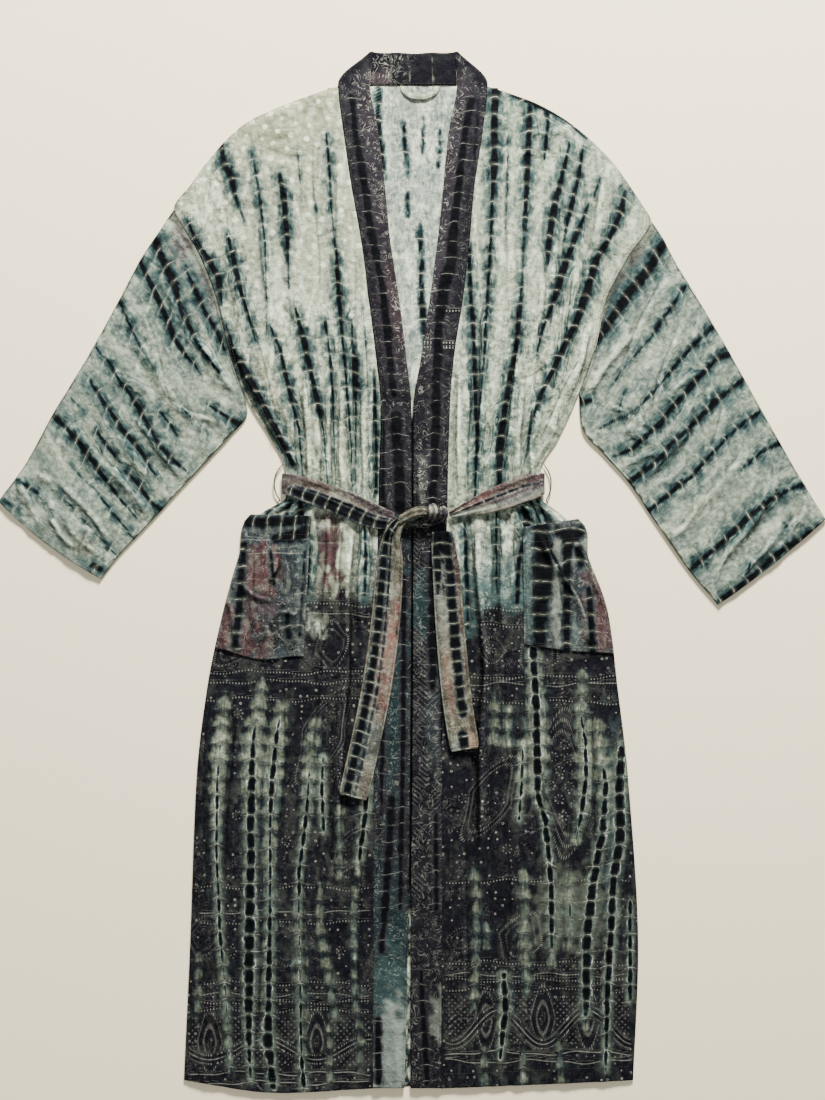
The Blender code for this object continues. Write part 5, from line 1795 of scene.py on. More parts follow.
    # Streaks that bleed along and across the threads
    gate = w.smooth(given["Ink"], 0.02, 0.30)
    bleed = w.math("ADD", w.times(w.around(middle), 0.42), w.times(w.around(comb), 0.36))
    patchy = w.drawn_out(place, 11, 19, 2.0)
    bleed = w.sway(patchy, 0.80, bleed)
    bleed = w.fit(w.math("ADD", bleed, w.times(w.around(fine), 0.08)), gate, given["Ink"])
    spade = w.times(w.around(cell, 0.42), w.times(w.around(column, 1.0), -0.09))
    bleed = w.fit(spade, gate, bleed)
    narrow = w.fit(column, 0.24, w.times(net, 0.06))
    bleed = w.fit(w.times(pinch, narrow), -1.0, bleed)
    beside = w.times(w.smooth(net, 0.06, 0.85), w.smooth(teal_cloud, 0.34, 0.60))
    colour = w.blend(w.times(beside, 0.66), colour, rim)
    fringe = w.times(w.spot(w.away(bleed, 0.15), 0.03, 0.12), w.smooth(w.noise(place, 1 / 5), 0.46, 0.56))
    fringe = w.times(fringe, w.times(mottle, 0.40))
    colour = w.blend(fringe, colour, light)
    edge = w.times(w.smooth(bleed, 0.08, 0.46), w.fit(column, -0.40, 0.85))
    colour = w.blend(edge, colour, rim)
    deep = w.blend(1.0, teal, (0.20, 0.30, 0.36), "MULTIPLY")
    colour = w.blend(w.times(w.smooth(bleed, 0.25, 0.62), 0.92), colour, deep)
    colour = w.blend(w.smooth(bleed, 0.40, 0.80), colour, given["Black"])
    halo = w.times(w.spot(w.away(bleed, 0.34), 0.02, 0.09), w.times(column, blotch))
    halo = w.times(halo, w.smooth(patchy, 0.36, 0.60))
    colour = w.blend(w.times(halo, 0.44), colour, line)

    # Thin undyed lines where the ties were
    glow = w.times(w.spot(crossline, 0.02, 0.20), w.times(net, 0.07))
    colour = w.blend(glow, colour, light)
    thread = w.times(w.spot(crossline, 0.004, 0.026), net)
    thread = w.times(thread, w.smooth(w.noise(place, 1 / 6.5, 1.0), 0.36, 0.62))
    colour = w.blend(w.times(thread, 0.72), colour, line)
    # Painted shade in the troughs of the creases and painted highlight on their ridges
    w.put(result["Color"], w.shaded(colour, w.fit(given["Hollow"], 1.3, 0.33)))
    return group


def weave_group():
    """Heights of the threads and of the fine crinkles between the modelled creases."""
    inputs = [("Place", "Vector"), ("Grain", "Vector"), ("Thread width", "Float")]
    outputs = [("Weave", "Float"), ("Crinkle", "Float"), ("Roughness", "Float")]
    group, w, given, result = new_group("Weave", inputs, outputs)
    split = w.add("ShaderNodeSeparateXYZ", {0: given["Grain"]}).outputs
    turns = [w.times(w.math("DIVIDE", split[i], given["Thread width"]), math.pi) for i in (0, 1)]
    over = w.times(w.math("SINE", turns[0]), w.math("SINE", turns[1]))
    place = w.scaled(given["Place"], (1000.0, 1000.0, 1000.0))
    slub = w.noise(w.scaled(given["Grain"], (2200.0, 90.0, 1.0)), 1.0, 2.0)
    w.put(result["Weave"], w.fit(over, 0.35, slub))
    crinkle = w.math("ADD", w.noise(place, 1 / 17, 3.0, 0.6), w.times(w.noise(place, 1 / 5.5, 2.0), 0.45))
    w.put(result["Crinkle"], crinkle)
    w.put(result["Roughness"], w.fit(slub, 0.14, w.times(w.noise(place, 1 / 30), 0.10)))
    return group


CLOTHS = {
    # cloth: roughness, rims of the streaks, clouds, and how far the clouds turn from running down, in degrees
    "light_cloth": (0.72, "teal", "pale", 0),
    "sleeve_cloth_right": (0.72, "teal", "pale", -37),
    "sleeve_cloth_left": (0.72, "teal", "pale", 47),
    "inside_cloth": (0.80, "teal", "pale", 0),
    "dark_cloth": (0.68, "plum", "grey", 0),
    "plum_cloth": (0.72, "slate", "pale", 0),
    "belt_cloth": (0.66, "slate", "pale", 0),
}
WEAVE_ROUGHNESS = 0.12
CRINKLE_HEIGHT = 0.0024
THREAD_HEIGHT = 0.00009


def cloth_material(cloth):
    """A dyed cloth that reads its dye and its painted crease shade from the piece's points."""
    name = "dyed_" + cloth
    old = bpy.data.materials.get(name)
    if old:
        return old
    roughness, rim, light, turn = CLOTHS[cloth]
    dye = bpy.data.node_groups.get("Tie dye") or tie_dye_group()
    weave = bpy.data.node_groups.get("Weave") or weave_group()
    material = bpy.data.materials.new(name)
    material.use_nodes = True
    w = Wiring(material.node_tree)
    place = w.add("ShaderNodeTexCoord").outputs["Object"]
    grain = w.add("ShaderNodeUVMap", uv_map="grain").outputs[0]
    fields = {}
    for layer, names in (
        ("ground", (None, None, None, "Mottle")),
        ("dye", ("Ink", "Phase", "Net", "Pale")),
        ("figure", ("Contour", "Run", "Figure", "Dotted")),
        ("marks", ("Dots", "Scatter", "Scribble", "Hollow")),
    ):
        found = w.add("ShaderNodeAttribute", attribute_name=layer)
        if layer == "ground":
            fields["Ground"] = found.outputs["Color"]
        split = w.add("ShaderNodeSeparateXYZ", {0: found.outputs["Vector"]}).outputs
        for label, socket in zip(names, (*split, found.outputs["Alpha"])):
            if label:
                fields[label] = socket
    tie_dye = w.add("ShaderNodeGroup", node_tree=dye)
    fields["Place"] = w.turned(place, turn)
    for label, name in (("Rim", rim), ("Black", "ink"), ("Light", light), ("Lobe", "lobe"), ("Line", "line")):
        fields[label] = tuple(colour_of(name))
    for label, value in fields.items():
        w.put(tie_dye.inputs[label], value)
    woven = w.add("ShaderNodeGroup", node_tree=weave)
    for label, value in (("Place", place), ("Grain", grain), ("Thread width", sizes().thread_width)):
        w.put(woven.inputs[label], value)
    soft = w.bump(0.9, CRINKLE_HEIGHT, woven.outputs["Crinkle"])
    threads = w.bump(0.5, THREAD_HEIGHT, woven.outputs["Weave"], Normal=soft)
    shader = w.add("ShaderNodeBsdfPrincipled")
    w.put(shader.inputs["Base Color"], tie_dye.outputs["Color"])
    w.put(shader.inputs["Roughness"], w.math("ADD", woven.outputs["Roughness"], roughness - WEAVE_ROUGHNESS))
    w.put(shader.inputs["Normal"], threads)
    shader.inputs["Sheen Weight"].default_value = 0.008
    shader.inputs["Sheen Roughness"].default_value = 0.45
    shader.inputs["Specular IOR Level"].default_value = 0.03
    w.put(w.add("ShaderNodeOutputMaterial").inputs["Surface"], shader.outputs[0])
    return material


def thread_material():
    """Twisted thread, for the loops."""
    old = bpy.data.materials.get("twisted_thread")
    if old:
        return old
    material = bpy.data.materials.new("twisted_thread")
    material.use_nodes = True
    w = Wiring(material.node_tree)
    place = w.scaled(w.add("ShaderNodeTexCoord").outputs["Object"], (1000.0, 1000.0, 1000.0))
    inputs = {"Vector": place, "Scale": 0.55, "Distortion": 0.6}
    twist = w.add("ShaderNodeTexWave", inputs, bands_direction="DIAGONAL").outputs["Fac"]
    colour = w.blend(w.times(twist, 0.45), tuple(colour_of("thread")), tuple(colour_of("ink")))
    inputs = {"Base Color": colour, "Roughness": 0.7, "Normal": w.bump(0.7, 0.0002, twist)}
    shader = w.add("ShaderNodeBsdfPrincipled", inputs)
    w.put(w.add("ShaderNodeOutputMaterial").inputs["Surface"], shader.outputs[0])
    return material


# Dye of each piece


def lean_of_lines(across, down):
    """How far the cross lines near the armholes turn up, so that they cross the leaning streaks squarely."""
    outwards = np.maximum(np.abs(across) - 80.0, 0.0)
    return 0.44 * outwards**3 / (3 * 140.0**2) * (1 - ramp(down, 380, 520))


def dye_body(dye, side, strength=1.0):
    """The dye that fronts and back share: streaks from the shoulders and pale columns down the skirt."""
    wobble = 16 * ripple(dye.x, dye.down, 5, 30, 50, 16) * ramp(dye.down, 480, 600)
    dye.grade(GROUNDS[side], wobble)
    dye.patches(FRONT_PATCHES[side])
    dye.phase = (dye.down - lean_of_lines(dye.x, dye.down)) / NET_PITCH
    dye.streaks(FRONT_STREAKS[side], feather=12.0, net=0.68, wide=0.60 if side == "right" else 0.70, span=9.0)
    dye.streaks(SKIRT_COLUMNS[side], feather=1.8, bow=2.6, net=0.52, span=6.0)
    light = 1 - ramp(dye.down, 270, 350)
    dye.dots = np.maximum(dye.dots, light * ramp(dye.down, 30, 60) * (1.0 if side == "right" else 0.15))
    dark = ramp(dye.down + wobble, 596, 652)
    free = 1 - ramp(dye.pale, 0.05, 0.25)
    clumps = ramp(ripple(dye.x, dye.down, 71, 60, 90, 18), -0.5, 0.4)
    dye.scatter = np.maximum(dye.scatter, 0.27 * dark * free * (0.6 + 0.4 * clumps))
    dye.scribble = np.maximum(dye.scribble, 0.07 * dark * free * (1 - clumps) + 0.06 * (1 - dark))
    outwards = ramp(np.abs(dye.x), 190, 235) if side == "right" else np.full(len(dye.x), 0.6)
    dye.mottle = mix(0.35 + 0.5 * outwards, 1.0, ramp(dye.down, 250, 330)) * (1 - 0.97 * dark)
    dye.mottle = dye.mottle * (1 - 0.30 * bump((dye.down - 470) / 90))
    dye.net = np.maximum(dye.net, 0.30 * ramp(dye.down, 240, 340) * (1 - dark))
    if side == "left":
        crinkled = np.exp(-(((dye.x - 96) / 32) ** 2) - ((dye.down - 614) / 46) ** 2)
        dye.scribble = np.maximum(dye.scribble, 0.46 * crinkled)
        dye.mottle = dye.mottle * (1 - 0.6 * crinkled)
    if side == "right":
        rosy = np.minimum(1, 1.4 * np.exp(-(((dye.x + 101) / 20) ** 2) - ((dye.down - 592) / 40) ** 2))
        dye.mottle = dye.mottle * (1 - rosy)
        cloud = np.exp(-(((dye.x + 114) / 12) ** 2) - ((dye.down - 679) / 11) ** 2)
        dye.net = np.maximum(dye.net, 0.5 * cloud)
        dye.mottle = np.maximum(dye.mottle, cloud)
    for row_down, start, end, dotted in ROWS[side]:
        dye.line_row(row_down, start, end, dotted=dotted, strength=0.17)
    for across, down, half_width, half_height, rings, lean, hook in LEAVES[side]:
        look = (0.8, 0.15, 0.12) if down > 1100 else (1.0, 0.12, 0.62)
        dye.leaf(across, down, half_width, half_height, rings, lean, hook, *look)
    for across, down in FLOWERS[side]:
        dye.flower(across, down, 5.0)
    level, depth, centre, period, start, end = HEM_BORDER[side]
    for top, low in ((level - 40, level + 22), (level - 76, level - 60)):
        dye.dot_field(top, low, start, end)
    dye.scallops(level, depth, centre, period, start, end)
    printed = ramp(dye.figure, 0.05, 0.15)
    dye.scatter *= 1 - 0.9 * printed
    dye.scribble *= 1 - 0.9 * printed
    quiet = 1 - ramp(dye.pale, 0.15, 0.4)
    dye.figure *= np.where(dye.down > 600, quiet, 1.0) * strength


def finish_dye(piece, dye, points):
    """Stores a piece's dye and the run of its threads."""
    dye.write(piece.data)
    lay_grain(piece.data, points[:, 0], points[:, 1])


def dye_at(points, name):
    """The dye of a piece, before any is laid on it."""
    return Dye(1000 * points[:, 0], 1000 * (TOP_Y - points[:, 1]), DYE_SEEDS[name])


# Pieces


# Starts of the random draws
CRUMPLE_SEEDS = {
    "back": 3,
    "front_right": 21,
    "front_left": 31,
    "sleeve_right": 41,
    "sleeve_left": 51,
    "neckband_right": 61,
    "neckband_left": 71,
    "neckband_back": 81,
    "pocket_right": 91,
    "pocket_left": 96,
}
DYE_SEEDS = {
    "back": 11,
    "back_halves": 12,
    "front_right": 101,
    "front_left": 102,
    "sleeve_right": 201,
    "sleeve_left": 202,
    "neckband_right": 301,
    "neckband_left": 302,
    "neckband_back": 311,
    "pocket_right": 401,
    "pocket_left": 402,
    "belt_back": 501,
    "belt_right": 511,
    "belt_left": 512,
    "belt_tail_right": 521,
    "belt_tail_left": 522,
    "belt_knot": 531,
    "hanger_loop": 541,
}


def crumple(x, y, name):
    """Small uneven crumples with no heading of their own."""
    seed = CRUMPLE_SEEDS[name]
    broad = ripple(x, y, seed, 0.034, 0.052, 24)
    small = ripple(x, y, seed + 50, 0.011, 0.016, 30)
    return sizes().crumple * (0.75 * broad + 0.30 * small)


def make_back():
    """The back panel, its lower side out and its upper side the inside of the neck."""
    down = np.linspace(0.0416, HEM_SIDE, 300)[:, None]
    across = np.linspace(0.0, 1.0, 136)[None, :]
    x = mix(EDGE["right"](down), EDGE["left"](down), across)
    nearest = 1 - np.abs(2 * across - 1)
    drops = [hem_drop(side, nearest, down) for side in SIDES]
    y = TOP_Y - down - (np.where(across < 0.5, *drops) - 0.002 * ramp(down, HEM_START, HEM_SIDE))
    past = [ramp(x, BAND_FREE[side](down) - 0.01, BAND_FREE[side](down) + 0.01) for side in SIDES]
    neck = past[0] * (1 - past[1]) * (1 - ramp(down, 0.30, 0.40))
    creased = np.maximum(crease_height(BACK_CREASES, x, down), 0)
    z = belt_lift(down) + 0.0009 + neck * (creased + 0.6 * np.abs(crumple(x, y, "back")))
    top = np.stack([x, y, z], axis=2)
    piece, padded = single_cloth("robe_back", top, "inside_cloth", scale=0.6)
    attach(piece, "root")
    points = padded.reshape(-1, 3)
    dye = dye_at(points, "back")
    halves = []
    for side in SIDES:
        half = dye_at(points, "back_halves")
        dye_body(half, side, 0.9)
        halves.append(half)
    left = dye.x > 0
    fields = ("ink", "pale", "net", "phase", "contour", "run", "figure", "dotted")
    for name in (*fields, "dots", "scatter", "scribble"):
        setattr(dye, name, np.where(left, getattr(halves[1], name), getattr(halves[0], name)))
    dye.ground = np.where(left[:, None], halves[1].ground, halves[0].ground)
    opening = (1 - ramp(dye.down, 380, 440)) * (1 - ramp(np.abs(dye.x), 60, 84))
    dye.fade(("ink", "net", "dots", "scribble"), opening)
    dye.cover("inside", opening)
    slit = (1 - ramp(np.abs(dye.x + 2), 9, 14)) * ramp(dye.down, 420, 436) * (1 - ramp(dye.down, 984, 1000))
    dye.cover("ink", slit)
    dye.fade(("pale", "net", "scribble", "figure", "scatter", "mottle"), slit)
    dye.patches(INSIDE_PATCHES)
    dye.streaks(BACK_INSIDE_STREAKS, feather=2.6, bow=2.0, net=0.8)
    dye.dots = np.maximum(dye.dots, 0.35 * opening)
    finish_dye(piece, dye, points)
    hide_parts("back")


def make_front(side):
    """One front, with the long folds, the gathers at the belt and the finer creases between them."""
    name = "front_" + side
    down = np.linspace(FRONT_TOP, HEM_SIDE, 575)[:, None]
    share = np.linspace(0.0, 1.0, 140)[None, :]
    edge = EDGE[side](down)
    seam = BAND_SEAM[side](down) + SIDES[side] * SEAM_GAP
    x = mix(edge, seam, share)
    y = TOP_Y - down - hem_drop(side, share, down)
    calm = ramp(np.abs(x - edge), 0.0, 0.012) * ramp(np.abs(x - seam), 0.0, 0.006)
    creased = crease_height(CREASES[side], x, TOP_Y - y) + crumple(x, y, name)
    pressed = 1 - 0.7 * np.exp(-(((down - belt_line(x)) / 0.016) ** 2))
    z = front_under(side, share, down) + CLOTH + creased * calm * pressed + CREASE_GAP
    z = np.maximum(z, over_back(down) + CLOTH + CREASE_GAP)
    top = np.stack([x, y, z], axis=2)
    piece, padded = single_cloth("robe_" + name, top, "light_cloth")
    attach(piece, "root")
    points = padded.reshape(-1, 3)
    dye = dye_at(points, name)
    dye_body(dye, side)
    # Painted shade in the troughs of the folds and creases and painted highlight on their ridges
    level = painted_shade_from_heights(padded[:, :, 2], 10).ravel() + crease_shade(CREASES[side], dye.x, dye.down)
    # A painted shadow line along the body's edge at the armhole
    from_edge = np.abs(dye.x - 1000 * EDGE[side](dye.down / 1000)) / 2.0
    level = level - 0.45 * np.exp(-(from_edge**2)) * ramp(dye.down, 120, 150) * (1 - ramp(dye.down, 380, 400))
    dye.hollow = np.clip(level, 0.0, 1.0)
    finish_dye(piece, dye, points)
    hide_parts(name)
    GRIDS[name] = top


def sleeve_ring():
    """The section of a sleeve: its shares of the width and of the height, and the inset of its edges."""
    ring = [(i / SLEEVE_COLUMNS, 1.0, 0.0) for i in range(1, SLEEVE_COLUMNS)]
    ring += [(1.0, level, inset) for level, inset in SLEEVE_EDGE]
    ring += [(i / 30, 0.0, 0.0) for i in range(29, 0, -1)]
    ring += [(0.0, level, inset) for level, inset in reversed(SLEEVE_EDGE)]
    return (np.array(column)[None, :] for column in zip(*ring))


def turned_in(rim, inner):
    """The rows of a tube's open end, where its cloth is turned in."""
    outwards = rim - inner
    outwards[:, 2] = 0
    outwards = outwards / np.linalg.norm(outwards, axis=1)[:, None]
    middle = rim.copy()
    middle[:, 2] = np.minimum(SLEEVE_HEIGHT * 0.5, rim[:, 2].max())
    turned = []
    for out, squeeze in TURNED_IN:
        row = mix(rim, middle, squeeze)
        row[:, :2] = rim[:, :2] + outwards[:, :2] * out
        turned.append(row)
    return turned


def make_sleeve(side):
    """A flattened tube, turned in at the armhole and at the cuff."""
    name = "sleeve_" + side
    total = by_distance(SLEEVE_SECTIONS[side])[-1][0]
    across, level, inset = sleeve_ring()
    along = np.linspace(0.0, 1.0, 170)[:, None]
    fold_x, fold_down = sleeve_plan(side, along, np.zeros_like(along))
    seam_x, seam_down = sleeve_plan(side, along, np.ones_like(along))
    width = np.hypot(seam_x - fold_x, seam_down - fold_down)
    share = across + np.where(across < 0.5, 1, -1) * inset / width * (inset > 0)
    x, down = sleeve_plan(side, along, share)
    rise = fold_height(SLEEVE_FOLDS[side], x, down) * ramp(along * total, 0.0, 0.03)
    edge_calm = ramp(np.minimum(share, 1 - share) * width, 0.0, 0.012)
    start_calm = ramp(along * total, 0.0, 0.016)
    creased = crease_height(SLEEVE_CREASES[side], x, down) + crumple(x, down, name)
    lifted = rise * edge_calm + np.maximum(creased * start_calm, -0.0016) * edge_calm
    z = SLEEVE_HEIGHT * level + np.where(level == 1.0, lifted, 0.0)
    body = np.stack([x, TOP_Y - down, z], axis=2)
    armhole, cuff = turned_in(body[0], body[1])[::-1], turned_in(body[-1], body[-2])
    padded = np.concatenate([np.stack(armhole), body, np.stack(cuff)])
    points = padded.reshape(-1, 3)
    faces = face_out(points, grid_faces(*padded.shape[:2], wrap=True))
    piece = add_piece("robe_" + name, points, faces, cloth_material("sleeve_cloth_" + side))
    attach(piece, "root")
    dye = dye_at(points, name)
    heading = math.radians(36 if side == "right" else -45)
    lengthwise = dye.x * math.sin(heading) + dye.down * math.cos(heading)
    crosswise = dye.x * math.cos(heading) - dye.down * math.sin(heading)
    dye.fill("cool_sage")
    dye.cover("cream", np.full(len(points), 0.45))
    tealness = 0.42 if side == "right" else 0.54
    dye.cover("teal", np.clip(tealness + 0.36 * ripple(crosswise, lengthwise, 208, 34, 120, 14), 0.05, 0.95))
    cloudy = 0.5 + 0.5 * ripple(dye.x, dye.down, 207, 50, 50, 12)
    dye.cover("grey", np.clip(0.15 + 0.30 * cloudy, 0, 1))
    dye.patches(SLEEVE_PATCHES[side])
    turns = len(TURNED_IN)
    from_fold = np.pad(share * width, ((turns, turns), (0, 0)), mode="edge").ravel()
    dye.phase = 1000 * from_fold / NET_PITCH
    dye.streaks(SLEEVE_STREAKS[side], feather=14.0, bow=2.0, net=0.66, wide=0.66)
    strip = np.exp(-(((np.abs(dye.x) - 252) / 26) ** 2) - ((dye.down - 255) / 60) ** 2)
    dye.mottle = 0.40 * (1 - 0.7 * strip)
    dye.dots[:] = 0.12
    dye.scribble[:] = 0.06
    # Painted shade in the troughs of the creases and painted highlight on their ridges
    hollow = painted_shade_from_heights(np.where(level == 1.0, z, SLEEVE_HEIGHT), 8)
    hollow = np.pad(hollow, ((turns, turns), (0, 0)), constant_values=0.5)
    # Painted shadow over the rows at the armhole end
    hollow[: turns + 4] *= 0.35
    hollow = hollow.ravel() + crease_shade(SLEEVE_CREASES[side], dye.x, dye.down)
    dye.hollow = np.clip(hollow, 0.0, 1.0)
    finish_dye(piece, dye, points)
    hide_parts(name)
    GRIDS[name] = body[:, : SLEEVE_COLUMNS - 1]


def make_neckband_side(side):
    """One long doubled side of the neckband, folded at its free edge and sewn at the other."""
    name = "neckband_" + side
    down = np.linspace(0.0012, HEM_SIDE - 0.0008, 600)[:, None]
    share = np.linspace(0.022, 0.978, 24)[None, :]
    x = mix(BAND_SEAM[side](down), BAND_FREE[side](down), share)
    y = TOP_Y - down - hem_drop(side, 1.0, down)
    pressed = 1 - 0.8 * np.exp(-(((down - BELT_SLOPE_DOWN) / 0.018) ** 2))
    roll = 0.0006 * np.sin(math.pi * share) - 0.0003 * np.exp(-((share / 0.08) ** 2))
    wave = 0.0005 * np.sin(share * 9 + 5 * np.sin(down * 9)) + 0.0003 * np.sin(down * 95 + share * 3)
    creased = (roll + wave + 0.8 * crumple(x, y, name)) * pressed * ramp(down, 0.0, 0.02)
    z = band_under(side, down) + DOUBLED_CLOTH + creased
    top = np.stack(np.broadcast_arrays(x, y, z), axis=2)
    piece, body = doubled_cloth("robe_" + name, top, "dark_cloth")
    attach(piece, "root")
    points = body.reshape(-1, 3)
    dye = dye_at(points, name)
    inner = 1000 * np.abs(points[:, 0] - BAND_SEAM[side](TOP_Y - points[:, 1])) / 43
    inner = ramp(inner, 0.25, 0.75)
    high = 1 - ramp(dye.down, 330, 420)
    dye.fill("aubergine")
    dye.cover("plum", 0.80 * inner * high + 0.10)
    dye.patches(NECKBAND_PATCHES[side])
    dye.phase = dye.down / 19.0
    dye.streaks(NECKBAND_STREAKS[side], feather=3.0, bow=2.0, net=0.30)
    dye.scribble = 0.20 * inner * high + 0.08 + 0.06 * (1 - high)
    if side == "left":
        dye.feathers(560, 1010, strength=0.07)
        dye.scribble += 0.35 * np.exp(-(((dye.x - 14) / 8) ** 2) - ((dye.down - 505) / 26) ** 2)
        for row_down in (305.98, 343.74, 349.64):
            dye.line_row(row_down, -10, 60, wave=0.5, strength=0.35)
    dye.mottle[:] = 0.06
    dye.scatter = 0.08 * ramp(dye.down, 420, 600)
    finish_dye(piece, dye, points)
    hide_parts(name)
    GRIDS[name] = top


def make_neckband_back():
    """The short doubled piece of the neckband across the back of the neck."""
    along = np.linspace(0.0, 1.0, 66)[:, None]
    share = np.linspace(0.03, 0.97, 27)[None, :]
    down = mix(0.0006, NECK_BACK_WIDTH - SEAM_GAP, share)
    x = mix(BAND_FREE["right"](down) + SEAM_GAP + 0.0008, BAND_FREE["left"](down) - SEAM_GAP - 0.0008, along)
    sag = 0.0014 * np.sin(math.pi * along) + 0.0006 * np.sin(5 * math.pi * along)
    y = TOP_Y - down - sag * (1 - share)
    z = DOUBLED_CLOTH + 0.0004 * np.sin(math.pi * share) + 0.5 * crumple(x, y, "neckband_back")
    top = np.stack(np.broadcast_arrays(x, y, z), axis=2)
    piece, body = doubled_cloth("robe_neckband_back", top, "dark_cloth")
    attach(piece, "root")
    points = body.reshape(-1, 3)
    dye = dye_at(points, "neckband_back")
    dye.fill("charcoal")
    dye.patch(-40, 34, 14, 12, "mauve", 0.7)
    dye.phase = dye.x / 17.0
    dye.scribble = 0.25 * (1 - ramp(dye.x, -30, 10))
    dye.mottle[:] = 0.05
    for across in (-25, -2, 24, 49):
        dye.streak(((across, 8, 0.4, 0.2, 0.9), (across, 44, 0.4, 0.2, 0.9)), bow=0.0, net=0.0)
    finish_dye(piece, dye, points)
    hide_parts("neckband_back")
    GRIDS["neckband_back"] = top


def resample(grid, rows, columns):
    """A finer or coarser copy of a grid of values."""
    at_row = np.linspace(0, grid.shape[0] - 1, rows)
    at_column = np.linspace(0, grid.shape[1] - 1, columns)
    row = np.clip(at_row.astype(int), 0, grid.shape[0] - 2)
    column = np.clip(at_column.astype(int), 0, grid.shape[1] - 2)
    down = (at_row - row)[:, None]
    across = (at_column - column)[None, :]
    high = mix(grid[row][:, column], grid[row][:, column + 1], across)
    low = mix(grid[row + 1][:, column], grid[row + 1][:, column + 1], across)
    return mix(high, low, down)


def make_pocket(side):
    """A patch pocket lying on its front, with the loose outer top corner that stands past the side seam."""
    name = "pocket_" + side
    below = Lying(["robe_front_" + side])
    corners = POCKETS[side]
    rows, columns = 92, 76
    along = np.linspace(0.0, 1.0, rows)[:, None]
    across = np.linspace(0.0, 1.0, columns)[None, :]
    inner_x = mix(corners["top_inner"][0], corners["low_inner"][0], along)
    inner_down = mix(corners["top_inner"][1], corners["low_inner"][1], along)
    outer_down = mix(corners["top_outer_down"], corners["low_outer_down"], along)
    stands_out = corners["stands_out"] * (1 - ramp(along, 0.0, 0.32))
    outer_x = EDGE[side](outer_down) + SIDES[side] * (stands_out - 0.001)
    x = mix(inner_x, outer_x, across)
    down = mix(inner_down, outer_down, across) + corners["sag"] * bump(2 * across - 1) * along
    y = TOP_Y - down
    coarse_x, coarse_y = resample(x, 26, 24), resample(y, 26, 24)
    floor = below.tops(coarse_x, coarse_y, 0.005, np.full(coarse_x.shape, np.nan))
    for row in floor:
        known = np.flatnonzero(~np.isnan(row))
        row[:] = np.interp(np.arange(len(row)), known, row[known])
    floor = resample(soften(floor, 1), rows, columns)
    calm = ramp(np.minimum(across, 1 - across), 0, 0.06) * ramp(1 - along, 0, 0.05)
    creased = crease_height(POCKET_CREASES[side], x, down) + crumple(x, y, name)
    z = floor + LAY_GAP + CLOTH + np.maximum(creased, -0.0004) * mix(0.35, 1.0, calm)
    top = np.stack([x, y, z], axis=2)
    piece, padded = single_cloth("robe_" + name, top, "plum_cloth")
    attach(piece, "root")
    points = padded.reshape(-1, 3)
    dye = dye_at(points, name)
    dye.fill("slate")
    dye.patches(POCKET_PATCHES[side])
    dye.phase = dye.down / 19.5
    if side == "right":
        bricks = dye.x / 16.5 + dye.down / 90 + 30
        dye.phase = np.where(dye.down < 577, bricks, dye.phase)
    dye.streaks(POCKET_STREAKS[side], feather=3.0, bow=1.5, net=0.6, span=5.0)
    dye.scribble[:] = 0.16
    dye.mottle[:] = 0.09
    for row_down in (576, 592):
        dye.line_row(row_down, -200, -120, wave=0.8, dotted=0.3, strength=0.18)
    # Painted shade in the troughs of the creases and painted highlight on their ridges
    level = painted_shade_from_heights(padded[:, :, 2], 8).ravel() + crease_shade(POCKET_CREASES[side], dye.x, dye.down)
    dye.hollow = np.clip(level, 0.0, 1.0)
    finish_dye(piece, dye, points)
    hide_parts(name)
    GRIDS[name] = top


def ribbon(name, base, outwards, thickness, cloth):
    """A closed strip of cloth whose outer face stands off its base along each row's own direction."""
    columns = base.shape[1]
    beside = base[:, -1] - base[:, 0]
    beside = beside / np.linalg.norm(beside, axis=1)[:, None]
    picks = np.linspace(columns - 1, 0, max(4, columns // 3)).astype(int)
    outer = base + outwards[:, None] * thickness
    ring = [outer]
    for out, share in ((0.30, 0.8), (0.40, 0.5), (0.30, 0.2)):
        ring.append((base[:, -1] + beside * out * thickness + outwards * share * thickness)[:, None])
    ring.append(base[:, picks])
    for out, share in ((0.30, 0.2), (0.40, 0.5), (0.30, 0.8)):
        ring.append((base[:, 0] - beside * out * thickness + outwards * share * thickness)[:, None])
    ring = np.concatenate(ring, axis=1)
    ends = []
    for row, step in ((0, base[0] - base[1]), (-1, base[-1] - base[-2])):
        step = step.mean(axis=0) / np.linalg.norm(step.mean(axis=0))
        middle = (base[row] + outwards[row] * thickness / 2).mean(axis=0)
        height = ((ring[row] - middle) @ outwards[row])[:, None] * outwards[row]
        ends.append((ring[row] + step * 0.35 * thickness - 0.35 * height)[None])
    body = np.concatenate([ends[0], ring, ends[1]])
    points = body.reshape(-1, 3)
    return add_piece(name, points, tube_faces(points, len(body), ring.shape[1]), cloth_material(cloth)), body


def spread(values):
    """Values of a ribbon's outer face carried round its whole ring and its ends."""
    columns = values.shape[1]
    picks = np.linspace(columns - 1, 0, max(4, columns // 3)).astype(int)
    ring = [values] + [values[:, -1:]] * 3 + [values[:, picks]] + [values[:, :1]] * 3
    ring = np.concatenate(ring, axis=1)
    return np.concatenate([ring[:1], ring, ring[-1:]])


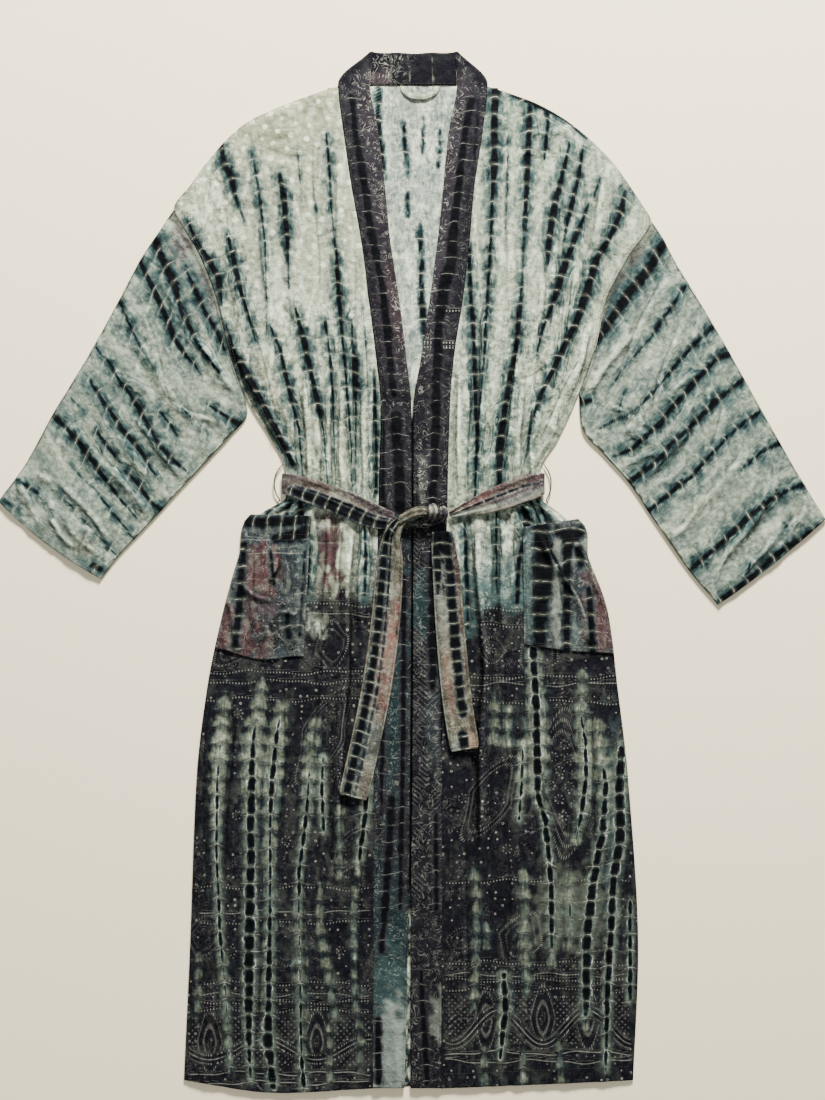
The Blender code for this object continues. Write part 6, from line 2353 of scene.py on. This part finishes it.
BELT_STREAKS = {
    # in millimetres from the centre line and along the belt: across, along, half width, ink
    "belt_right": (
        ((8, 30, 6, 1), (8, 70, 6.5, 1), (8, 150, 6, 1), (6, 190, 4, 0.9)),
        ((0, 30, 1, 0.9), (-1, 110, 1, 0.9), (0, 170, 1, 0.8)),
    ),
    "belt_left": (((-3, 20, 1, 0.7), (-3, 80, 1.2, 0.8), (-1, 150, 1, 0.6)),),
    "belt_tail_right": (
        ((-9, 8, 3, 0.9), (-9, 40, 4.5, 1), (-9, 200, 4.2, 1), (-9, 345, 4.2, 1)),
        ((0, 10, 0.8, 0.9), (1, 180, 0.9, 0.9), (1, 340, 0.8, 0.8)),
    ),
    "belt_tail_left": (
        ((5, 20, 4.5, 1), (5, 120, 5.5, 1), (5, 214, 5, 1)),
        ((-11, 2, 5, 1), (-11, 46, 4.5, 1), (-13, 74, 1.5, 0.7)),
        ((2, 0, 14, 1), (2, 16, 13, 1), (5, 24, 5, 1)),
        ((0, 240, 6, 1), (0, 262, 5, 1)),
    ),
}

BELT_PATCHES = {
    # across, along, radius across, radius along, colour, strength
    "belt_right": (
        (-8, 60, 7, 60, "beige", 0.5),
        (-10, 60, 6, 40, "rose", 0.3),
        (16, 90, 1.5, 110, "grey", 0.8),
    ),
    "belt_left": (
        (9, 80, 6, 90, "grey", 0.55),
        (15, 90, 3, 90, "beige", 0.8),
        (9, 130, 8, 36, "grey", 0.8),
        (-8, 80, 10, 90, "rose", 0.5),
        (-8, 90, 9, 80, "salmon", 0.35),
        (-9, 60, 5, 20, "mauve", 0.6),
        (-2, 24, 8, 16, "mauve", 0.5),
    ),
    "belt_tail_right": (
        (10, 20, 10, 64, "olive", 1),
        (10, 86, 8, 24, "beige", 0.55),
        (9, 166, 12, 70, "salmon", 1),
        (-1, 176, 4, 60, "salmon", 0.7),
        (10, 196, 9, 30, "rose", 0.55),
        (10, 262, 9, 40, "grey", 0.35),
        (10, 310, 9, 40, "beige", 0.55),
        (-17, 170, 1.2, 200, "beige", 0.8),
        (17, 170, 1, 200, "beige", 0.6),
    ),
    "belt_tail_left": (
        (0, 16, 30, 62, "ink", 1),
        (-8, 100, 6, 40, "grey", 0.6),
        (-8, 172, 6, 60, "salmon", 0.5),
        (-7, 226, 5, 30, "beige", 0.5),
        (14, 80, 2.5, 70, "rose", 0.9),
        (14, 190, 3, 60, "rose", 0.4),
        (-17, 150, 1, 150, "grey", 0.9),
        (-9, 254, 7, 18, "grey", 0.8),
        (10, 254, 8, 18, "peach", 0.7),
    ),
}


def place_belt(name, base, outwards, local, ground):
    """Makes and dyes a stretch of the belt. Local says where its points are across and along it."""
    piece, body = ribbon("robe_" + name, base, outwards, DOUBLED_CLOTH, "belt_cloth")
    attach(piece, "root")
    across, along = (1000 * spread(values).ravel() for values in np.broadcast_arrays(*local))
    dye = Dye(across, along, DYE_SEEDS[name])
    dye.fill(ground)
    dye.patches(BELT_PATCHES.get(name, ()), ragged=0.2)
    dye.phase = along / 15.0
    dye.streaks(BELT_STREAKS.get(name, ()), feather=1.4, bow=0.6, net=0.8, span=3.0)
    dye.scribble[:] = 0.17
    dye.mottle[:] = 0.17
    finish_dye(piece, dye, body.reshape(-1, 3))
    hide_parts(name)
    GRIDS[name] = base + outwards[:, None] * DOUBLED_CLOTH


def make_belt_back():
    """The stretch of belt that runs flat on the ground under the back."""
    along = np.linspace(-BELT_BACK_HALF, BELT_BACK_HALF, 120)[:, None]
    across = np.linspace(-0.5, 0.5, 18)[None, :] * (BELT_WIDTH - BELT_ROUNDING)
    x, y = np.broadcast_arrays(along, TOP_Y - BELT_DOWN + across)
    base = np.stack([x, y, np.full(x.shape, DOUBLED_CLOTH)], axis=2)
    outwards = np.tile([0.0, 0.0, -1.0], (len(base), 1))
    place_belt("belt_back", base, outwards, (across, along + BELT_BACK_HALF), "charcoal")


def make_belt_stretch(side):
    """From the back stretch round the side seam and over the front to the knot."""
    below = Lying(["robe_front_" + side, "robe_neckband_" + side])
    sign = SIDES[side]
    table = by_distance(BELT_STRETCHES[side])
    total = table[-1][0]
    centre_x, centre_down, width_at = (curve_through(table, i) for i in (1, 2, 3))
    edge_x = table[0][1]
    low = DOUBLED_CLOTH
    high = over_back(BELT_DOWN) + CLOTH + 0.0022
    radius = (high - low) / 2
    under_end = sign * (BELT_BACK_HALF + SEAM_GAP)
    across = np.linspace(-0.5, 0.5, 20)
    rows, faces_to, distances = [], [], []

    # Under the back to the side seam
    for step in range(8):
        share = step / 8
        x = mix(under_end, edge_x, share)
        width = mix(BELT_WIDTH, table[0][3], share) - BELT_ROUNDING
        rows.append([(x, TOP_Y - BELT_DOWN + a * width, low) for a in across])
        faces_to.append((0.0, 0.0, -1.0))
        distances.append(abs(x - under_end))
    gone = abs(edge_x - under_end)

    # Half a turn round the side seam
    width = table[0][3] - BELT_ROUNDING
    for step in range(17):
        angle = math.pi * step / 16
        x = edge_x + sign * radius * math.sin(angle)
        z = low + radius * (1 - math.cos(angle))
        rows.append([(x, TOP_Y - BELT_DOWN + a * width, z) for a in across])
        faces_to.append((sign * math.sin(angle), 0.0, -math.cos(angle)))
        distances.append(gone + radius * angle)
    gone += math.pi * radius
    turned = len(rows)

    # Over the front
    steps = int(total / 0.0016)
    for step in range(1, steps + 1):
        distance = total * step / steps
        ahead = np.array([centre_x(distance + 0.004), -centre_down(distance + 0.004)])
        behind = np.array([centre_x(distance - 0.004), -centre_down(distance - 0.004)])
        run = (ahead - behind) / np.linalg.norm(ahead - behind)
        normal = np.array([-run[1], run[0]]) * (1 if run[0] > 0 else -1)
        middle = np.array([centre_x(distance), TOP_Y - centre_down(distance)])
        width = width_at(distance) - 0.0016
        row = []
        for a in across:
            x, y = middle + normal * a * width
            height = below.top(float(x), float(y), 0.006) or high
            tuck = 0.0006 * math.cos(a * 13 + 1.5 * math.sin(distance * 60))
            tuck += 0.0004 * math.cos(a * 29 + distance * 40)
            z = max(high, height + LAY_GAP) + CREASE_DEPTH + tuck * ramp(distance, 0.0, 0.02)
            row.append((x, y, z))
        rows.append(row)
        faces_to.append((0.0, 0.0, 1.0))
        distances.append(gone + distance)
    base = np.array(rows)
    over = base[turned:, :, 2]
    base[turned:, :, 2] = np.maximum(soften(over, 3), over - 0.0003)
    local = (-across[None, :] * 0.030, np.array(distances)[:, None])
    place_belt("belt_" + side, base, np.array(faces_to), local, "mauve")


UNDER_KNOT = ("robe_front_right", "robe_front_left", "robe_neckband_right", "robe_neckband_left")


def make_belt_tail(side):
    """A hanging end of the belt, lying down the front from the knot, with its end folded over and sewn."""
    below = Lying([*UNDER_KNOT, "robe_belt_right"])
    table = by_distance(BELT_TAILS[side])
    total = table[-1][0]
    along = np.linspace(0.0, 1.0, int(total / 0.0017))[:, None]
    distance = along * total
    centre_x, centre_down, width = (curve_through(table, i)(distance) for i in (1, 2, 3))
    step_x = curve_through(table, 1)(distance + 0.01) - curve_through(table, 1)(distance - 0.01)
    step_y = curve_through(table, 2)(distance - 0.01) - curve_through(table, 2)(distance + 0.01)
    length = np.hypot(step_x, step_y)
    rounded = 1 - 0.10 * ramp(distance, total - 0.006, total)
    across = np.linspace(-0.5, 0.5, 21)[None, :] * (width - BELT_ROUNDING) * rounded
    x = centre_x - step_y / length * across
    y = TOP_Y - centre_down + step_x / length * across
    coarse_x, coarse_y = resample(x, 60, 9), resample(y, 60, 9)
    floor = below.tops(coarse_x, coarse_y, 0.005, np.full(coarse_x.shape, 0.008))
    floor = resample(soften(floor, 2), *x.shape)
    lift = TAIL_START_LIFT * (1 - ramp(along, 0.0, 0.12))
    share = across / width
    folded = 0.0007 * ramp(distance, total - 0.0275, total - 0.0255)
    gathered = (1 - ramp(distance, 0.0, 0.12)) * 0.0011 * np.cos(share * 16 + 1.0)
    gathered = gathered + 0.0004 * np.cos(share * 11)
    wave = 0.0005 * np.sin(distance * 46 + share * 4) + 0.00025 * np.sin(distance * 120 + share * 7)
    z = floor + LAY_GAP + lift + CREASE_DEPTH + gathered + wave + folded
    base = np.stack([x, y, z], axis=2)
    if (base[:, -1, 0] - base[:, 0, 0]).mean() < 0:
        base = base[:, ::-1]
    local = (np.linspace(-0.5, 0.5, 21)[None, :] * BELT_WIDTH, distance)
    outwards = np.tile([0.0, 0.0, 1.0], (len(base), 1))
    place_belt("belt_tail_" + side, base, outwards, local, "aubergine" if side == "right" else "olive")


def swept(route, half_wide, half_thick, around, dents):
    """A closed strand along a route, oval across, with soft lengthwise ridges and rounded ends."""
    steps = len(route)
    along = np.gradient(route, axis=0)
    along = along / np.linalg.norm(along, axis=1)[:, None]
    beside = np.cross(along, [0.0, 0.0, 1.0])
    beside = beside / np.linalg.norm(beside, axis=1)[:, None]
    upwards = np.cross(beside, along)
    angle = np.linspace(0, math.tau, around, endpoint=False)[None, :]
    share = np.linspace(-1, 1, steps)[:, None]
    close = np.sqrt(np.maximum(1 - np.abs(share) ** 6, 0.0004))
    ridges = 1 + 0.16 * np.cos(dents * angle + 2.2 * share) * np.maximum(np.sin(angle), 0)
    wide = (half_wide[:, None] * close * ridges * np.cos(angle))[:, :, None] * beside[:, None]
    thick = (half_thick[:, None] * close * ridges * np.sin(angle))[:, :, None] * upwards[:, None]
    return route[:, None] + wide + thick


def make_knot():
    """The knot: the strands of the belt that turn over and under each other."""
    below = Lying(UNDER_KNOT)
    grounds = {"over": "olive", "wrap": "mauve", "pinch": "plum", "under": "ink"}
    all_points, all_faces, all_grounds, all_painted_shades = [], [], [], []
    start = 0
    for name, rows in KNOT_STRANDS.items():
        table = by_distance(rows)
        at = np.linspace(0, table[-1][0], 44)
        x, down, lift, wide, thick = (curve_through(table, i)(at) for i in range(1, 6))
        floor = np.array([below.top(float(a), float(TOP_Y - b), 0.004) or 0.008 for a, b in zip(x, down)])
        floor = np.convolve(np.pad(floor, 4, mode="edge"), np.ones(9) / 9, mode="valid")
        route = np.stack([x, TOP_Y - down, floor + lift], axis=1)
        dents = 8 if name == "over" else 6
        shape = swept(route, wide, thick, 26, dents)
        points = shape.reshape(-1, 3)
        faces = face_out(points, grid_faces(*shape.shape[:2], wrap=True))
        around = shape.shape[1]
        for end, flip in ((0, False), (shape.shape[0] - 1, True)):
            cap = [end * around + i for i in range(around)]
            middle = len(points)
            points = np.concatenate([points, points[cap].mean(axis=0)[None]])
            outside = np.cross(points[cap[1]] - points[cap[0]], points[middle] - points[cap[0]])
            heading = route[-1] - route[-2] if flip else route[0] - route[1]
            for i in range(around):
                triangle = (cap[i], cap[(i + 1) % around], middle)
                faces.append(triangle if outside @ heading > 0 else triangle[::-1])
        all_points.append(points)
        all_faces += [tuple(start + corner for corner in face) for face in faces]
        all_grounds.append(np.tile(np.array(colour_of(grounds[name])), (len(points), 1)))
        # Painted shade in each strand's grooves and at its end centres, painted highlight on its ridges
        turn = np.linspace(0, math.tau, around, endpoint=False)[None, :]
        ridge = np.cos(dents * turn + 2.2 * np.linspace(-1, 1, len(shape))[:, None])
        all_painted_shades.append(np.concatenate([0.40 + 0.50 * ridge.ravel(), [0.1, 0.1]]))
        start += len(points)
    points = np.concatenate(all_points)
    piece = add_piece("robe_belt_knot", points, all_faces, cloth_material("belt_cloth"))
    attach(piece, "root")
    dye = dye_at(points, "belt_knot")
    dye.ground = np.concatenate(all_grounds)
    dye.patches(KNOT_PATCHES, ragged=0.2)
    dye.streak(((-14, 562, 0.8, 0.9), (4, 553, 1.0, 1.0), (16, 550, 0.8, 0.9)), feather=0.8, bow=0.0, net=0.2)
    dye.scribble[:] = 0.15
    dye.mottle[:] = 0.20
    dye.hollow = np.clip(np.concatenate(all_painted_shades), 0.0, 1.0)
    finish_dye(piece, dye, points)
    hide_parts("belt_knot")


def make_belt_loop(side):
    """A loop of thread on a side seam, which carries the belt."""
    name = "belt_loop_" + side
    steps = np.linspace(-1.0, 1.0, 48)
    down = BELT_DOWN + steps * LOOP_HALF_HEIGHT
    reach = LOOP_STANDS_OUT[side] * (1 - np.abs(steps) ** 2.4) + LOOP_THREAD / 2 + BELT_ROUNDING
    x = EDGE[side](down) + SIDES[side] * reach
    route = np.stack([x, TOP_Y - down, 0.0026 + 0.0018 * bump(steps)], axis=1)
    radius = np.full(len(route), LOOP_THREAD / 2)
    shape = swept(route, radius, radius, 10, 0)
    points = shape.reshape(-1, 3)
    faces = face_out(points, grid_faces(*shape.shape[:2], wrap=True))
    faces += [tuple(range(10)), tuple(range(len(points) - 1, len(points) - 11, -1))]
    piece = add_piece("robe_" + name, points, faces, thread_material())
    shaped = bmesh.new()
    shaped.from_mesh(piece.data)
    bmesh.ops.recalc_face_normals(shaped, faces=shaped.faces)
    shaped.to_mesh(piece.data)
    shaped.free()
    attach(piece, "root")
    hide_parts(name)


def make_hanger_loop():
    """The loop of cloth inside the back of the neck."""
    along = np.linspace(0.0, 1.0, 60)[:, None]
    angle = math.pi * (1 - along)
    lean = np.hypot(np.cos(angle) / HANGER_HALF_SPAN, np.sin(angle) / HANGER_DIP)
    normal_x = np.cos(angle) / HANGER_HALF_SPAN / lean
    normal_down = np.sin(angle) / HANGER_DIP / lean
    across = np.linspace(-0.5, 0.5, 9)[None, :] * (HANGER_WIDTH - 0.001)
    x = HANGER_CENTRE + HANGER_HALF_SPAN * np.cos(angle) + normal_x * across
    down = HANGER_DOWN + HANGER_DIP * np.sin(angle) + normal_down * across
    z = CLOTH + SEAM_GAP + 0.0016 * np.sin(angle) + 0.0002 * np.cos(across * 900)
    base = np.stack(np.broadcast_arrays(x, TOP_Y - down, z), axis=2)
    outwards = np.tile([0.0, 0.0, 1.0], (len(base), 1))
    piece, body = ribbon("robe_hanger_loop", base, outwards, CLOTH, "light_cloth")
    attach(piece, "root")
    points = body.reshape(-1, 3)
    dye = dye_at(points, "hanger_loop")
    dye.fill("cream")
    dye.scatter[:] = 0.3
    dye.scribble[:] = 0.3
    finish_dye(piece, dye, points)
    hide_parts("hanger_loop")


def seam_lines():
    """Where the stitches run: lists of points on the faces of the pieces already made."""
    lines = []
    for side in SIDES:
        front = GRIDS["front_" + side]
        lines += [front[-9, 4:-2], front[: int(len(front) * 0.335), 3]]
        band = GRIDS["neckband_" + side]
        lines += [band[22:, 1], band[22:, -2]]
        pocket = GRIDS["pocket_" + side]
        lines += [pocket[2:-2, 2], pocket[-3, 2:-2], pocket[12, 2:-2], pocket[30:-2, -3]]
        sleeve = GRIDS["sleeve_" + side]
        lines += [sleeve[-9, 2:-2], sleeve[2, 3:-3]]
        tail = GRIDS["belt_tail_" + side]
        lines += [tail[4:-2, 1], tail[4:-2, -2], tail[-16, 1:-1], tail[-3, 1:-1]]
    band = GRIDS["neckband_back"]
    return [*lines, band[3:-3, 1], band[3:-3, -2]]


STITCH_THICKNESS = 0.00055
STITCH_LIFT = 0.00012


def make_stitches():
    """Short stitches laid end to end along the seams and hems."""
    clear_out("robe_stitches")
    points, edges = [], []
    for line in seam_lines():
        start = len(points)
        points += [tuple(point + np.array([0.0, 0.0, STITCH_LIFT])) for point in line]
        edges += [(i, i + 1) for i in range(start, len(points) - 1)]
    routes = bpy.data.meshes.new("stitch_routes")
    routes.from_pydata(points, edges, [])
    piece = bpy.data.objects.new("robe_stitches", routes)
    bpy.context.scene.collection.objects.link(piece)
    material = thread_material()

    tree = bpy.data.node_groups.new("Stitches", "GeometryNodeTree")
    tree.interface.new_socket("Routes", in_out="INPUT", socket_type="NodeSocketGeometry")
    values = {"Pitch": sizes().stitch_pitch, "Length": sizes().stitch_length, "Thickness": STITCH_THICKNESS}
    sockets = {}
    for label in values:
        sockets[label] = tree.interface.new_socket(label, in_out="INPUT", socket_type="NodeSocketFloat")
    tree.interface.new_socket("Stitches", in_out="OUTPUT", socket_type="NodeSocketGeometry")
    w = Wiring(tree)
    given = w.add("NodeGroupInput").outputs
    curves = w.add("GeometryNodeMeshToCurve", {0: given["Routes"]})
    inputs = {"Curve": curves.outputs[0], "Length": given["Pitch"]}
    spaced = w.add("GeometryNodeCurveToPoints", inputs, mode="LENGTH")
    ball = w.add("GeometryNodeMeshUVSphere", {"Segments": 6, "Rings": 4, "Radius": 0.5})
    size = w.add("ShaderNodeCombineXYZ", {0: given["Thickness"], 1: given["Thickness"], 2: given["Length"]})
    inputs = {name: spaced.outputs[name] for name in ("Points", "Rotation")}
    inputs.update(Instance=ball.outputs["Mesh"], Scale=size.outputs[0])
    placed = w.add("GeometryNodeInstanceOnPoints", inputs)
    real = w.add("GeometryNodeRealizeInstances", {0: placed.outputs[0]})
    painted = w.add("GeometryNodeSetMaterial", {"Geometry": real.outputs[0], "Material": material})
    w.put(w.add("NodeGroupOutput").inputs["Stitches"], painted.outputs[0])
    modifier = piece.modifiers.new("Stitches", "NODES")
    modifier.node_group = tree
    for label, value in values.items():
        modifier[sockets[label].identifier] = value
    bpy.context.view_layer.update()
    evaluated = piece.evaluated_get(bpy.context.evaluated_depsgraph_get())
    plain = bpy.data.meshes.new_from_object(evaluated)
    piece.modifiers.clear()
    piece.data = plain
    plain.polygons.foreach_set("use_smooth", np.ones(len(plain.polygons), bool))
    bpy.data.meshes.remove(routes)
    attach(piece, "root")


FLOOR_HALF = 4.0
FLOOR_HEIGHT = -0.0003
LAMPS = (
    # name, place, size, power, colour
    ("key_light", (0.45, 2.9, 1.45), 0.7, 500.0, (1.0, 0.965, 0.92)),
    ("fill_light", (-0.6, -0.4, 3.2), 2.6, 30.0, (0.95, 0.975, 1.0)),
)


def make_stage():
    """The floor, the soft lights and the camera above."""
    clear_out("stage_floor")
    floor = bpy.data.materials.get("stage_floor") or bpy.data.materials.new("stage_floor")
    floor.use_nodes = True
    w = Wiring(floor.node_tree)
    place = w.add("ShaderNodeTexCoord").outputs["Object"]
    colour = w.shaded(tuple(colour_of("floor")), w.fit(w.noise(place, 3.0), 0.03, 0.985))
    inputs = {"Base Color": colour, "Roughness": 0.9, "Specular IOR Level": 0.1}
    shader = w.add("ShaderNodeBsdfPrincipled", inputs)
    w.put(w.add("ShaderNodeOutputMaterial").inputs["Surface"], shader.outputs[0])
    signs = ((-1, -1), (1, -1), (1, 1), (-1, 1))
    corners = [(x * FLOOR_HALF, y * FLOOR_HALF, FLOOR_HEIGHT) for x, y in signs]
    piece = add_piece("stage_floor", corners, [(0, 1, 2, 3)], floor)

    world = bpy.data.worlds.get("stage_light") or bpy.data.worlds.new("stage_light")
    world.use_nodes = True
    background = world.node_tree.nodes["Background"]
    background.inputs["Color"].default_value = (1.0, 0.985, 0.965, 1.0)
    background.inputs["Strength"].default_value = 0.30
    bpy.context.scene.world = world
    for name, spot, size, power, colour in LAMPS:
        clear_out(name)
        lamp = bpy.data.lights.new(name, "AREA")
        lamp.shape = "DISK"
        lamp.size = size
        lamp.energy = power
        lamp.color = colour
        light = bpy.data.objects.new(name, lamp)
        light.location = spot
        light.rotation_euler = (-Vector(spot)).to_track_quat("-Z", "Y").to_euler()
        bpy.context.scene.collection.objects.link(light)
    clear_out("camera")
    lens = bpy.data.cameras.new("camera")
    lens.sensor_width = 36.0
    lens.lens = 66.6
    camera = bpy.data.objects.new("camera", lens)
    camera.location = (0.0006, 0.0254, 2.4)
    bpy.context.scene.collection.objects.link(camera)
    bpy.context.scene.camera = camera


# Operators and panel


class RobeStage(bpy.types.Operator):
    """Makes the floor, the lights and the camera"""

    bl_idname = "robe.stage"
    bl_label = "Stage"
    bl_options = {"REGISTER", "UNDO"}

    def execute(self, context):
        make_stage()
        return {"FINISHED"}


class RobeBack(bpy.types.Operator):
    """Makes the back panel"""

    bl_idname = "robe.back"
    bl_label = "Back"
    bl_options = {"REGISTER", "UNDO"}

    def execute(self, context):
        make_back()
        return {"FINISHED"}


class RobeFronts(bpy.types.Operator):
    """Makes the two fronts"""

    bl_idname = "robe.fronts"
    bl_label = "Fronts"
    bl_options = {"REGISTER", "UNDO"}

    def execute(self, context):
        for side in SIDES:
            make_front(side)
        return {"FINISHED"}


class RobeSleeves(bpy.types.Operator):
    """Makes the two sleeves"""

    bl_idname = "robe.sleeves"
    bl_label = "Sleeves"
    bl_options = {"REGISTER", "UNDO"}

    def execute(self, context):
        for side in SIDES:
            make_sleeve(side)
        return {"FINISHED"}


class RobeNeckband(bpy.types.Operator):
    """Makes the three pieces of the neckband"""

    bl_idname = "robe.neckband"
    bl_label = "Neckband"
    bl_options = {"REGISTER", "UNDO"}

    def execute(self, context):
        make_neckband_back()
        for side in SIDES:
            make_neckband_side(side)
        return {"FINISHED"}


class RobePockets(bpy.types.Operator):
    """Makes the two patch pockets on the fronts"""

    bl_idname = "robe.pockets"
    bl_label = "Pockets"
    bl_options = {"REGISTER", "UNDO"}

    def execute(self, context):
        for side in SIDES:
            make_pocket(side)
        return {"FINISHED"}


class RobeBelt(bpy.types.Operator):
    """Makes the belt with its knot and its hanging ends"""

    bl_idname = "robe.belt"
    bl_label = "Belt"
    bl_options = {"REGISTER", "UNDO"}

    def execute(self, context):
        make_belt_back()
        for side in SIDES:
            make_belt_stretch(side)
        for side in SIDES:
            make_belt_tail(side)
        make_knot()
        return {"FINISHED"}


class RobeLoops(bpy.types.Operator):
    """Makes the thread loops and the hanger loop"""

    bl_idname = "robe.loops"
    bl_label = "Loops"
    bl_options = {"REGISTER", "UNDO"}

    def execute(self, context):
        for side in SIDES:
            make_belt_loop(side)
        make_hanger_loop()
        return {"FINISHED"}


class RobeStitches(bpy.types.Operator):
    """Makes the stitches along the seams and hems"""

    bl_idname = "robe.stitches"
    bl_label = "Stitches"
    bl_options = {"REGISTER", "UNDO"}

    def execute(self, context):
        make_stitches()
        return {"FINISHED"}


OPERATORS = (
    RobeStage,
    RobeBack,
    RobeFronts,
    RobeSleeves,
    RobeNeckband,
    RobePockets,
    RobeBelt,
    RobeLoops,
    RobeStitches,
)


class RobePanel(bpy.types.Panel):
    """Lists the steps of the robe, its sizes and its colours"""

    bl_idname = "VIEW3D_PT_robe"
    bl_label = "Robe"
    bl_space_type = "VIEW_3D"
    bl_region_type = "UI"
    bl_category = "Robe"

    def draw(self, context):
        for operator in OPERATORS:
            self.layout.operator(operator.bl_idname)
        for group in (context.scene.robe_sizes, context.scene.robe_colours):
            box = self.layout.box()
            for name in group.__annotations__:
                box.prop(group, name)


CLASSES = (RobeColours, RobeSizes, *OPERATORS, RobePanel)


def register():
    for made in CLASSES:
        bpy.utils.register_class(made)
    bpy.types.Scene.robe_colours = bpy.props.PointerProperty(type=RobeColours)
    bpy.types.Scene.robe_sizes = bpy.props.PointerProperty(type=RobeSizes)


def unregister():
    del bpy.types.Scene.robe_sizes
    del bpy.types.Scene.robe_colours
    for made in reversed(CLASSES):
        bpy.utils.unregister_class(made)


def main():
    register()
    for operator in OPERATORS:
        getattr(bpy.ops.robe, operator.bl_idname.split(".")[1])()


if __name__ == "__main__":
    main()
